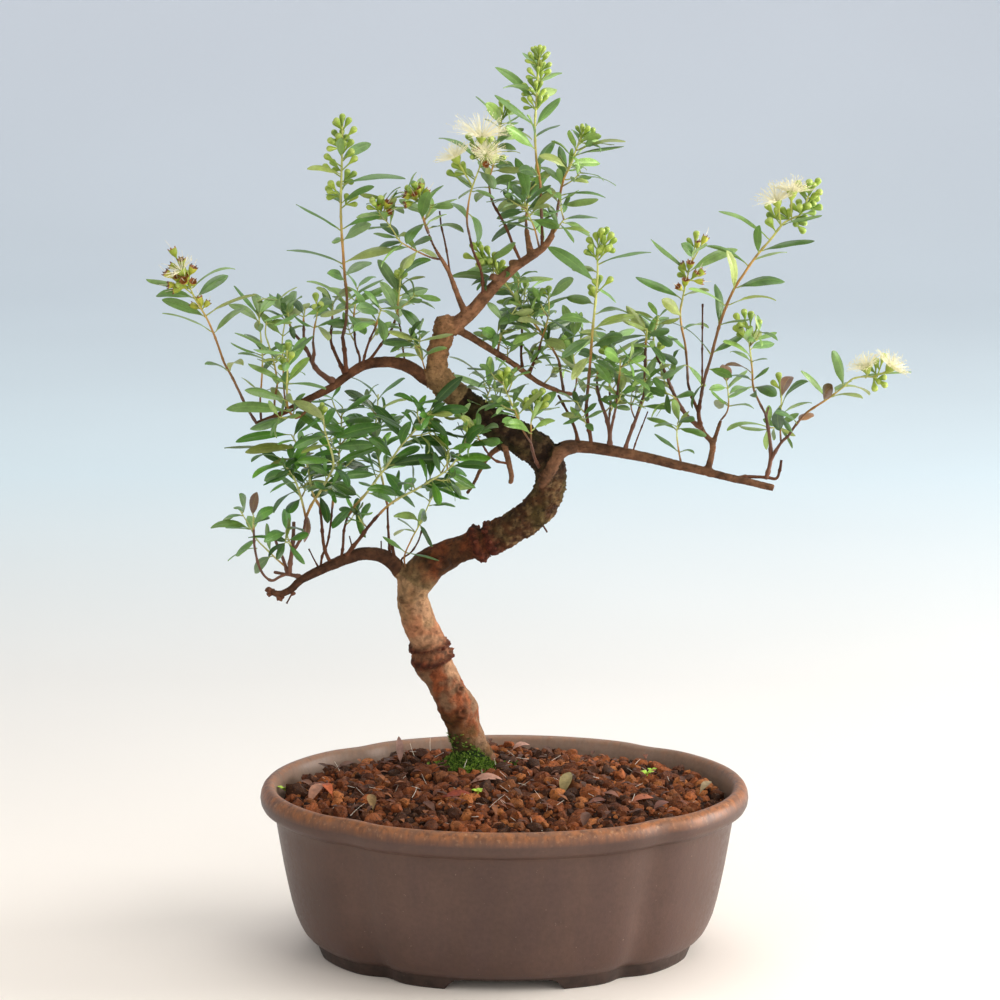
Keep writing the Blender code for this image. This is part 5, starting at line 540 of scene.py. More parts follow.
def applied(thing):
    """The evaluated mesh of an object, which is then removed."""
    graph = bpy.context.evaluated_depsgraph_get()
    mesh = bpy.data.meshes.new_from_object(thing.evaluated_get(graph))
    bpy.data.objects.remove(thing)
    return mesh


# Materials

# Side veins of a blade: how many, and how far they slant; crumbs of the bed in a metre
SIDE_VEINS = 16.0
VEIN_SLANT = 0.09
CRUMBS = 330.0


class Paint:
    """Node material with a few short ways to add detail."""

    def __init__(self, name, roughness, specular=0.5):
        self.material = bpy.data.materials.new(name)
        self.material.use_nodes = True
        self.tree = self.material.node_tree
        self.shader = self.tree.nodes["Principled BSDF"]
        self.shader.inputs["Roughness"].default_value = roughness
        self.shader.inputs["Specular IOR Level"].default_value = specular
        self.where = self.node("ShaderNodeTexCoord").outputs["Object"]

    def node(self, kind, **inputs):
        made = self.tree.nodes.new(kind)
        for key, value in inputs.items():
            self.give(made, key, value)
        return made

    def give(self, made, key, value):
        """Link a socket to an input, or set it to a value; a key such as _6 counts the inputs."""
        socket = made.inputs[int(key[1:])] if key[0] == "_" else made.inputs[key.replace("_", " ")]
        if hasattr(value, "links"):
            self.tree.links.new(value, socket)
        else:
            socket.default_value = value

    def attribute(self, name, part):
        read = self.node("ShaderNodeAttribute")
        read.attribute_name = name
        return read.outputs[part]

    def tint(self):
        return self.attribute("tint", "Color")

    def places(self):
        """The three numbers that each point holds for the material."""
        return self.node("ShaderNodeSeparateXYZ", Vector=self.attribute("place", "Vector")).outputs

    def grain(self, size, detail=3.0, stretch=None, rough=0.55):
        """Noise from 0 to 1 with features about a size across, in millimetres."""
        where = self.where
        if stretch:
            where = self.node("ShaderNodeMapping", Vector=where, Scale=stretch).outputs[0]
        scale = 1 / MM / size
        made = self.node("ShaderNodeTexNoise", Vector=where, Scale=scale, Detail=detail, Roughness=rough)
        return made.outputs["Fac"]

    def ramp(self, value, low, high, start=0.0, end=1.0):
        return self.node("ShaderNodeMapRange", Value=value, From_Min=low, From_Max=high, To_Min=start,
                         To_Max=end).outputs[0]

    def between(self, grain, start, end):
        """A number from start to end over the range in which most of a grain lies."""
        return self.ramp(grain, 0.3, 0.7, start, end)

    def maths(self, kind, a, b=0.0):
        made = self.node("ShaderNodeMath", _0=a, _1=b)
        made.operation = kind
        return made.outputs[0]

    def mix(self, share, a, b):
        made = self.node("ShaderNodeMix")
        made.data_type = "RGBA"
        self.give(made, "_0", share)
        for key, colour in (("_6", a), ("_7", b)):
            self.give(made, key, colour if hasattr(colour, "links") else (*colour, 1.0))
        return made.outputs[2]

    def scaled(self, colour, share):
        """A colour times a number that varies over the surface."""
        made = self.node("ShaderNodeVectorMath", _0=colour)
        made.operation = "SCALE"
        self.give(made, "Scale", share)
        return made.outputs[0]

    def mottled(self, colour, grain, dark, light):
        """A colour that a grain makes darker and lighter."""
        return self.scaled(colour, self.between(grain, dark, light))

    def bump(self, *heights):
        """Bump from (height, depth in millimetres) pairs, one over another."""
        normal = None
        for height, depth in heights:
            made = self.node("ShaderNodeBump", Height=height, Distance=depth * MM, Strength=1.0)
            if normal:
                self.give(made, "Normal", normal)
            normal = made.outputs["Normal"]
        self.give(self.shader, "Normal", normal)

    def coat(self, weight, roughness):
        self.give(self.shader, "Coat_Weight", weight)
        self.give(self.shader, "Coat_Roughness", roughness)

    def done(self, colour, roughness=None):
        self.give(self.shader, "Base_Color", colour)
        if roughness is not None:
            self.give(self.shader, "Roughness", roughness)
        return self.material


def leaf_paint():
    """Blade with a paler midrib, side veins, edge, stalk and underside."""
    made = Paint("leaf_blade", 0.36, 0.4)
    along, across, under = made.places()
    off = made.maths("ABSOLUTE", across)
    colour = made.mottled(made.tint(), made.grain(5.0, 3), 0.78, 1.2)
    colour = made.mottled(colour, made.grain(1.1, 2), 0.9, 1.1)
    light = made.mix(0.4, made.scaled(colour, 1.8), shade(150, 168, 80))
    vein = made.maths("SUBTRACT", along, made.maths("MULTIPLY", off, VEIN_SLANT))
    vein = made.maths("FRACT", made.maths("MULTIPLY", vein, SIDE_VEINS))
    vein = made.maths("ABSOLUTE", made.maths("SUBTRACT", vein, 0.5))
    vein = made.ramp(vein, 0.0, 0.12, 0.12, 0.0)
    colour = made.mix(vein, colour, light)
    colour = made.mix(made.ramp(off, 0.02, 0.1, 0.5, 0.0), colour, light)
    colour = made.mix(made.ramp(off, 0.9, 1.0, 0.0, 0.2), colour, light)
    pale = made.mix(0.25, made.scaled(colour, 1.25), shade(140, 160, 112))
    colour = made.mix(under, colour, pale)
    colour = made.mix(made.ramp(along, 0.08, 0.16, 0.75, 0.0), colour, shade(164, 170, 84))
    made.coat(0.1, 0.2)
    made.bump((vein, 0.06), (made.grain(0.8, 2), 0.05))
    return made.done(colour, made.between(made.grain(2.5, 2), 0.3, 0.48))


def stem_paint():
    made = Paint("stem_skin", 0.6)
    colour = made.mottled(made.tint(), made.grain(2.0, 3, (1, 1, 0.35)), 0.72, 1.25)
    colour = made.mix(made.ramp(made.grain(0.6, 2), 0.6, 0.72, 0.0, 0.5), colour, shade(95, 65, 40))
    made.bump((made.grain(0.7, 3, (1, 1, 0.4)), 0.12))
    return made.done(colour, made.between(made.grain(1.5, 2), 0.5, 0.75))


def bark_paint():
    """Bark whose points say how deep they lie in the relief, which darkens the low parts as painted shade,
    and how old and rugged it is there.
    """
    made = Paint("bark_skin", 0.9, 0.25)
    relief, old = made.places()[:2]
    coarse = made.grain(3.2, 4, rough=0.65)
    fine = made.grain(0.9, 4, rough=0.7)
    rugged = made.mottled(made.mottled(made.tint(), coarse, 0.6, 1.35), fine, 0.66, 1.3)
    smooth = made.mottled(made.mottled(made.tint(), coarse, 0.8, 1.16), fine, 0.84, 1.14)
    colour = made.mix(old, smooth, rugged)
    scurf = made.ramp(made.grain(2.2, 4, rough=0.7), 0.58, 0.72, 0.0, 0.5)
    colour = made.mix(scurf, colour, made.scaled(colour, 1.7))
    pits = made.ramp(made.grain(1.3, 3, (1, 1, 1.8)), 0.34, 0.42, 0.8, 0.0)
    deep = made.maths("MULTIPLY", pits, made.ramp(old, 0.0, 1.0, 0.45, 1.0))
    colour = made.mix(deep, colour, made.scaled(colour, 0.35))
    # Painted shade: the bark is darker where its relief lies low.
    colour = made.scaled(colour, made.ramp(relief, -0.5, 0.25, 0.55, 1.1))
    made.bump((coarse, 0.5), (fine, 0.3), (pits, -0.2))
    return made.done(colour, made.between(fine, 0.8, 0.98))


def bud_paint():
    made = Paint("bud_skin", 0.42)
    colour = made.mottled(made.tint(), made.grain(1.2, 3), 0.85, 1.15)
    colour = made.mix(made.ramp(made.grain(0.4, 1), 0.62, 0.7, 0.0, 0.3), colour, shade(110, 120, 40))
    made.bump((made.grain(0.5, 2), 0.05))
    return made.done(colour, made.between(made.grain(1.0, 2), 0.36, 0.5))


def stamen_paint():
    made = Paint("stamen_thread", 0.6)
    colour = made.mottled(made.tint(), made.grain(1.5, 2), 0.92, 1.06)
    made.bump((made.grain(0.3, 1), 0.02))
    return made.done(colour, made.between(made.grain(1.0, 2), 0.5, 0.7))


def clay_paint():
    made = Paint("clay_grain", 0.9, 0.3)
    colour = made.mottled(made.tint(), made.grain(1.8, 4, rough=0.7), 0.6, 1.35)
    colour = made.mix(made.ramp(made.grain(0.5, 2), 0.62, 0.7, 0.0, 0.4), colour, shade(196, 142, 96))
    # Random dark patches on the grains: partly their own mottling, partly painted shade that deepens the dark
    # between them.
    colour = made.mix(made.ramp(made.grain(0.8, 3), 0.32, 0.46, 0.85, 0.0), colour, shade(38, 22, 14))
    made.bump((made.grain(0.7, 4, rough=0.7), 0.35), (made.grain(2.4, 2), 0.3))
    return made.done(colour, made.between(made.grain(1.5, 2), 0.62, 0.95))


def bed_paint():
    """Crumbs that show between the loose grains, dark as painted shade in the gaps and darkest at each
    crumb's edge.
    """
    made = Paint("clay_bed", 0.95, 0.2)
    cells = made.node("ShaderNodeTexVoronoi", Vector=made.where, Scale=CRUMBS).outputs["Distance"]
    # Painted shade: the crumbs darken towards their edges, and the whole bed is dark for the shade in the
    # gaps between grains.
    colour = made.mix(made.ramp(cells, 0.0, 0.7), shade(84, 50, 32), shade(36, 20, 13))
    colour = made.mottled(colour, made.grain(1.2, 4), 0.6, 1.3)
    made.bump((cells, -1.0), (made.grain(0.8, 3), 0.3))
    return made.done(colour, made.between(made.grain(2.0, 2), 0.85, 1.0))


def litter_paint():
    made = Paint("litter", 0.6)
    colour = made.mottled(made.tint(), made.grain(2.0, 4), 0.7, 1.25)
    colour = made.mix(made.ramp(made.grain(0.7, 2), 0.6, 0.7, 0.0, 0.4), colour, shade(80, 50, 35))
    made.bump((made.grain(0.8, 3), 0.1))
    return made.done(colour, made.between(made.grain(1.5, 2), 0.5, 0.75))


def moss_paint():
    made = Paint("moss_tuft", 0.9, 0.2)
    colour = made.mottled(made.tint(), made.grain(1.0, 3), 0.6, 1.35)
    made.bump((made.grain(0.4, 2), 0.15))
    return made.done(colour, made.between(made.grain(1.0, 2), 0.8, 0.95))


def glaze_paint():
    """Satin glaze whose points say how far they are on the lip, on the foot, where it is darkened with
    painted shade, and inside the pot, where it is made paler with painted light.
    """
    made = Paint("pot_glaze_satin", 0.42, 0.35)
    rim, foot, inside = made.places()
    cloud = made.grain(38.0, 4)
    streak = made.grain(9.0, 4, (1, 1, 0.14), 0.6)
    fine = made.grain(1.6, 4)

    def on_lip(grain, low, high, most):
        return made.maths("MULTIPLY", rim, made.ramp(grain, low, high, 0.0, most))

    colour = made.mix(made.ramp(cloud, 0.35, 0.65), shade(74, 53, 45), shade(88, 65, 56))
    colour = made.mix(made.ramp(streak, 0.4, 0.68, 0.0, 0.55), colour, shade(76, 55, 51))
    colour = made.mottled(colour, fine, 0.9, 1.1)
    # Painted light: the inner wall is far paler than the outer glaze, for the light that falls on it.
    wall = made.mix(made.ramp(cloud, 0.35, 0.65), shade(124, 103, 88), shade(148, 125, 109))
    colour = made.mix(inside, colour, made.mottled(wall, fine, 0.9, 1.1))
    colour = made.mix(made.maths("MULTIPLY", rim, 0.75), colour, shade(136, 92, 64))
    bare = on_lip(made.grain(3.2, 5, (1, 1, 0.3), 0.65), 0.4, 0.62, 0.8)
    colour = made.mix(bare, colour, shade(170, 106, 60))
    flow = on_lip(made.grain(2.0, 4, (1, 1, 0.2), 0.6), 0.52, 0.66, 0.65)
    colour = made.mix(flow, colour, shade(82, 53, 41))
    colour = made.mix(on_lip(made.grain(1.5, 4), 0.58, 0.7, 0.5), colour, shade(190, 146, 108))
    # Painted shade: the foot is darkened towards the floor, patchy by a grain, for the shade that it stands
    # in under the body.
    foot_shade = made.maths("MULTIPLY", foot, made.ramp(made.grain(4.0, 4), 0.35, 0.65, 0.6, 1.0))
    colour = made.mix(foot_shade, colour, shade(40, 27, 21))
    colour = made.mix(made.ramp(made.grain(1.1, 1), 0.76, 0.8, 0.0, 0.35), colour, shade(150, 128, 108))
    made.coat(0.06, 0.25)
    made.bump((made.grain(0.7, 3), 0.05), (streak, 0.06), (made.grain(6.0, 2), 0.12))
    return made.done(colour, made.between(fine, 0.38, 0.52))


def net_paint():
    made = Paint("net_plastic", 0.5)
    colour = made.mix(made.grain(3.0, 3), shade(22, 22, 23), shade(38, 37, 36))
    made.bump((made.grain(0.6, 2), 0.05))
    return made.done(colour, made.between(made.grain(1.2, 2), 0.4, 0.65))


# The tree

# Stations of a blade as shares of its length and of its half width, and its columns across
BLADE = (((0.0, 0.1), (0.05, 0.1), (0.1, 0.14), (0.17, 0.32), (0.26, 0.58), (0.37, 0.83), (0.48, 0.96),
          (0.59, 1.0), (0.71, 0.96), (0.82, 0.82), (0.9, 0.61), (0.955, 0.38), (0.988, 0.17), (1.0, 0.05)),
         (-1.0, -0.62, -0.14, 0.0, 0.14, 0.62, 1.0))
SPARE_BLADE = (((0.0, 0.1), (0.08, 0.12), (0.18, 0.34), (0.32, 0.72), (0.48, 0.95), (0.64, 1.0), (0.8, 0.84),
                (0.91, 0.56), (0.975, 0.26), (1.0, 0.05)),
               (-1.0, -0.55, 0.0, 0.55, 1.0))

# Buds and spent cups: share of the head's length, radius
BUD_PROFILE = [(0.0, 0.28), (0.16, 0.36), (0.32, 0.6), (0.48, 0.9), (0.62, 1.14), (0.74, 1.26), (0.82, 1.24),
               (0.86, 1.14), (0.92, 0.98), (0.965, 0.7), (0.99, 0.38), (1.0, 0.12)]
CUP_PROFILE = [(0.0, 0.22), (0.3, 0.3), (0.44, 0.66), (0.58, 1.08), (0.76, 1.36), (0.93, 1.46), (1.0, 1.42),
               (0.98, 1.26), (0.84, 1.1), (0.74, 0.2)]
CLUB_SIDES = 10

# Steps along fine paths of stems and of bark, and the direction that turns round a stem are counted from
STEM_STEP = 0.9
BARK_STEP = 0.8
STEM_SIDE = (0.35, 0.9, 0.2)

# Share of a shoot at which its stem turns green, and where its spare leaves start
GREEN_FROM = {"spire_left": 0.46, "spire_top": 0.3, "spire_right": 0.36, "right_tall": 0.58,
              "slant_shoot": 0.44, "left_tip": 0.72, "right_end": 0.45, "right_mid": 0.45, "right_bud": 0.6,
              "mid_top": 0.4}
SPARE_START = 0.26

# Share of the spare leaves on shoots that have fewer; and shoots without, whose leaves were all read
SPARSE = {"left_inner": 0.5, "left_inner_b": 0.45, "left_inner_c": 0.45, "mid_fork_top": 0.34,
          "mid_fork_mid": 0.34, "mid_fork_right": 0.34, "mid_back": 0.34, "mid_back_b": 0.34, "mid_low": 0.4,
          "right_green_b": 0.4, "right_dim": 0.6, "right_arm_low": 0.5, "low_front": 0.3, "low_pale": 0.3,
          "low_short": 0.6, "right_bud": 0.5, "brown_shoot": 0.7, "right_green": 0.6}
READ_WHOLE = ("spire_left", "left_tip", "right_tall", "right_end", "spire_top", "spire_right", "right_mid",
              "right_inner_end", "low_end", "bloom_shoot")

# Side twigs on bare posts: shoot that they count to, post, shares of the post's length
SPRIGS = (
    ("spire_right", "right_post_b", (0.35, 0.75)), ("right_low", "right_post_e", (0.3, 0.8)),
    ("right_low_b", "right_post_d", (0.35, 0.7)), ("right_low_c", "right_post_c", (0.55, 0.9)),
    ("right_dark", "right_post_f", (0.4, 0.6, 0.8)), ("right_arm", "right_main_arm", (0.4, 0.7)),
    ("behind_end", "behind", (0.55, 0.75)), ("behind_mid", "behind", (0.25, 0.4)),
    ("mid_low", "mid_post_d", (0.6,)), ("mid_back", "mid_post_c", (0.7,)),
    ("low_right", "low_post_d", (0.7,)), ("low_centre", "low_post_e", (0.8,)),
)

# Buds: size by shoot, and the shoots most of whose buds are spent
BUD_SIZE = {"spire_top": 0.7, "leader_yellow": 0.72, "right_tall": 1.0, "mid_top": 0.8}
SPENT = ("left_tip", "upper_left_top", "upper_left_low", "right_mid")

# Heights past which a shoot's leaves are yellowish, and readings of the brown leaves' tips
YELLOW_TIPS = {"spire_left": 288, "spire_top": 308, "spire_right": 256, "right_tall": 274, "mid_top": 296,
               "bloom_shoot": 288, "right_mid": 258, "right_bud": 224, "slant_shoot": 250, "right_end": 204,
               "upper_left_top": 276, "low_pale": 140, "brown_shoot": 262, "leader_dark": 286,
               "leader_yellow": 282, "right_inner_end": 204, "right_pair": 190}
BROWN_TIPS = ((-40.5, 252.5), (-90.0, 171.4), (-71.6, 152.6), (78.6, 219.6), (103.8, 215.8), (112.0, 201.8),
              (117.4, 210.6))


def nearest_on(row, x, z):
    """Stretch of a row of (x, z, depth) readings, and the share along it, that lies nearest to x, z."""
    best = (1e9, 0, 0.0)
    spot = Vector((x, z))
    for i in range(len(row) - 1):
        start = Vector(row[i][:2])
        run = Vector(row[i + 1][:2]) - start
        share = clamp((spot - start).dot(run) / run.length_squared)
        best = min(best, ((start + run * share - spot).length, i, share))
    return best[1:]


def branch_off(parent, change, readings):
    """Give each (x, z) reading its depth: the parent's where it starts, changing evenly along it."""
    i, share = nearest_on(parent, *readings[0])
    start = parent[i][2] + (parent[i + 1][2] - parent[i][2]) * share
    total = [0.0]
    for a, b in zip(readings, readings[1:]):
        total.append(total[-1] + math.dist(a, b))
    return [(*p, start + change * t / total[-1]) for p, t in zip(readings, total)]


def limb_rows():
    """Each limb's readings with their depths, by name."""
    rows = {"trunk": [p[:3] for p in TRUNK]}
    for name, parent, change, _, _, readings in LIMBS:
        rows[name] = branch_off(rows[parent], change, readings)
    return rows


def node_points(node):
    """Points of a CAD node in millimetres, and which point is joined to which, its doubled corners merged."""
    mesh = node.data
    known = {}
    points = []
    index = []
    for v in mesh.vertices:
        key = tuple(round(c / 1e-6) for c in v.co)
        if key not in known:
            known[key] = len(points)
            points.append(np.array(v.co) / MM + (CENTRE_X, 0, 0))
        index.append(known[key])
    near = [set() for _ in points]
    for edge in mesh.edges:
        a, b = (index[i] for i in edge.vertices)
        if a != b:
            near[a].add(b)
            near[b].add(a)
    return np.array(points), near


def found_tips(points, near):
    """Blades as (foot, middle ring, outer ring, tip), and buds as (foot, tip), of a CAD node."""
    blades = []
    buds = []
    for tip, around in enumerate(near):
        ring = sorted(around)
        if len(ring) != 3 or any(b not in near[a] for a in ring for b in ring if a != b):
            continue
        below = sorted(set().union(*(near[i] for i in ring)) - around - {tip})
        if len(below) != 3:
            continue
        if abs(np.linalg.norm(points[tip] - points[ring].mean(0)) - BUD_POINT) < 0.12:
            buds.append((points[below].mean(0), points[tip]))
            continue
        foot = sorted(set().union(*(near[i] for i in below)) - around - set(below))
        if len(foot) >= 3:
            blades.append((points[foot].mean(0), points[below], points[ring], points[tip]))
    return blades, buds


def section(ring):
    """Middle and upward direction of a blade's ring of three points in the CAD."""
    _, i, j = max((np.linalg.norm(ring[i] - ring[j]), i, j) for i, j in ((0, 1), (1, 2), (0, 2)))
    centre = (ring[i] + ring[j]) / 2
    return centre, unit(ring[3 - i - j] - centre)


def blade_mesh(piece, foot, root, middle, tip, ups, wide, tint, dice, form=BLADE):
    """Fine arching blade with a grooved midrib on the curve from foot by middle to tip."""
    stations, columns = form
    fold = dice.uniform(-0.6, 0.25)
    wave = dice.uniform(0, 6.28)
    curl = dice.uniform(-2.2, 0.8)
    roll = dice.gauss(0, 0.42)
    low_up, high_up = ups
    verts = []
    places = []
    for share, half in stations:
        point = foot * (1 - share) ** 2 + middle * 2 * share * (1 - share) + tip * share ** 2
        ahead = unit((middle - foot) * (1 - share) + (tip - middle) * share)
        if share < 0.04:
            point = root
        up = low_up + (high_up - low_up) * clamp((share - 0.3) / 0.5)
        up = unit(up - ahead * up.dot(ahead))
        side = np.cross(up, ahead)
        turn = roll * min(1.0, share * 3)
        up, side = up * math.cos(turn) + side * math.sin(turn), side * math.cos(turn) - up * math.sin(turn)
        point = point + up * (curl * max(0.0, share - 0.5) ** 2 * 4 + 0.3)
        half *= wide
        thick = 0.16 if share > 0.12 else 0.3

        def lift(a):
            return fold * half * abs(a) ** 1.3 + 0.1 * math.sin(wave + share * 11 + a) * abs(a)

        for a in columns:
            upper = lift(a) + (0 if abs(a) == 1 else thick * 0.5) - (0.1 if a == 0 else 0.0)
            verts.append(point + side * half * a + up * upper)
            places.append((share, a, 0))
        for a in columns[-2:0:-1]:
            lower = lift(a) - thick * 0.5 - (0.16 if a == 0 else 0.0)
            verts.append(point + side * half * a + up * lower)
            places.append((share, a, 1))
    piece.add(verts, capped(len(stations), 2 * len(columns) - 2, inward=True), 0, tint, places)


def blade_tint(slot, shoot, tip, dice):
    """Colour of a blade: brown where the plant's is, yellowish on new growth, else its shoot's green."""
    x, z = flat(tip)
    if any(math.dist((x, z), spot) < 2.0 for spot in BROWN_TIPS):
        return dice.choice(BROWN) * dice.uniform(0.85, 1.15)
    levels = (0.4, 1.08) if slot == "leaf_dark" else (0.7, 1.45)
    tint = dice.choice(LEAF_TINTS[slot]) * dice.uniform(*levels)
    if shoot == "bright_left":
        tint = tint * 1.2
    if z > YELLOW_TIPS.get(shoot, 1e9):
        tint = tint * 0.4 + dice.choice(LEAF_TINTS["leaf_fresh"]) * 0.75
    if dice.random() < 0.07:
        tint = tint * 0.5 + shade(160, 160, 74) * 0.5
    if slot != "leaf_dark":
        tint = tint * 0.95 + tint.mean() * 0.13
    return np.minimum(tint, BRIGHTEST_LEAF)


def spare_pair(piece, line, at, total, quarter, reach, shoot, feet, dice):
    """Two leaves that stand opposite each other on a stem, each left out where a read leaf is near."""
    i = int(np.searchsorted(total, at))
    way = unit(line[min(i + 1, len(line) - 1), :3] - line[max(i - 1, 0), :3])
    i = min(i, len(line) - 1)
    for turn in (quarter, quarter + math.pi):
        out = spoke(way, STEM_SIDE, turn)
        root = line[i, :3]
        foot = root + out * line[i, 3]
        length = dice.uniform(*reach)
        ahead = unit(out + way * dice.uniform(0.35, 1.0))
        tip = foot + ahead * length + np.array((0, 0, -1)) * dice.uniform(0, 0.25) * length
        near = [f for f in feet if np.linalg.norm(f[0] - foot) < 2.2 and unit(f[1] - f[0]).dot(ahead) > 0.55]
        if near or dice.random() < 0.08:
            continue
        middle = (foot + tip) / 2 + way * length * dice.uniform(0.02, 0.16)
        up = unit(way - out * 0.3 + np.array((0, 0, 0.3)))
        wide = LEAF_WIDTH / 2 * (length / 15.0) ** 0.6 * dice.uniform(0.72, 1.05)
        tint = blade_tint(*shoot, tip, dice)
        blade_mesh(piece, foot, root, middle, tip, (up, up), wide, tint, dice, SPARE_BLADE)


def add_sprig(piece, start, way, out, length, turn, shoot, feet, dice):
    """Short side twig with three pairs of small leaves."""
    bow = unit(way + out * 0.9) * length
    side = curve([(*start, 0.3), (*(start + bow * 0.5 + out * 0.6), 0.26), (*(start + bow), 0.2)], STEM_STEP)
    add_twig(piece, side, 5, 1, (TWIG_BROWN, TWIG_GREEN, TWIG_PALE), length, 0.1)
    total = run_of(side)
    for share in (0.45, 0.75, 0.99):
        spare_pair(piece, side, total[-1] * share, total, turn + share * 3, (6.5, 10.5), shoot, feet, dice)


def add_spare_blades(piece, line, shoot, feet, dice):
    """Smaller leaf pairs, and short side twigs with a few of them, where a leafy stem has none in the CAD."""
    slot, name = shoot
    total = run_of(line)
    at = total[-1] * SPARE_START + dice.uniform(0, 2)
    quarter = dice.uniform(0, math.pi)
    reach = (10.5, 16.5) if slot == "leaf_dark" else (8.5, 13.5)
    share = SPARSE.get(name, 1.0)
    while at < total[-1] * 0.98:
        spare_pair(piece, line, at, total, quarter, reach, shoot, feet, dice)
        if dice.random() < 0.36 * share:
            i = int(np.searchsorted(total, at))
            way = unit(line[min(i + 1, len(line) - 1), :3] - line[i - 1, :3])
            turn = quarter + math.pi / 2 + dice.uniform(-0.5, 0.5)
            out = spoke(way, STEM_SIDE, turn)
            add_sprig(piece, line[i, :3], way, out, dice.uniform(5.0, 9.0), turn, shoot, feet, dice)
        quarter += math.pi / 2 + dice.uniform(-0.4, 0.4)
        at += dice.uniform(2.6, 4.0) / share


def add_sprigs(piece, post, shares, shoot, rows, feet):
    """Leafy side twigs on a bare post, at shares of its length."""
    row = rows[post]
    dice = random.Random(post + shoot[1])
    for share in shares:
        i = min(int(share * (len(row) - 1)), len(row) - 2)
        reading = np.array(row[i]) + (np.array(row[i + 1]) - row[i]) * dice.random()
        start = np.array(in_space(*reading))
        turn = dice.uniform(0, 2 * math.pi)
        out = np.array((math.cos(turn), math.sin(turn), 0.2))
        length = dice.uniform(5, 9)
        add_sprig(piece, start, np.array((0, 0, 1.0)), out, length, turn, shoot, feet, dice)


def club(piece, foot, tip, size, spent, dice):
    """One closed bud, or the cup that a spent bloom leaves."""
    run = tip - foot
    length = np.linalg.norm(run)
    head = min(length, 4.7)
    profile = CUP_PROFILE if spent else BUD_PROFILE
    rows = [(0.0, 0.24), (length - head, 0.26)] if length > head + 0.3 else []
    rows += [(length - head + share * head + 0.02, radius * size) for share, radius in profile]
    verts, faces = lathe(foot, run / length, rows, CLUB_SIDES)
    at = ((np.array(verts) - foot) @ run / length ** 2)[:, None]
    if spent:
        rim = dice.choice(CUP_RIMS)
        tints = dice.choice(CUP_GREENS) * (0.8 + 0.3 * np.clip(at, 0, 1))
        lip = len(verts) - 2 - 4 * CLUB_SIDES
        tints[lip:-2] = shade(182, 132, 62)
        tints[lip + CLUB_SIDES:-2] = tints[-1] = shade(150, 92, 40)
        way = unit(run + np.array([dice.uniform(-1, 1) for _ in range(3)]) * length * 0.2)
        thread = [tip - run * 0.2, tip + way * 1.8, tip + way * dice.uniform(3.0, 4.2)]
        piece.tube(thread, [0.1, 0.09, 0.07], 4, 2, shade(236, 230, 212))
        ahead = run / length
        for edge in verts[lip + 1:lip + CLUB_SIDES:2]:
            out = unit(edge - tip)
            tooth = [edge - out * 0.15 - ahead * 0.2, edge + ahead * 0.35, edge + out * 0.1 + ahead * 0.6]
            piece.tube(tooth, [0.24, 0.21, 0.1], 5, 2, rim * dice.uniform(0.7, 1.3))
    else:
        green = dice.choice(BUD_GREENS) * dice.uniform(0.9, 1.16)
        cap = np.clip((at - (1 - 0.19 * head / length)) * 30, 0, 1)
        tints = green * (0.8 + 0.3 * np.clip(at, 0, 1)) * (1 - cap) + shade(170, 190, 92) * cap
    piece.add(verts, faces, 2, tints)


def slim(radius):
    """Thin twigs are finer than their CAD solids, which need strength; thick limbs are as they are."""
    return radius * clamp(0.6 + 0.26 * (radius - 0.8), 0.6)


def stem_tones(slot, name):
    """Colours of a stem from its woody foot to its green tip."""
    start, end = (TWIG_BROWN, TWIG_PALE) if slot == "leaf_dark" else (TWIG_DARK, TWIG_GREEN)
    turn = GREEN_FROM.get(name, 0.08 if slot == "leaf_dark" else 0.4)
    tones = []
    for k in range(11):
        share = k / 10
        woody = min(1.0, share / turn) ** 1.6
        green = clamp((share - turn) / 0.22)
        tone = start * (1 - woody) + TWIG_ORANGE * woody
        tones.append(tone * (1 - green) + end * green)
    return tones


def nearest_line(lines, foot):
    """The stem that a blade or bud grows on, by name, and the point of its middle line there."""
    best = (1e9, "", None)
    for line, name in lines:
        away = np.linalg.norm(line[:, :3] - foot, axis=1)
        i = int(away.argmin())
        if away[i] < best[0]:
            best = (away[i], name, line[i, :3])
    return best[1:]


def add_blade(piece, foot, root, low_ring, high_ring, tip, tint, level, dice):
    """Blade in the place of a CAD blade, whose rings tell its curve; level turns its face to the sky."""
    low, low_up = section(low_ring)
    _, high_up = section(high_ring)
    middle = (low - RING_FOOT * foot - RING_TIP * tip) / RING_MIDDLE
    wide = LEAF_WIDTH / 2 * clamp(np.linalg.norm(tip - foot) / 16.0, 0.66, 1.15) * dice.uniform(0.86, 1.1)
    sky = np.array((0, 0, level))
    ups = (unit(low_up + sky), unit(high_up + sky))
    blade_mesh(piece, foot, root, middle, tip, ups, wide, tint, dice)


def add_bud(piece, foot, root, tip, spent, name, dice):
    """Bud with the sisters that share its stalk."""
    run = tip - foot
    length = np.linalg.norm(run)
    way = run / length
    size = BUD_SIZE.get(name, 0.92)
    club(piece, foot, tip, dice.uniform(0.98, 1.12) * size, spent, dice)
    if np.linalg.norm(root - foot) > 0.15:
        piece.tube([root, (root + foot) / 2, foot + way * 0.3], [0.26, 0.25, 0.26], 6, 2, shade(168, 176, 84))
    first = dice.uniform(-0.9, 0.9)
    many = (2, 3, 4) if spent and name != "right_mid" else (0, 1, 1, 2)
    for k in range(dice.choice(many)):
        out = spoke(way, (0.2, 0.9, 0.35), first + math.pi * k * (0.66 if spent else 1.0))
        stalk = foot + way * max(0.0, length - 5.2) * 0.7
        end = stalk + unit(way + out * dice.uniform(0.75, 1.1)) * dice.uniform(4.0, 5.0)
        club(piece, stalk, end, dice.uniform(0.8, 1.0) * size, spent, dice)


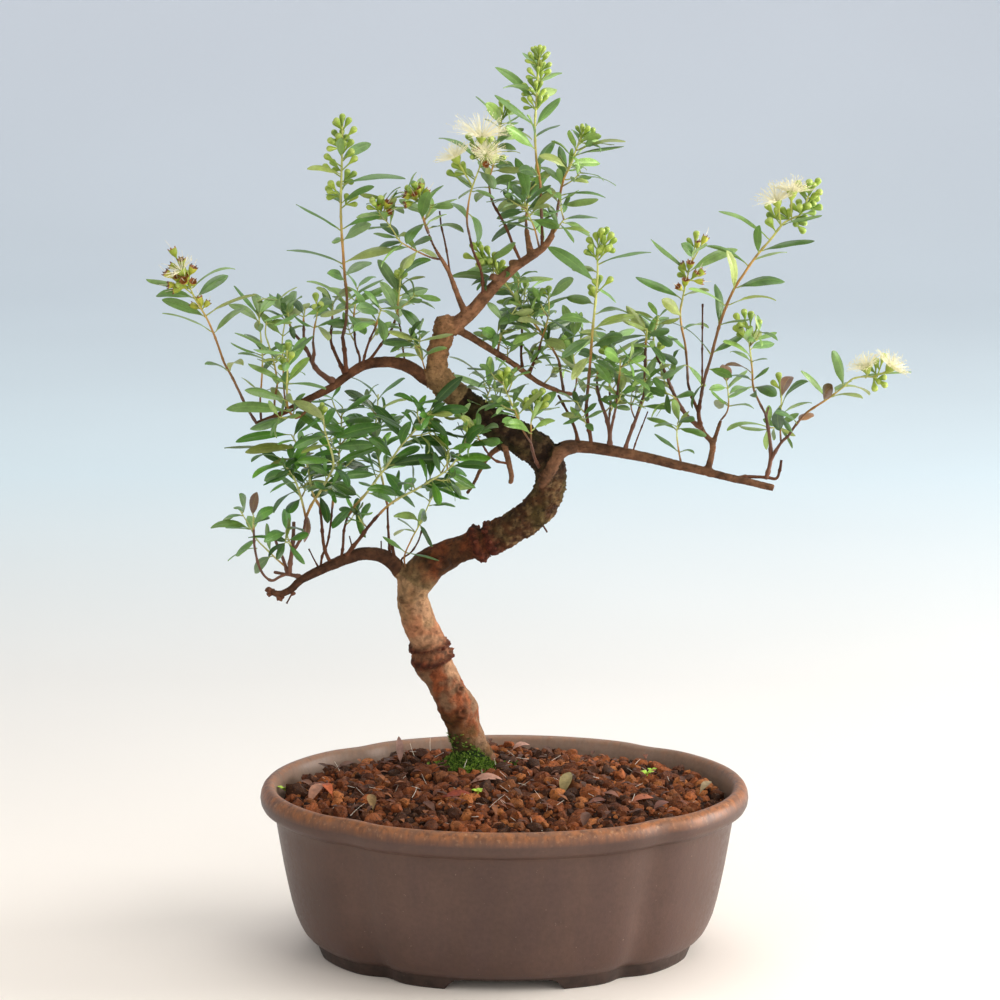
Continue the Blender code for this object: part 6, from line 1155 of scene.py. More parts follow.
def bend_of(row, thick, points):
    """How far the CAD bent a shoot aside in depth, told by the ring at its tip."""
    x, z, y = row[-1]
    misses = []
    for bend in BENDS:
        away = np.linalg.norm(points - np.array(in_space(x, z, y + bend)), axis=1)
        misses.append((np.sort(abs(away - thick * STEM_END))[:3].sum(), bend))
    return min(misses)[1]


def stem_line(row, bend, thick):
    """Fine path of a shoot with its radius in the last column."""
    count = len(row) - 1
    rows = []
    for i, (x, z, y) in enumerate(row):
        radius = thick * (1 - 0.46 * i / count) * 0.6
        rows.append((*in_space(x, z, y + bend * (i / count) ** 0.8), radius))
    return curve(rows, STEM_STEP)


def limb_line(row, thick, thin, step):
    """Fine path of a limb with its radius in the last column."""
    points = [in_space(*p) for p in row]
    total = [0.0]
    for a, b in zip(points, points[1:]):
        total.append(total[-1] + (b - a).length)
    radii = [slim(thick + (thin - thick) * (t / total[-1]) ** 0.8) for t in total]
    return curve([(*p, radius) for p, radius in zip(points, radii)], step)


def add_twig(piece, line, sides, finish, tones, seed, lumps=0.1):
    """Knobbly tube along a line whose colour runs through the tones."""
    turns = [2 * math.pi * k / sides for k in range(sides)]
    spots = [(math.cos(t) * 1.5, math.sin(t) * 1.5) for t in turns]
    radii = []
    for i, row in enumerate(line):
        node = 1 + lumps * 2.2 * max(0.0, math.sin(i * 0.62 + seed)) ** 8
        knobs = [1 + lumps * noise.noise(Vector((*spot, i * 0.35 + seed))) for spot in spots]
        radii.append(row[3] * node * np.array(knobs))
    verts, faces = sweep(line[:, :3], radii, sides)
    share = np.append(np.repeat(np.linspace(0, 1, len(line)), sides), (0, 1)) * (len(tones) - 1)
    low = np.minimum(share.astype(int), len(tones) - 2)
    part = (share - low)[:, None]
    tones = np.array(tones)
    piece.add(verts, faces, finish, tones[low] * (1 - part) + tones[low + 1] * part)


def dress_shoots(node, roots, shoots, rows, slot, finishes):
    """Fine limbs, stems, blades and buds in the place of one CAD node."""
    points, near = node_points(node)
    blades, buds = found_tips(points, near)
    piece = Piece()
    lines = []
    for name, _, _, thick, thin, _ in LIMBS:
        if name in roots:
            line = limb_line(rows[name], thick, thin, STEM_STEP)
            add_twig(piece, line, 9, 1, (TWIG_BROWN, TWIG_DARK * 1.2), len(lines) * 2.3, 0.16)
            lines.append((line, name))
    for name, parent, change, thick, readings in shoots:
        row = branch_off(rows[parent], change, readings)
        line = stem_line(row, bend_of(row, thick, points), thick)
        add_twig(piece, line, 7, 1, stem_tones(slot, name), len(lines) * 1.7, 0.12)
        lines.append((line, name))
    level = 0.25 if slot == "leaf_dark" else 0.7
    for foot, low_ring, high_ring, tip in blades:
        name, root = nearest_line(lines, foot)
        dice = random.Random(f"{tip[0]:.2f} {tip[2]:.2f}")
        add_blade(piece, foot, root, low_ring, high_ring, tip, blade_tint(slot, name, tip, dice), level, dice)
    for foot, tip in buds:
        name, root = nearest_line(lines, foot)
        dice = random.Random(f"{tip[0]:.2f} {tip[2]:.2f}")
        add_bud(piece, foot, root, tip, name in SPENT and dice.random() < 0.75, name, dice)
    feet = [(foot, tip) for foot, _, _, tip in blades]
    leafy = [shoot[0] for shoot in shoots]
    for line, name in lines:
        if name in leafy and name not in READ_WHOLE:
            add_spare_blades(piece, line, (slot, name), feet, random.Random(name))
    for name, post, shares in SPRIGS:
        if name in leafy:
            add_sprigs(piece, post, shares, (slot, name), rows, feet)
    piece.build("leafy_" + node.name.split("_", 1)[1], finishes, [node.name])


# Trunk, limbs and blooms

# Distances along the trunk at which its bark changes: pale and red below the first fork, olive and brown,
# rugged and dark, then young; and the distance below which the wire's scars are weaker on their left
FORK_ALONG = 97
OLD_FROM = 125
RUGGED_TO = 205
YOUNG_FROM = 212
LOW_SCARS = 80

# Limbs thinner than this stand on the bark's skin as twigs; size of the cells that the skin is made with
THIN_LIMB = 1.35
BARK_VOXEL = 0.52

# Scars: x, z, width, lean. Knots: pixel of the photograph, size.
SCARS = ((-26.9, 110.2, 1.5, 0.12), (-27.8, 114.3, 1.3, 0.12), (-9.6, 153.0, 1.7, 0.0),
         (-5.0, 154.6, 1.9, 0.0))
KNOTS = ((460, 689, 2.1), (463, 712, 2.7), (479, 711, 3.0), (443, 563, 3.2), (436, 609, 1.3), (462, 424, 2.0),
         (541, 478, 2.4), (556, 440, 2.0), (402, 600, 1.4), (520, 520, 1.8))

# Swellings on the front of the trunk and at its root: x, z, depth, radius
FRONT_RUN = ((13.2, 171.5, 9.4, 1.2), (14.4, 175.4, 7.6, 2.0), (16.2, 179.8, 6.4, 2.5),
             (18.4, 184.2, 6.4, 2.6), (21.4, 187.4, 7.8, 2.6), (25.6, 188.8, 9.6, 2.6))
ROOT_FLARE = ((-12.4, 83, 30.0, 3.4), (-9.8, 78, 29.4, 3.4), (-7.2, 73.6, 28.6, 3.1), (-4.6, 70, 27.8, 2.7),
              (-2.2, 66.4, 27.0, 2.2), (-0.6, 62, 26.6, 1.6))

# Stubs at the end of the lowest limb: x, z, reach aside, rise, radius
PEGS = ((-80.6, 134.2, -1.4, -2.8, 0.9), (-83.0, 134.2, 0.7, -2.6, 0.9), (-84.6, 134.6, -1.9, 1.3, 1.3),
        (-84.0, 134.8, -2.4, -1.4, 1.0), (-78.2, 135.6, 1.2, -2.0, 0.8))

# Splinters of bark: how many, and the scars that they stand round in turn
SHARDS = 64
SHARD_SCARS = (0, 1, 2, 2, 3, 3)

# Blooms: radius of the CAD's cup, profile of the fine one as (height, radius), spent cups round some of them
CUP_RADIUS = 2.1
BLOOM_CUP = ((-2.4, 0.4), (-1.5, 1.0), (-0.5, 1.6), (0.5, 1.95), (1.1, 2.0), (1.15, 1.7), (0.5, 1.2),
             (0.3, 0.3))
BLOOM_SIDE = (0.3, 0.9, 0.1)
SPENT_ROUND = {"bloom_left": 11, "bloom_top_low": 3}
STAMENS = 190
FADED_STAMENS = 70


def bark_tint(point, along):
    """Colour of the bark by where it is on the tree, before the fine mottling; along is below 0 on a limb."""
    _, z = flat(point)
    patch = rough(point, 7.0, 3)
    other = rough(point + np.array((40, 0, 0)), 6.0, 2)
    if along < 0:
        if point[0] < -25:
            return shade(113, 75, 52) * (0.82 if z > 175 else 0.55) * (1 + 0.5 * patch)
        level = 1.5 if z > 205 else 1.3 if abs(point[0]) < 9 else 1.0
        return shade(110, 77, 55) * level * (1 + 0.5 * patch)
    share = clamp((patch + 0.1) * 2.2)
    if along < FORK_ALONG:
        low = clamp((105 - z) / 9 + 0.5 + patch)
        tint = BARK_PALE * (0.8 - 0.32 * low) * (1 - share * (0.4 + 0.45 * low))
        tint = tint + BARK_RED * share * (0.34 + 0.26 * low)
        late = clamp((along - 80) / 12 + other)
        tint = tint * (1 - late * 0.6) + BARK_OLIVE * late * 0.48
        wet = clamp((83 - z) / 10 + patch * 0.9 - 0.05 * (point[0] + 10))
        tint = tint * (1 - wet * 0.85) + shade(74, 66, 34) * wet * 0.8
    elif along < OLD_FROM:
        tint = BARK_BROWN * (1 - share * 0.5) + BARK_RED * share * 0.42
        early = clamp((106 - along) / 9)
        tint = (tint * (1 - early * 0.8) + BARK_OLIVE * early * 0.8) * 0.72
    elif along < YOUNG_FROM:
        light = clamp(2.4 * rough(point + np.array((40, 0, 0)), 2.8, 3) + 0.6 * other)
        late = clamp((along - 162) / 8)
        tint = BARK_BROWN * (1 - late) + BARK_DARK * late
        light *= 0.65 * (1 - 0.6 * late)
        tint = tint * (1 - light) + shade(156, 126, 86) * light
        mossy = clamp(rough(point + np.array((0, 50, 0)), 8.0, 2) * 1.8)
        tint = (tint * (1 - mossy * 0.5) + shade(84, 84, 40) * mossy * 0.4) * 0.74
    else:
        late = min(1.0, (along - YOUNG_FROM) / 25)
        tint = (BARK_OLIVE * 0.82 * (1 - late) + shade(152, 110, 76) * late) * (1 + 0.3 * patch)
    return tint


def sight(u, v):
    """Direction of the camera's line of sight through a pixel of the photograph."""
    side = (u - PHOTO / 2) / FOCAL
    rise = (PHOTO / 2 - v) / FOCAL
    turn = Vector((side, math.cos(PITCH) + rise * math.sin(PITCH), -math.sin(PITCH) + rise * math.cos(PITCH)))
    return turn.normalized()


def seen_on(surface, u, v):
    """Point of a surface that the photograph shows at a pixel, or None."""
    return surface.ray_cast(EYE, sight(u, v))[0]


def deep_curve(rows, step):
    """Smooth path with its radius through readings that hold their own depth and radius."""
    return curve([(*in_space(*row[:3]), row[3]) for row in rows], step)


def split_limbs(rows):
    """Fine paths of the wood node's limbs: the thick ones, which share its skin, and the thin ones."""
    held = {name for group in SPRAYS.values() for name in group} | set(SPRAYS)
    heavy = []
    slight = []
    for name, _, _, thick, thin, _ in LIMBS:
        if name not in held:
            line = limb_line(rows[name], thick, thin, BARK_STEP)
            (slight if thick < THIN_LIMB else heavy).append(line)
    return heavy, slight


def wood_skin(tubes):
    """Mesh of tubes, given as (path, sides), run together under one skin of even faces."""
    body = Piece()
    for line, sides in tubes:
        body.tube(line[:, :3], line[:, 3], sides, 0, (1, 1, 1))
    work = loose(np.vstack(body.verts), body.faces)
    skin = work.modifiers.new("skin", "REMESH")
    skin.mode = "VOXEL"
    skin.voxel_size = BARK_VOXEL
    even = work.modifiers.new("even", "SMOOTH")
    even.factor = 0.5
    even.iterations = 4
    return applied(work)


def vectors(mesh, name):
    """Coordinates or normals of a mesh's points."""
    rows = np.zeros(len(mesh.vertices) * 3)
    mesh.vertices.foreach_get(name, rows)
    return rows.reshape(-1, 3)


def scarred(point, row, along, fine, scars, lift, tint):
    """Relief and colour near the rough rings that old wire has left round the trunk."""
    aside = point[0] - row[0]
    side = aside / row[3]
    jag = max(0.0, rough(point * np.array((1, 1, 1.6)), 1.7, 3))
    waver = 0.35 * rough(point, 3.0, 2)
    for at, wide, lean in scars:
        off = (along - at + lean * aside) / wide + waver
        ring = math.exp(-off * off)
        lift += ring * (0.55 + 1.3 * jag) * (clamp(0.65 + 0.5 * side, 0.2, 1.1) if at < LOW_SCARS else 1.0)
        lift -= 0.45 * math.exp(-(abs(off) - 1.5) ** 2 * 4)
        near = 0.75 * math.exp(-((along - at) / 3.2) ** 2)
        tint = tint * (1 - near) + shade(98, 50, 27) * (1 + 1.2 * fine) * near
        tint = tint * (1 - 0.9 * ring) + shade(70, 28, 17) * (1 + 1.5 * jag) * 0.9 * ring
    return lift, tint


def knotted(point, knots, lift, tint):
    """Relief and colour near the round knots: a swollen rim about a dark hollow."""
    for spot, size in knots:
        gap = (spot - Vector(point)).length / size
        if gap < 1.8:
            lift += 0.95 * math.exp(-(gap * 1.6 - 1) ** 2 * 3.5) - 0.7 * math.exp(-(gap * 2.6) ** 2)
            dark = max(math.exp(-(gap * 2.4) ** 2), 0.65 * math.exp(-(gap * 1.6 - 1.25) ** 2 * 6))
            tint = tint * (1 - 0.8 * dark) + shade(70, 44, 28) * 0.7 * dark
    return lift, tint


def dress_bark(mesh, trunk, total, scars, finish):
    """Give the wood's skin its relief and colours, and stand it in the scene."""
    points = vectors(mesh, "co")
    normals = vectors(mesh, "normal")
    tree = KDTree(len(trunk))
    for i, row in enumerate(trunk):
        tree.insert(row[:3], i)
    tree.balance()
    surface = BVHTree.FromPolygons([tuple(p) for p in points], [tuple(p.vertices) for p in mesh.polygons])
    knots = [(seen_on(surface, u, v), size) for u, v, size in KNOTS]
    knots = [knot for knot in knots if knot[0]]
    tints = np.zeros(points.shape)
    places = np.zeros(points.shape)
    moved = points.copy()
    for i, point in enumerate(points):
        _, k, away = tree.find(point)
        on_trunk = away < trunk[k, 3] * 1.3
        along = total[k] if on_trunk else -1.0
        coarse = rough(point, 5.5, 2)
        fine = rough(point, 1.9, 3)
        tint = bark_tint(point, along)
        lift = 0.1 * coarse + 0.12 * fine
        if on_trunk:
            lift = 0.42 * coarse + 0.24 * fine
            if along > OLD_FROM:
                lift += 0.8 * abs(rough(point, 1.5, 3)) + 0.35 * coarse
            lift, tint = scarred(point, trunk[k], along, fine, scars, lift, tint)
        lift, tint = knotted(point, knots, lift, tint)
        moved[i] = point + normals[i] * lift
        tints[i] = tint
        age = 0.3
        if on_trunk:
            age = clamp((along - FORK_ALONG - 1) / 20) if along < RUGGED_TO else 0.5
        # The first number is the relief, by which the bark's material darkens its low parts as painted shade.
        places[i, :2] = (fine * 0.6 + coarse * 0.4, age)
    mesh.vertices.foreach_set("co", ((moved - (CENTRE_X, 0, 0)) * MM).ravel())
    mesh.materials.clear()
    mesh.materials.append(finish)
    paint(mesh, np.clip(tints, 0, 1), places)
    mesh.shade_smooth()
    mesh.update()
    stand("bark", mesh, ["wood"])


def add_pegs(piece, row):
    """Short stubs at the end of the lowest limb."""
    for i, (x, z, aside, rise, thick) in enumerate(PEGS):
        y = row[nearest_on(row, x, z)[0]][2]
        path = [(x, z, y, thick), (x + aside * 0.6, z + rise * 0.5, y - 0.4, thick * 0.9),
                (x + aside, z + rise, y - 0.8, thick * 0.95)]
        add_twig(piece, deep_curve(path, 0.6), 8, 0, (TWIG_BROWN * 0.8, TWIG_BROWN), i * 1.3, 0.3)


def add_shards(piece, trunk, total, scars):
    """Torn splinters of bark that stand off the rings, more of them on the upper two."""
    for i in range(SHARDS):
        dice = random.Random(i)
        group = SHARD_SCARS[i % len(SHARD_SCARS)]
        at, wide, lean = scars[group]
        k = int(np.argmin(abs(total - at - dice.uniform(-0.6, 0.6) * wide)))
        way = unit(trunk[min(k + 1, len(trunk) - 1), :3] - trunk[k - 1, :3])
        out = spoke(way, (0.3, 0.2, 0.9), dice.uniform(0, 2 * math.pi))
        if group < 2 and out[0] < 0.2:
            continue
        start = trunk[k, :3] + out * trunk[k, 3] * 0.9 - way * lean * out[0] * trunk[k, 3]
        reach = trunk[k, 3] * 0.1 + dice.uniform(0.4, 0.9 if group < 2 else 1.5)
        end = start + out * reach + way * dice.uniform(-0.8, 0.8)
        tint = shade(92, 46, 32) * dice.uniform(0.8, 1.5)
        piece.tube([start, (start + end) / 2, end], [1.0, 0.85, 0.4], 5, 0, tint)


def make_wood(rows, finish):
    """Trunk and thick limbs in one skin with bark relief, and the thin twigs, pegs and splinters on it."""
    trunk = deep_curve(TRUNK, BARK_STEP)
    total = run_of(trunk)
    heavy, slight = split_limbs(rows)
    tubes = [(trunk, 28), *((deep_curve(run, BARK_STEP), 16) for run in (FRONT_RUN, ROOT_FLARE))]
    tubes += [(line, 14) for line in heavy]
    spots = [flat(row) for row in trunk]
    scars = []
    for x, z, wide, lean in SCARS:
        i = min(range(len(trunk)), key=lambda k: math.dist(spots[k], (x, z)))
        scars.append((total[i], wide, lean))
    dress_bark(wood_skin(tubes), trunk, total, scars, finish)
    piece = Piece()
    for i, line in enumerate(slight):
        add_twig(piece, line, 9, 0, (TWIG_BROWN, TWIG_BROWN * 0.8, TWIG_DARK), i * 2.1, 0.2)
    add_pegs(piece, rows["low_left"])
    add_shards(piece, trunk, total, scars)
    piece.build("twigs", [finish], ["wood"])


def bloom_centre(points, x, z, up):
    """Middle of a bloom's cup: where, on the line of sight, six points make a ring round it."""
    best = (1e9,)
    for step in range(1200):
        centre = np.array(in_space(x, z, -40 + step * 0.1))
        off = points - centre
        miss = np.sort(abs(np.linalg.norm(off, axis=1) - CUP_RADIUS) + abs(off @ up))[:6].sum()
        best = min(best, (miss, tuple(centre)))
    return np.array(best[1])


def add_stamens(piece, centre, up, length, faded, dice):
    """Brush of fine threads with their anthers, thinner and shorter on a faded bloom."""
    for _ in range(FADED_STAMENS if faded else STAMENS):
        out = spoke(up, BLOOM_SIDE, dice.uniform(0, 2 * math.pi))
        wide = math.sqrt(dice.random())
        start = centre + up * 0.6 + out * 1.6 * wide
        full = length * dice.uniform(0.6, 1.1) * (0.62 if faded else 1.0)
        way = unit(up * (1 - 0.35 * wide) + out * wide * 1.6)
        droop = (out * dice.uniform(-0.1, 0.3) - up * 0.12) * wide * full
        path = [start + way * full * s + droop * s * s for s in (0.0, 0.35, 0.7, 1.0)]
        tone = dice.uniform(0.92, 1.05)
        piece.tube(path, [0.075, 0.065, 0.055, 0.045], 3, 1, shade(246, 242, 214) * tone)
        anther = [path[-1], path[-1] + way * 0.16, path[-1] + way * 0.34]
        piece.tube(anther, [0.06, 0.14, 0.05], 4, 1, shade(246, 238, 186) * tone)


def make_blooms(frame, finishes):
    """Brush of fine stamens on a green cup in the place of each CAD bloom."""
    for name, x, z, length, lean_x, lean_y in BLOOMS:
        points, _ = node_points(frame["nodes"][name])
        up = unit(np.array((lean_x, lean_y, 1.0)))
        centre = bloom_centre(points, x, z, up)
        butt = points[np.argmin(points @ up)]
        dice = random.Random(name)
        piece = Piece()
        low = centre - up * 1.8
        piece.tube([butt, (butt + low) / 2, low], [0.35, 0.32, 0.5], 7, 0, shade(160, 168, 80))
        piece.add(*lathe(centre, up, BLOOM_CUP, 14), 0, shade(150, 170, 62))
        spent = SPENT_ROUND.get(name, 0)
        add_stamens(piece, centre, up, length, spent > 5, dice)
        for i in range(spent):
            out = spoke(up, BLOOM_SIDE, i * 2.4 + dice.uniform(-0.3, 0.3))
            start = butt + (centre - butt) * dice.uniform(0.0, 0.5)
            way = unit(up * dice.uniform(0.4, 1.3) + out)
            end = start + way * dice.uniform(4.4, 6.4)
            club(piece, start, end, dice.uniform(0.85, 1.1), i % 4 != 3, dice)
        piece.build("brush_" + name.split("_", 1)[1], [*finishes, finishes[0]], [name])


def make_tree(frame):
    rows = limb_rows()
    leaf = leaf_paint()
    stem = stem_paint()
    bud = bud_paint()
    make_wood(rows, bark_paint())
    for node_name, node in sorted(frame["nodes"].items()):
        if node_name.startswith(("shoot_", "spray_")):
            root = node_name[6:]
            roots = (root, *SPRAYS[root]) if node_name.startswith("spray_") else ()
            shoots = [s for s in SHOOTS if (s[1] in roots if roots else s[0] == root)]
            slot = node.data.materials[0].name.split(".")[0]
            dress_shoots(node, roots, shoots, rows, slot, [leaf, stem, bud])
    make_blooms(frame, [bud, stamen_paint()])


# The pot and what is in it

# Sections of the pot from the floor's underside over the foot, wall and lip to the floor: inset, height;
# the first of them, up to the wall's top, are the outer side
POT_RINGS = [
    (30.0, 4.5), (29.6, 0.4), (29.2, 0.0), (20.8, 0.0), (20.2, 0.25), (19.8, 1.0), (19.4, 2.8), (19.2, 4.6),
    (18.2, 5.3), (16.8, 6.2), (15.3, 8.0), (13.9, 10.7), (12.4, 14.4), (11.0, 19.6), (9.6, 26.2), (8.2, 33.5),
    (6.9, 41.5), (5.7, 49.0), (5.2, 51.8), (4.2, 52.9), (2.5, 53.5), (1.0, 54.6), (0.25, 56.1), (0.0, 57.9),
    (0.25, 59.8), (0.9, 61.4), (2.0, 62.6), (3.4, 63.0), (4.7, 62.6), (5.6, 61.5), (6.4, 58.5), (7.4, 54.0),
    (9.2, 46.0), (11.8, 34.0), (15.2, 22.0), (20.0, 14.4), (27.0, 12.0),
]
OUTER_RINGS = 19

# The outer side stands out in front and behind by a share of its inset past the wall's top
WALL_TOP = 5.2
WIDER_BELOW = 0.31

# Inset of the lip's crest, height from which the glaze is worn, top of the foot (up to which painted shade
# darkens it), top of the floor
LIP_CREST = 3.4
LIP_FROM = 58.2
FOOT_TO = 5.4
POT_FLOOR = 12


def plan_point(turn, inset, z, wider=0.0):
    """Point of the pot's four-lobed plan, inset from the lip's outline, but less so in front and behind."""
    x = (POT_LENGTH / 2 - inset) * math.cos(turn)
    y = (POT_WIDTH / 2 - inset + wider) * math.sin(turn)
    pull = 0.0
    for quarter in (CREASE_ANGLE, 180 - CREASE_ANGLE, 180 + CREASE_ANGLE, 360 - CREASE_ANGLE):
        off = abs(math.degrees(turn) % 360 - quarter)
        pull += (CREASE_DEPTH + 0.3 * wider) * math.exp(-(min(off, 360 - off) / CREASE_SPREAD) ** 2)
    keep = 1 - pull / math.hypot(x, y)
    return (x * keep, y * keep, z)


def arch_cutter(half, deep, top, along_x):
    """Solid with rounded upper corners that cuts the gap between two feet."""
    bend = [(-half - 1, -2.0), (-half, 0.2), (-half + 2.0, top - 1.4), (-half + 3.6, top - 0.4),
            (-half + 6, top)]
    profile = bend + [(-a, z) for a, z in reversed(bend)]
    verts = []
    for side in (-deep, deep):
        verts += [(side, a, z) if along_x else (a, side, z) for a, z in profile]
    n = len(profile)
    faces = [tuple(range(n)), tuple(reversed(range(n, 2 * n)))]
    faces += [(k, k + n, (k + 1) % n + n, (k + 1) % n) for k in range(n)]
    if not along_x:
        faces = [tuple(reversed(face)) for face in faces]
    return verts, faces


def cut_pot():
    """Mesh of the pot with its arches and drain holes cut, in millimetres."""
    verts = []
    for i, (inset, z) in enumerate(POT_RINGS):
        wider = WIDER_BELOW * max(0.0, inset - WALL_TOP) if i < OUTER_RINGS else 0.0
        verts += [plan_point(2 * math.pi * k / POT_SEGMENTS, inset, z, wider) for k in range(POT_SEGMENTS)]
    work = loose(verts, capped(len(POT_RINGS), POT_SEGMENTS))
    cutters = [arch_cutter(21.4, 100, ARCH_TOP, False), arch_cutter(17.0, 120, ARCH_TOP, True)]
    cutters += [sweep([(x, 0, -2), (x, 0, 16)], [DRAIN_RADIUS] * 2, 40) for x in (-DRAIN_X, DRAIN_X)]
    tools = [loose(*solid) for solid in cutters]
    for tool in tools:
        cut = work.modifiers.new("cut", "BOOLEAN")
        cut.operation = "DIFFERENCE"
        cut.solver = "EXACT"
        cut.object = tool
    mesh = applied(work)
    for tool in tools:
        bpy.data.objects.remove(tool)
    return mesh


def make_pot(finish):
    """The pot, whose points say for the glaze how far they are on the lip, on the foot, which gets painted
    shade, and inside, which gets painted light.
    """
    mesh = cut_pot()
    places = []
    for v in mesh.vertices:
        x, y, z = v.co
        out = math.hypot(x / (POT_LENGTH / 2 - LIP_CREST), y / (POT_WIDTH / 2 - LIP_CREST))
        worn = 0.4 + 0.6 * clamp(0.6 - y / 60)
        rim = clamp((z - LIP_FROM) / 3.6) * (1.0 if out > 0.975 else 0.45) * worn
        # Painted shade: how far a point is down on the foot, where the glaze is darkened.
        foot = clamp((FOOT_TO - z) / 0.9)
        # Painted light: points inside the pot's wall, which the glaze makes much paler.
        inside = 1.0 if z > POT_FLOOR and v.normal.x * x + v.normal.y * y < 0 else 0.0
        places.append((rim, foot, inside))
    mesh.materials.clear()
    mesh.materials.append(finish)
    mesh.transform(Matrix.Scale(MM, 4) @ Matrix.Translation((-CENTRE_X, 0, 0)))
    paint(mesh, np.ones((len(places), 3)), np.array(places))
    mesh.shade_smooth()
    mesh.set_sharp_from_angle(angle=math.radians(42))
    stand("glazed_pot", mesh, ["pot"])


# Clay grains: smallest and largest size, how many are tried, fineness; side of a square of the search
GRAIN_SIZES = ((2.6, 3.3, 260, 2), (2.0, 2.6, 1500, 2), (1.4, 2.0, 4200, 2), (0.9, 1.4, 9000, 1),
               (0.5, 0.8, 6000, 1))
GRAIN_CELL = 6

# How far grains and litter keep from the pot's plan and from the trunk's foot; a height above the bed
GRAIN_INSET = 8.6
GRAIN_CLEAR = 8.6
LITTER_INSET = 12
LITTER_CLEAR = 12
ABOVE_BED = 120

# Fallen leaves: stations as shares of length and half width, and columns round them as (share, thickness)
FALLEN_FORM = ((0.0, 0.06), (0.12, 0.12), (0.28, 0.6), (0.46, 0.95), (0.64, 1.0), (0.8, 0.78), (0.93, 0.4),
               (1.0, 0.05))
FALLEN_ROUND = ((-1, 0), (-0.5, 0.12), (0, 0.12), (0.5, 0.12), (1, 0), (0.5, -0.12), (0, -0.12),
                (-0.5, -0.12))

# Fallen leaves: pixel of the photograph, length, direction on the bed and pitch in degrees, colour
FALLEN = (
    (315, 800, 12, 60, 30, (172, 122, 98)), (328, 795, 9, 120, 20, (186, 92, 48)),
    (400, 763, 11, 100, 70, (158, 122, 110)), (485, 786, 13, 5, 8, (176, 128, 108)),
    (455, 800, 12, -10, 10, (150, 64, 40)), (565, 792, 12, 70, 40, (148, 132, 84)),
    (640, 805, 10, 10, 12, (170, 96, 62)), (308, 790, 7, 150, 25, (120, 80, 60)),
    (372, 808, 9, 100, 30, (140, 110, 66)), (596, 806, 8, 20, 6, (118, 72, 56)),
    (612, 800, 7, 160, 14, (126, 80, 60)), (660, 812, 9, 40, 18, (110, 66, 52)),
    (520, 752, 8, 20, 14, (180, 134, 116)), (505, 748, 7, 160, 18, (168, 120, 100)),
    (690, 770, 9, 100, 34, (142, 122, 84)), (560, 748, 7, 60, 24, (128, 92, 62)),
    (585, 826, 9, 80, 30, (98, 62, 44)), (430, 812, 8, 130, 20, (96, 60, 44)),
    (345, 770, 8, 30, 12, (100, 66, 50)), (650, 760, 8, 10, 16, (104, 70, 52)),
    (705, 792, 8, 50, 22, (150, 130, 96)),
)
GREEN_BITS = ((285, 797, 3.4), (283, 792, 2.4), (478, 800, 3.0), (647, 782, 3.2), (652, 778, 2.4))

# Moss mound: radius and rise of its rings
MOSS_RINGS = ((7.0, 6.2), (8.4, 4.8), (9.8, 3.4), (11.4, 2.0), (12.8, 0.8), (13.6, -0.8))
MOSS_SIDES = 48
MOSS_TUFTS = 3600
TUFT_FACES = ((0, 2, 1), (0, 1, 3), (1, 2, 3), (2, 0, 3))

# Nets: bars each way, radius of a bar
NET_BARS = 12
NET_BAR = 0.45


def surface_of(node):
    """Surface of a CAD node, in millimetres, to set pieces on."""
    verts = [v.co / MM + Vector((CENTRE_X, 0, 0)) for v in node.data.vertices]
    return BVHTree.FromPolygons(verts, [tuple(p.vertices) for p in node.data.polygons])


def dropped(surface, x, y):
    """Point of a surface straight below x, y, or None."""
    return surface.ray_cast(Vector((x, y, ABOVE_BED)), Vector((0, 0, -1)))[0]


def ball(level):
    """Points and faces of a ball of triangles."""
    mesh = bpy.data.meshes.new("ball")
    form = bmesh.new()
    bmesh.ops.create_icosphere(form, subdivisions=level, radius=1.0)
    form.to_mesh(mesh)
    form.free()
    verts = np.array([tuple(v.co) for v in mesh.vertices])
    faces = [tuple(p.vertices) for p in mesh.polygons]
    bpy.data.meshes.remove(mesh)
    return verts, faces


def pebble(dice, size, form):
    """Angular grain: a ball whose points are pushed in and out in facets and pits."""
    verts, faces = form
    seed = dice.uniform(0, 999)
    stretch = np.array((dice.uniform(0.85, 1.3), dice.uniform(0.8, 1.15), dice.uniform(0.68, 1.0)))
    upright_turn = Matrix.Rotation(dice.uniform(0, 6.28), 3, "Z")
    spin = np.array(upright_turn @ Matrix.Rotation(dice.uniform(0, 6.28), 3, "X"))
    push = []
    for v in verts:
        spot = Vector(v)
        big = noise.noise(spot * 1.1 + Vector((seed, 0, 0)))
        small = noise.noise(spot * 2.8 + Vector((0, seed, 0)))
        push.append(1 + 0.5 * big + 0.3 * small)
    return (verts * np.array(push)[:, None] * stretch * size) @ spin.T, faces


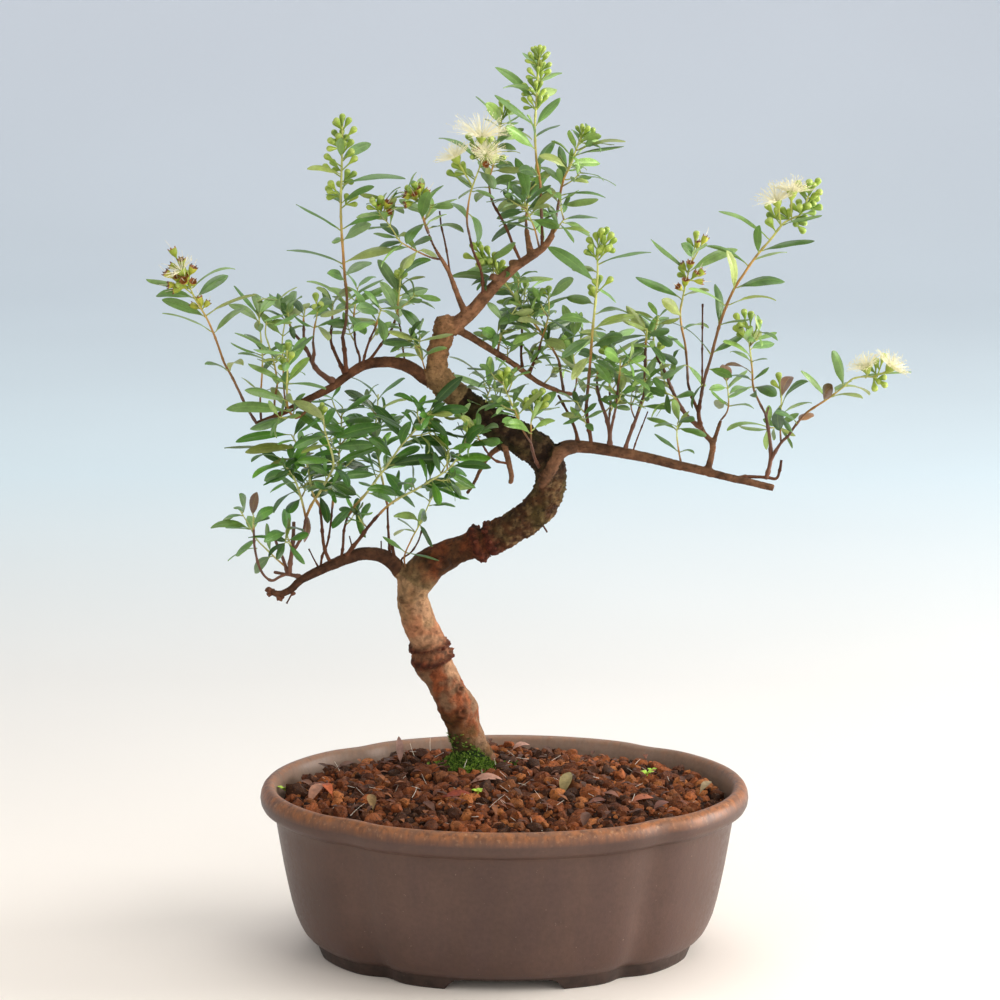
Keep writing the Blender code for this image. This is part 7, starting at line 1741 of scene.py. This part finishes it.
def make_soil(frame, soil):
    """Clay grains strewn over the bed, larger ones first, and crumbs between them."""
    bed = frame["nodes"]["soil"].data
    bed.materials.clear()
    bed.materials.append(bed_paint())
    dice = random.Random(41)
    placed = {}
    piece = Piece()

    def clear(x, y, size):
        i, j = int(x // GRAIN_CELL), int(y // GRAIN_CELL)
        for a in (i - 1, i, i + 1):
            for b in (j - 1, j, j + 1):
                for px, py, other in placed.get((a, b), ()):
                    if math.hypot(x - px, y - py) < (size + other) * 0.8:
                        return False
        placed.setdefault((i, j), []).append((x, y, size))
        return True

    forms = {level: ball(level) for level in (1, 2)}
    for low, high, tries, level in GRAIN_SIZES:
        for _ in range(tries):
            turn = dice.uniform(0, 2 * math.pi)
            out = math.sqrt(dice.random())
            size = dice.uniform(low, high)
            x, y, _ = plan_point(turn, GRAIN_INSET + size, 0)
            x *= out
            y *= out
            away = math.hypot(x - TRUNK_FOOT[0], y - TRUNK_FOOT[1])
            if away < GRAIN_CLEAR or not clear(x, y, size):
                continue
            spot = dropped(soil, x, y)
            if spot is None:
                continue
            verts, faces = pebble(dice, size, forms[level])
            tint = dice.choice(CLAYS) * dice.uniform(0.75, 1.2)
            piece.add(verts + (x, y, spot.z - size * 0.05 + dice.uniform(-0.3, 0.5)), faces, 0, tint)
    piece.build("clay_grains", [clay_paint()], angle=38)


def fallen_leaf(piece, start, way, up, length, tint, dice, wide=0.19):
    """Dry curled leaf lying on the bed."""
    side = np.cross(up, way)
    curl = dice.uniform(0.05, 0.22)
    cup = dice.uniform(0.15, 0.5)
    verts = []
    wide *= length
    for share, half in FALLEN_FORM:
        point = start + way * length * share + up * (math.sin(share * math.pi) * length * curl + 0.5)
        for a, thick in FALLEN_ROUND:
            verts.append(point + side * half * wide * a + up * (abs(a) ** 1.6 * half * wide * cup + thick))
    piece.add(verts, capped(len(FALLEN_FORM), len(FALLEN_ROUND), inward=True), 0, tint)


def level_up(way):
    """Direction square to a way that points as far up as it can."""
    return unit(np.array((0.0, 0.0, 1.0)) - way * way[2])


def strewn(dice, soil, count, spread):
    """Random spots on the bed, clear of the trunk."""
    for _ in range(count):
        turn = dice.uniform(0, 2 * math.pi)
        out = math.sqrt(dice.random()) * spread
        x, y, _ = plan_point(turn, LITTER_INSET, 0)
        spot = dropped(soil, x * out, y * out)
        if spot and math.hypot(x * out - TRUNK_FOOT[0], y * out - TRUNK_FOOT[1]) >= LITTER_CLEAR:
            yield np.array((x * out, y * out, spot.z))


def make_litter(soil):
    """Fallen leaves and green bits where the photograph shows them, and white fibres and more dry leaves
    strewn at random on the bed.
    """
    piece = Piece()
    dice = random.Random(17)
    for u, v, length, turn, pitch, colour in FALLEN:
        spot = seen_on(soil, u, v)
        if not spot:
            continue
        turn = math.radians(turn)
        rise = math.radians(pitch)
        way = np.array((math.cos(turn) * math.cos(rise), math.sin(turn) * math.cos(rise), math.sin(rise)))
        up = unit(np.cross(np.cross(way, (0, 0, 1)), way) + np.array((0, -0.25, 0)))
        up = unit(up - way * up.dot(way))
        start = np.array(spot) + (0, 0, 1.0) - way * length * 0.5 * math.cos(rise)
        fallen_leaf(piece, start, way, up, length, shade(*colour), dice, 0.13 if pitch > 60 else 0.19)
    for u, v, size in GREEN_BITS:
        spot = seen_on(soil, u, v)
        if not spot:
            continue
        for k in range(3):
            turn = k * 2.1 + dice.random()
            way = unit(np.array((math.cos(turn), math.sin(turn), 0.5)))
            start = np.array(spot) + (0, 0, 2.0)
            fallen_leaf(piece, start, way, level_up(way), size, shade(170, 206, 66), dice, 0.4)
    for start in strewn(dice, soil, 90, 0.94):
        heading = dice.uniform(0, 2 * math.pi)
        length = dice.uniform(2.5, 5.5)
        way = np.array((math.cos(heading), math.sin(heading), dice.uniform(0.15, 0.9)))
        bow = np.array((-way[1], way[0], 0)) * dice.uniform(-0.3, 0.3)
        start = start + (0, 0, 0.8)
        path = [start + way * length * s + bow * length * s * s for s in (0, 0.33, 0.66, 1.0)]
        piece.tube(path, [0.11, 0.1, 0.09, 0.07], 4, 0, shade(236, 224, 208) * dice.uniform(0.7, 1.05))
    for start in strewn(dice, soil, 150, 0.95):
        heading = dice.uniform(0, 2 * math.pi)
        way = unit(np.array((math.cos(heading), math.sin(heading), dice.uniform(0.0, 0.5))))
        length = dice.uniform(2.5, 6.0)
        fallen_leaf(piece, start + (0, 0, 1.2), way, level_up(way), length, dice.choice(OLD_LEAVES), dice)
    piece.build("fallen_leaves", [litter_paint()])


def moss_cushion(base):
    """Lumpy mound that reaches further out in front of the trunk than behind it."""
    x0, y0 = TRUNK_FOOT
    verts = []
    for radius, rise in MOSS_RINGS:
        for k in range(MOSS_SIDES):
            turn = 2 * math.pi * k / MOSS_SIDES
            east, north = math.cos(turn), math.sin(turn)
            front = (0.5 - 0.5 * math.sin(turn + 0.3)) ** 2.2
            wobble = 1 + 0.35 * noise.noise(Vector((east * 2.4, north * 2.4, 0.7)))
            reach = 6.2 + (radius - 7.0) * (0.2 + 1.6 * front) * wobble
            lump = 1.3 * noise.noise(Vector((east * 4, north * 4, radius * 0.6)))
            z = base - 0.2 + rise * (0.4 + 0.75 * front) + lump
            verts.append((x0 + reach * east, y0 + reach * north, z))
    return verts, capped(len(MOSS_RINGS), MOSS_SIDES, inward=True)


def add_tuft(piece, spot, outward, dice):
    """Four small pointed leaves at a spot, leaning out."""
    tone = dice.choice(MOSS_GREENS)
    for _ in range(4):
        lean = outward + Vector((dice.uniform(-1, 1), dice.uniform(-1, 1), dice.uniform(-0.4, 0.6)))
        lean.normalize()
        root = Vector((dice.uniform(-1, 1), dice.uniform(-1, 1), 0)) * 0.3 + spot
        tip = root + lean * dice.uniform(0.6, 1.15)
        across = lean.orthogonal().normalized() * 0.28
        over = lean.cross(across)
        points = [root + across, root - across * 0.5 + over, root - across * 0.5 - over, tip]
        piece.add(points, TUFT_FACES, 0, tone * dice.uniform(0.35, 1.2))


def make_moss(soil):
    """Tufts on a mound against the front of the trunk, some on its bark, some astray on the bed."""
    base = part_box("moss")[0].z / MM
    dice = random.Random(3)
    piece = Piece()
    verts, faces = moss_cushion(base)
    # The mound is near-black green: partly the moss's own dark lower layer, partly painted shade between the
    # tufts.
    piece.add(verts, faces, 0, shade(26, 40, 10))
    cushion = BVHTree.FromPolygons([Vector(v) for v in verts], faces)
    trunk = deep_curve(TRUNK[:5], BARK_STEP)
    for _ in range(MOSS_TUFTS):
        turn = dice.uniform(0, 2 * math.pi)
        radius = 5.5 + 12 * math.sqrt(dice.random())
        east, north = math.cos(turn), math.sin(turn)
        x = TRUNK_FOOT[0] + radius * east
        y = TRUNK_FOOT[1] + radius * north
        outward = Vector((east, north, 1.1))
        spot = dropped(cushion, x, y)
        if spot is None:
            ground = dropped(soil, x, y)
            if ground is None or north > -0.2 or dice.random() > 0.16:
                continue
            spot = Vector((x, y, ground.z + 1.0))
        elif radius < 9.5 and north < 0.3 and dice.random() < 0.6:
            z = spot.z + dice.random() ** 2.2 * (8.0 if east < 0.1 else 3.5)
            row = trunk[int(np.argmin(abs(trunk[:, 2] - z)))]
            spot = Vector((row[0] + row[3] * east, row[1] + row[3] * north, z))
            outward.z = 0.4
        add_tuft(piece, spot, outward, dice)
    piece.build("moss_tufts", [moss_paint()], ["moss"])


def make_nets():
    """Woven drainage nets over the two holes of the floor."""
    finish = net_paint()
    for name in ("net_left", "net_right"):
        low, high = (np.array(corner) / MM + (CENTRE_X, 0, 0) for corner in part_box(name))
        middle = (low + high) / 2
        piece = Piece()
        for i in range(NET_BARS):
            at = low + NET_BAR + (high - low - 2 * NET_BAR) * i / (NET_BARS - 1)
            for axis, weave in ((0, 0.04), (1, -0.04)):
                ends = [low.copy(), high.copy()]
                for end in ends:
                    end[axis] = at[axis]
                    end[2] = middle[2] + weave
                piece.tube(ends, [NET_BAR, NET_BAR], 8, 0, (1, 1, 1))
        piece.build(name + "_mesh", [finish], [name])


# Floor, light and camera

# Lamps: name, place and size in metres, power, colour; and the spot that they face
LAMPS = (
    ("key", (1.15, -0.9, 0.85), 1.2, 11.0, (1.0, 0.97, 0.92)),
    ("side", (1.3, 0.1, 0.38), 0.75, 22.0, (1.0, 0.97, 0.94)),
    ("fill", (-1.1, -0.9, 1.0), 1.3, 4.4, (1.0, 0.98, 0.96)),
    ("front", (0.0, -1.5, 0.3), 0.9, 3.4, (1.0, 0.97, 0.94)),
    ("top", (0.1, 0.4, 1.8), 1.4, 15.0, (1.0, 0.99, 0.96)),
)
LIT_SPOT = (0, 0, 0.14)


def make_backdrop():
    """Warm floor that bends up into a cool paler wall behind, which glows as painted light."""
    paper = Paint("studio_paper", 0.9, 0.2)
    back = paper.node("ShaderNodeSeparateXYZ", _0=paper.where).outputs[1]
    colour = paper.mix(paper.ramp(back, 0.0, 0.4), (0.99, 0.92, 0.845), (0.79, 0.785, 0.765))
    colour = paper.mix(paper.ramp(back, 0.4, 0.9), colour, (0.7, 0.82, 0.88))
    colour = paper.mix(paper.ramp(back, 0.9, 2.6), colour, (0.6, 0.635, 0.71))
    # Painted light: the wall glows, more so further back and higher up, and lights the tree from behind.
    paper.give(paper.shader, "Emission_Color", colour)
    paper.give(paper.shader, "Emission_Strength", paper.ramp(back, 0.5, 2.6, 0.0, 0.35))
    paper.bump((paper.grain(3.0, 2), 0.02))
    finish = paper.done(paper.mottled(colour, paper.grain(400.0, 2), 0.98, 1.02))
    rows = [(-3.0, 0.0), (1.6, 0.0)]
    for k in range(1, 17):
        turn = math.pi / 2 * k / 16
        rows.append((1.6 + 1.2 * math.sin(turn), 1.2 * (1 - math.cos(turn))))
    rows.append((2.8, 6.0))
    verts = [(x, y, z) for y, z in rows for x in (-6.0, 6.0)]
    faces = [(2 * i, 2 * i + 1, 2 * i + 3, 2 * i + 2) for i in range(len(rows) - 1)]
    mesh = bpy.data.meshes.new("backdrop")
    mesh.from_pydata(verts, [], faces)
    mesh.materials.append(finish)
    mesh.shade_smooth()
    backdrop = linked("backdrop", mesh)


def make_lights():
    """Soft lamps round the pot and a faint even sky."""
    world = bpy.data.worlds.new("studio")
    bpy.context.scene.world = world
    world.use_nodes = True
    sky = world.node_tree.nodes["Background"].inputs
    sky["Color"].default_value = (1.0, 0.98, 0.95, 1.0)
    sky["Strength"].default_value = 0.3
    for name, place, size, power, colour in LAMPS:
        lamp = bpy.data.lights.new(name, "AREA")
        lamp.size = size
        lamp.energy = power
        lamp.color = colour
        thing = linked(name, lamp)
        thing.location = place
        thing.rotation_euler = (Vector(LIT_SPOT) - Vector(place)).to_track_quat("-Z", "Y").to_euler()


def make_camera():
    """Camera with the place, pitch and view of the photograph."""
    camera = linked("camera", bpy.data.cameras.new("camera"))
    camera.location = ((EYE.x - CENTRE_X) * MM, EYE.y * MM, EYE.z * MM)
    camera.rotation_euler = (math.pi / 2 - PITCH, 0, 0)
    camera.data.sensor_width = SENSOR
    camera.data.lens = SENSOR * FOCAL / PHOTO
    camera.data.clip_end = 30.0
    bpy.context.scene.camera = camera
    bpy.context.scene.view_settings.view_transform = "Standard"


def main():
    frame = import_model()
    soil = surface_of(frame["nodes"]["soil"])
    make_pot(glaze_paint())
    make_nets()
    make_soil(frame, soil)
    make_litter(soil)
    make_moss(soil)
    make_tree(frame)
    make_backdrop()
    make_lights()
    make_camera()
    bpy.context.view_layer.update()


main()
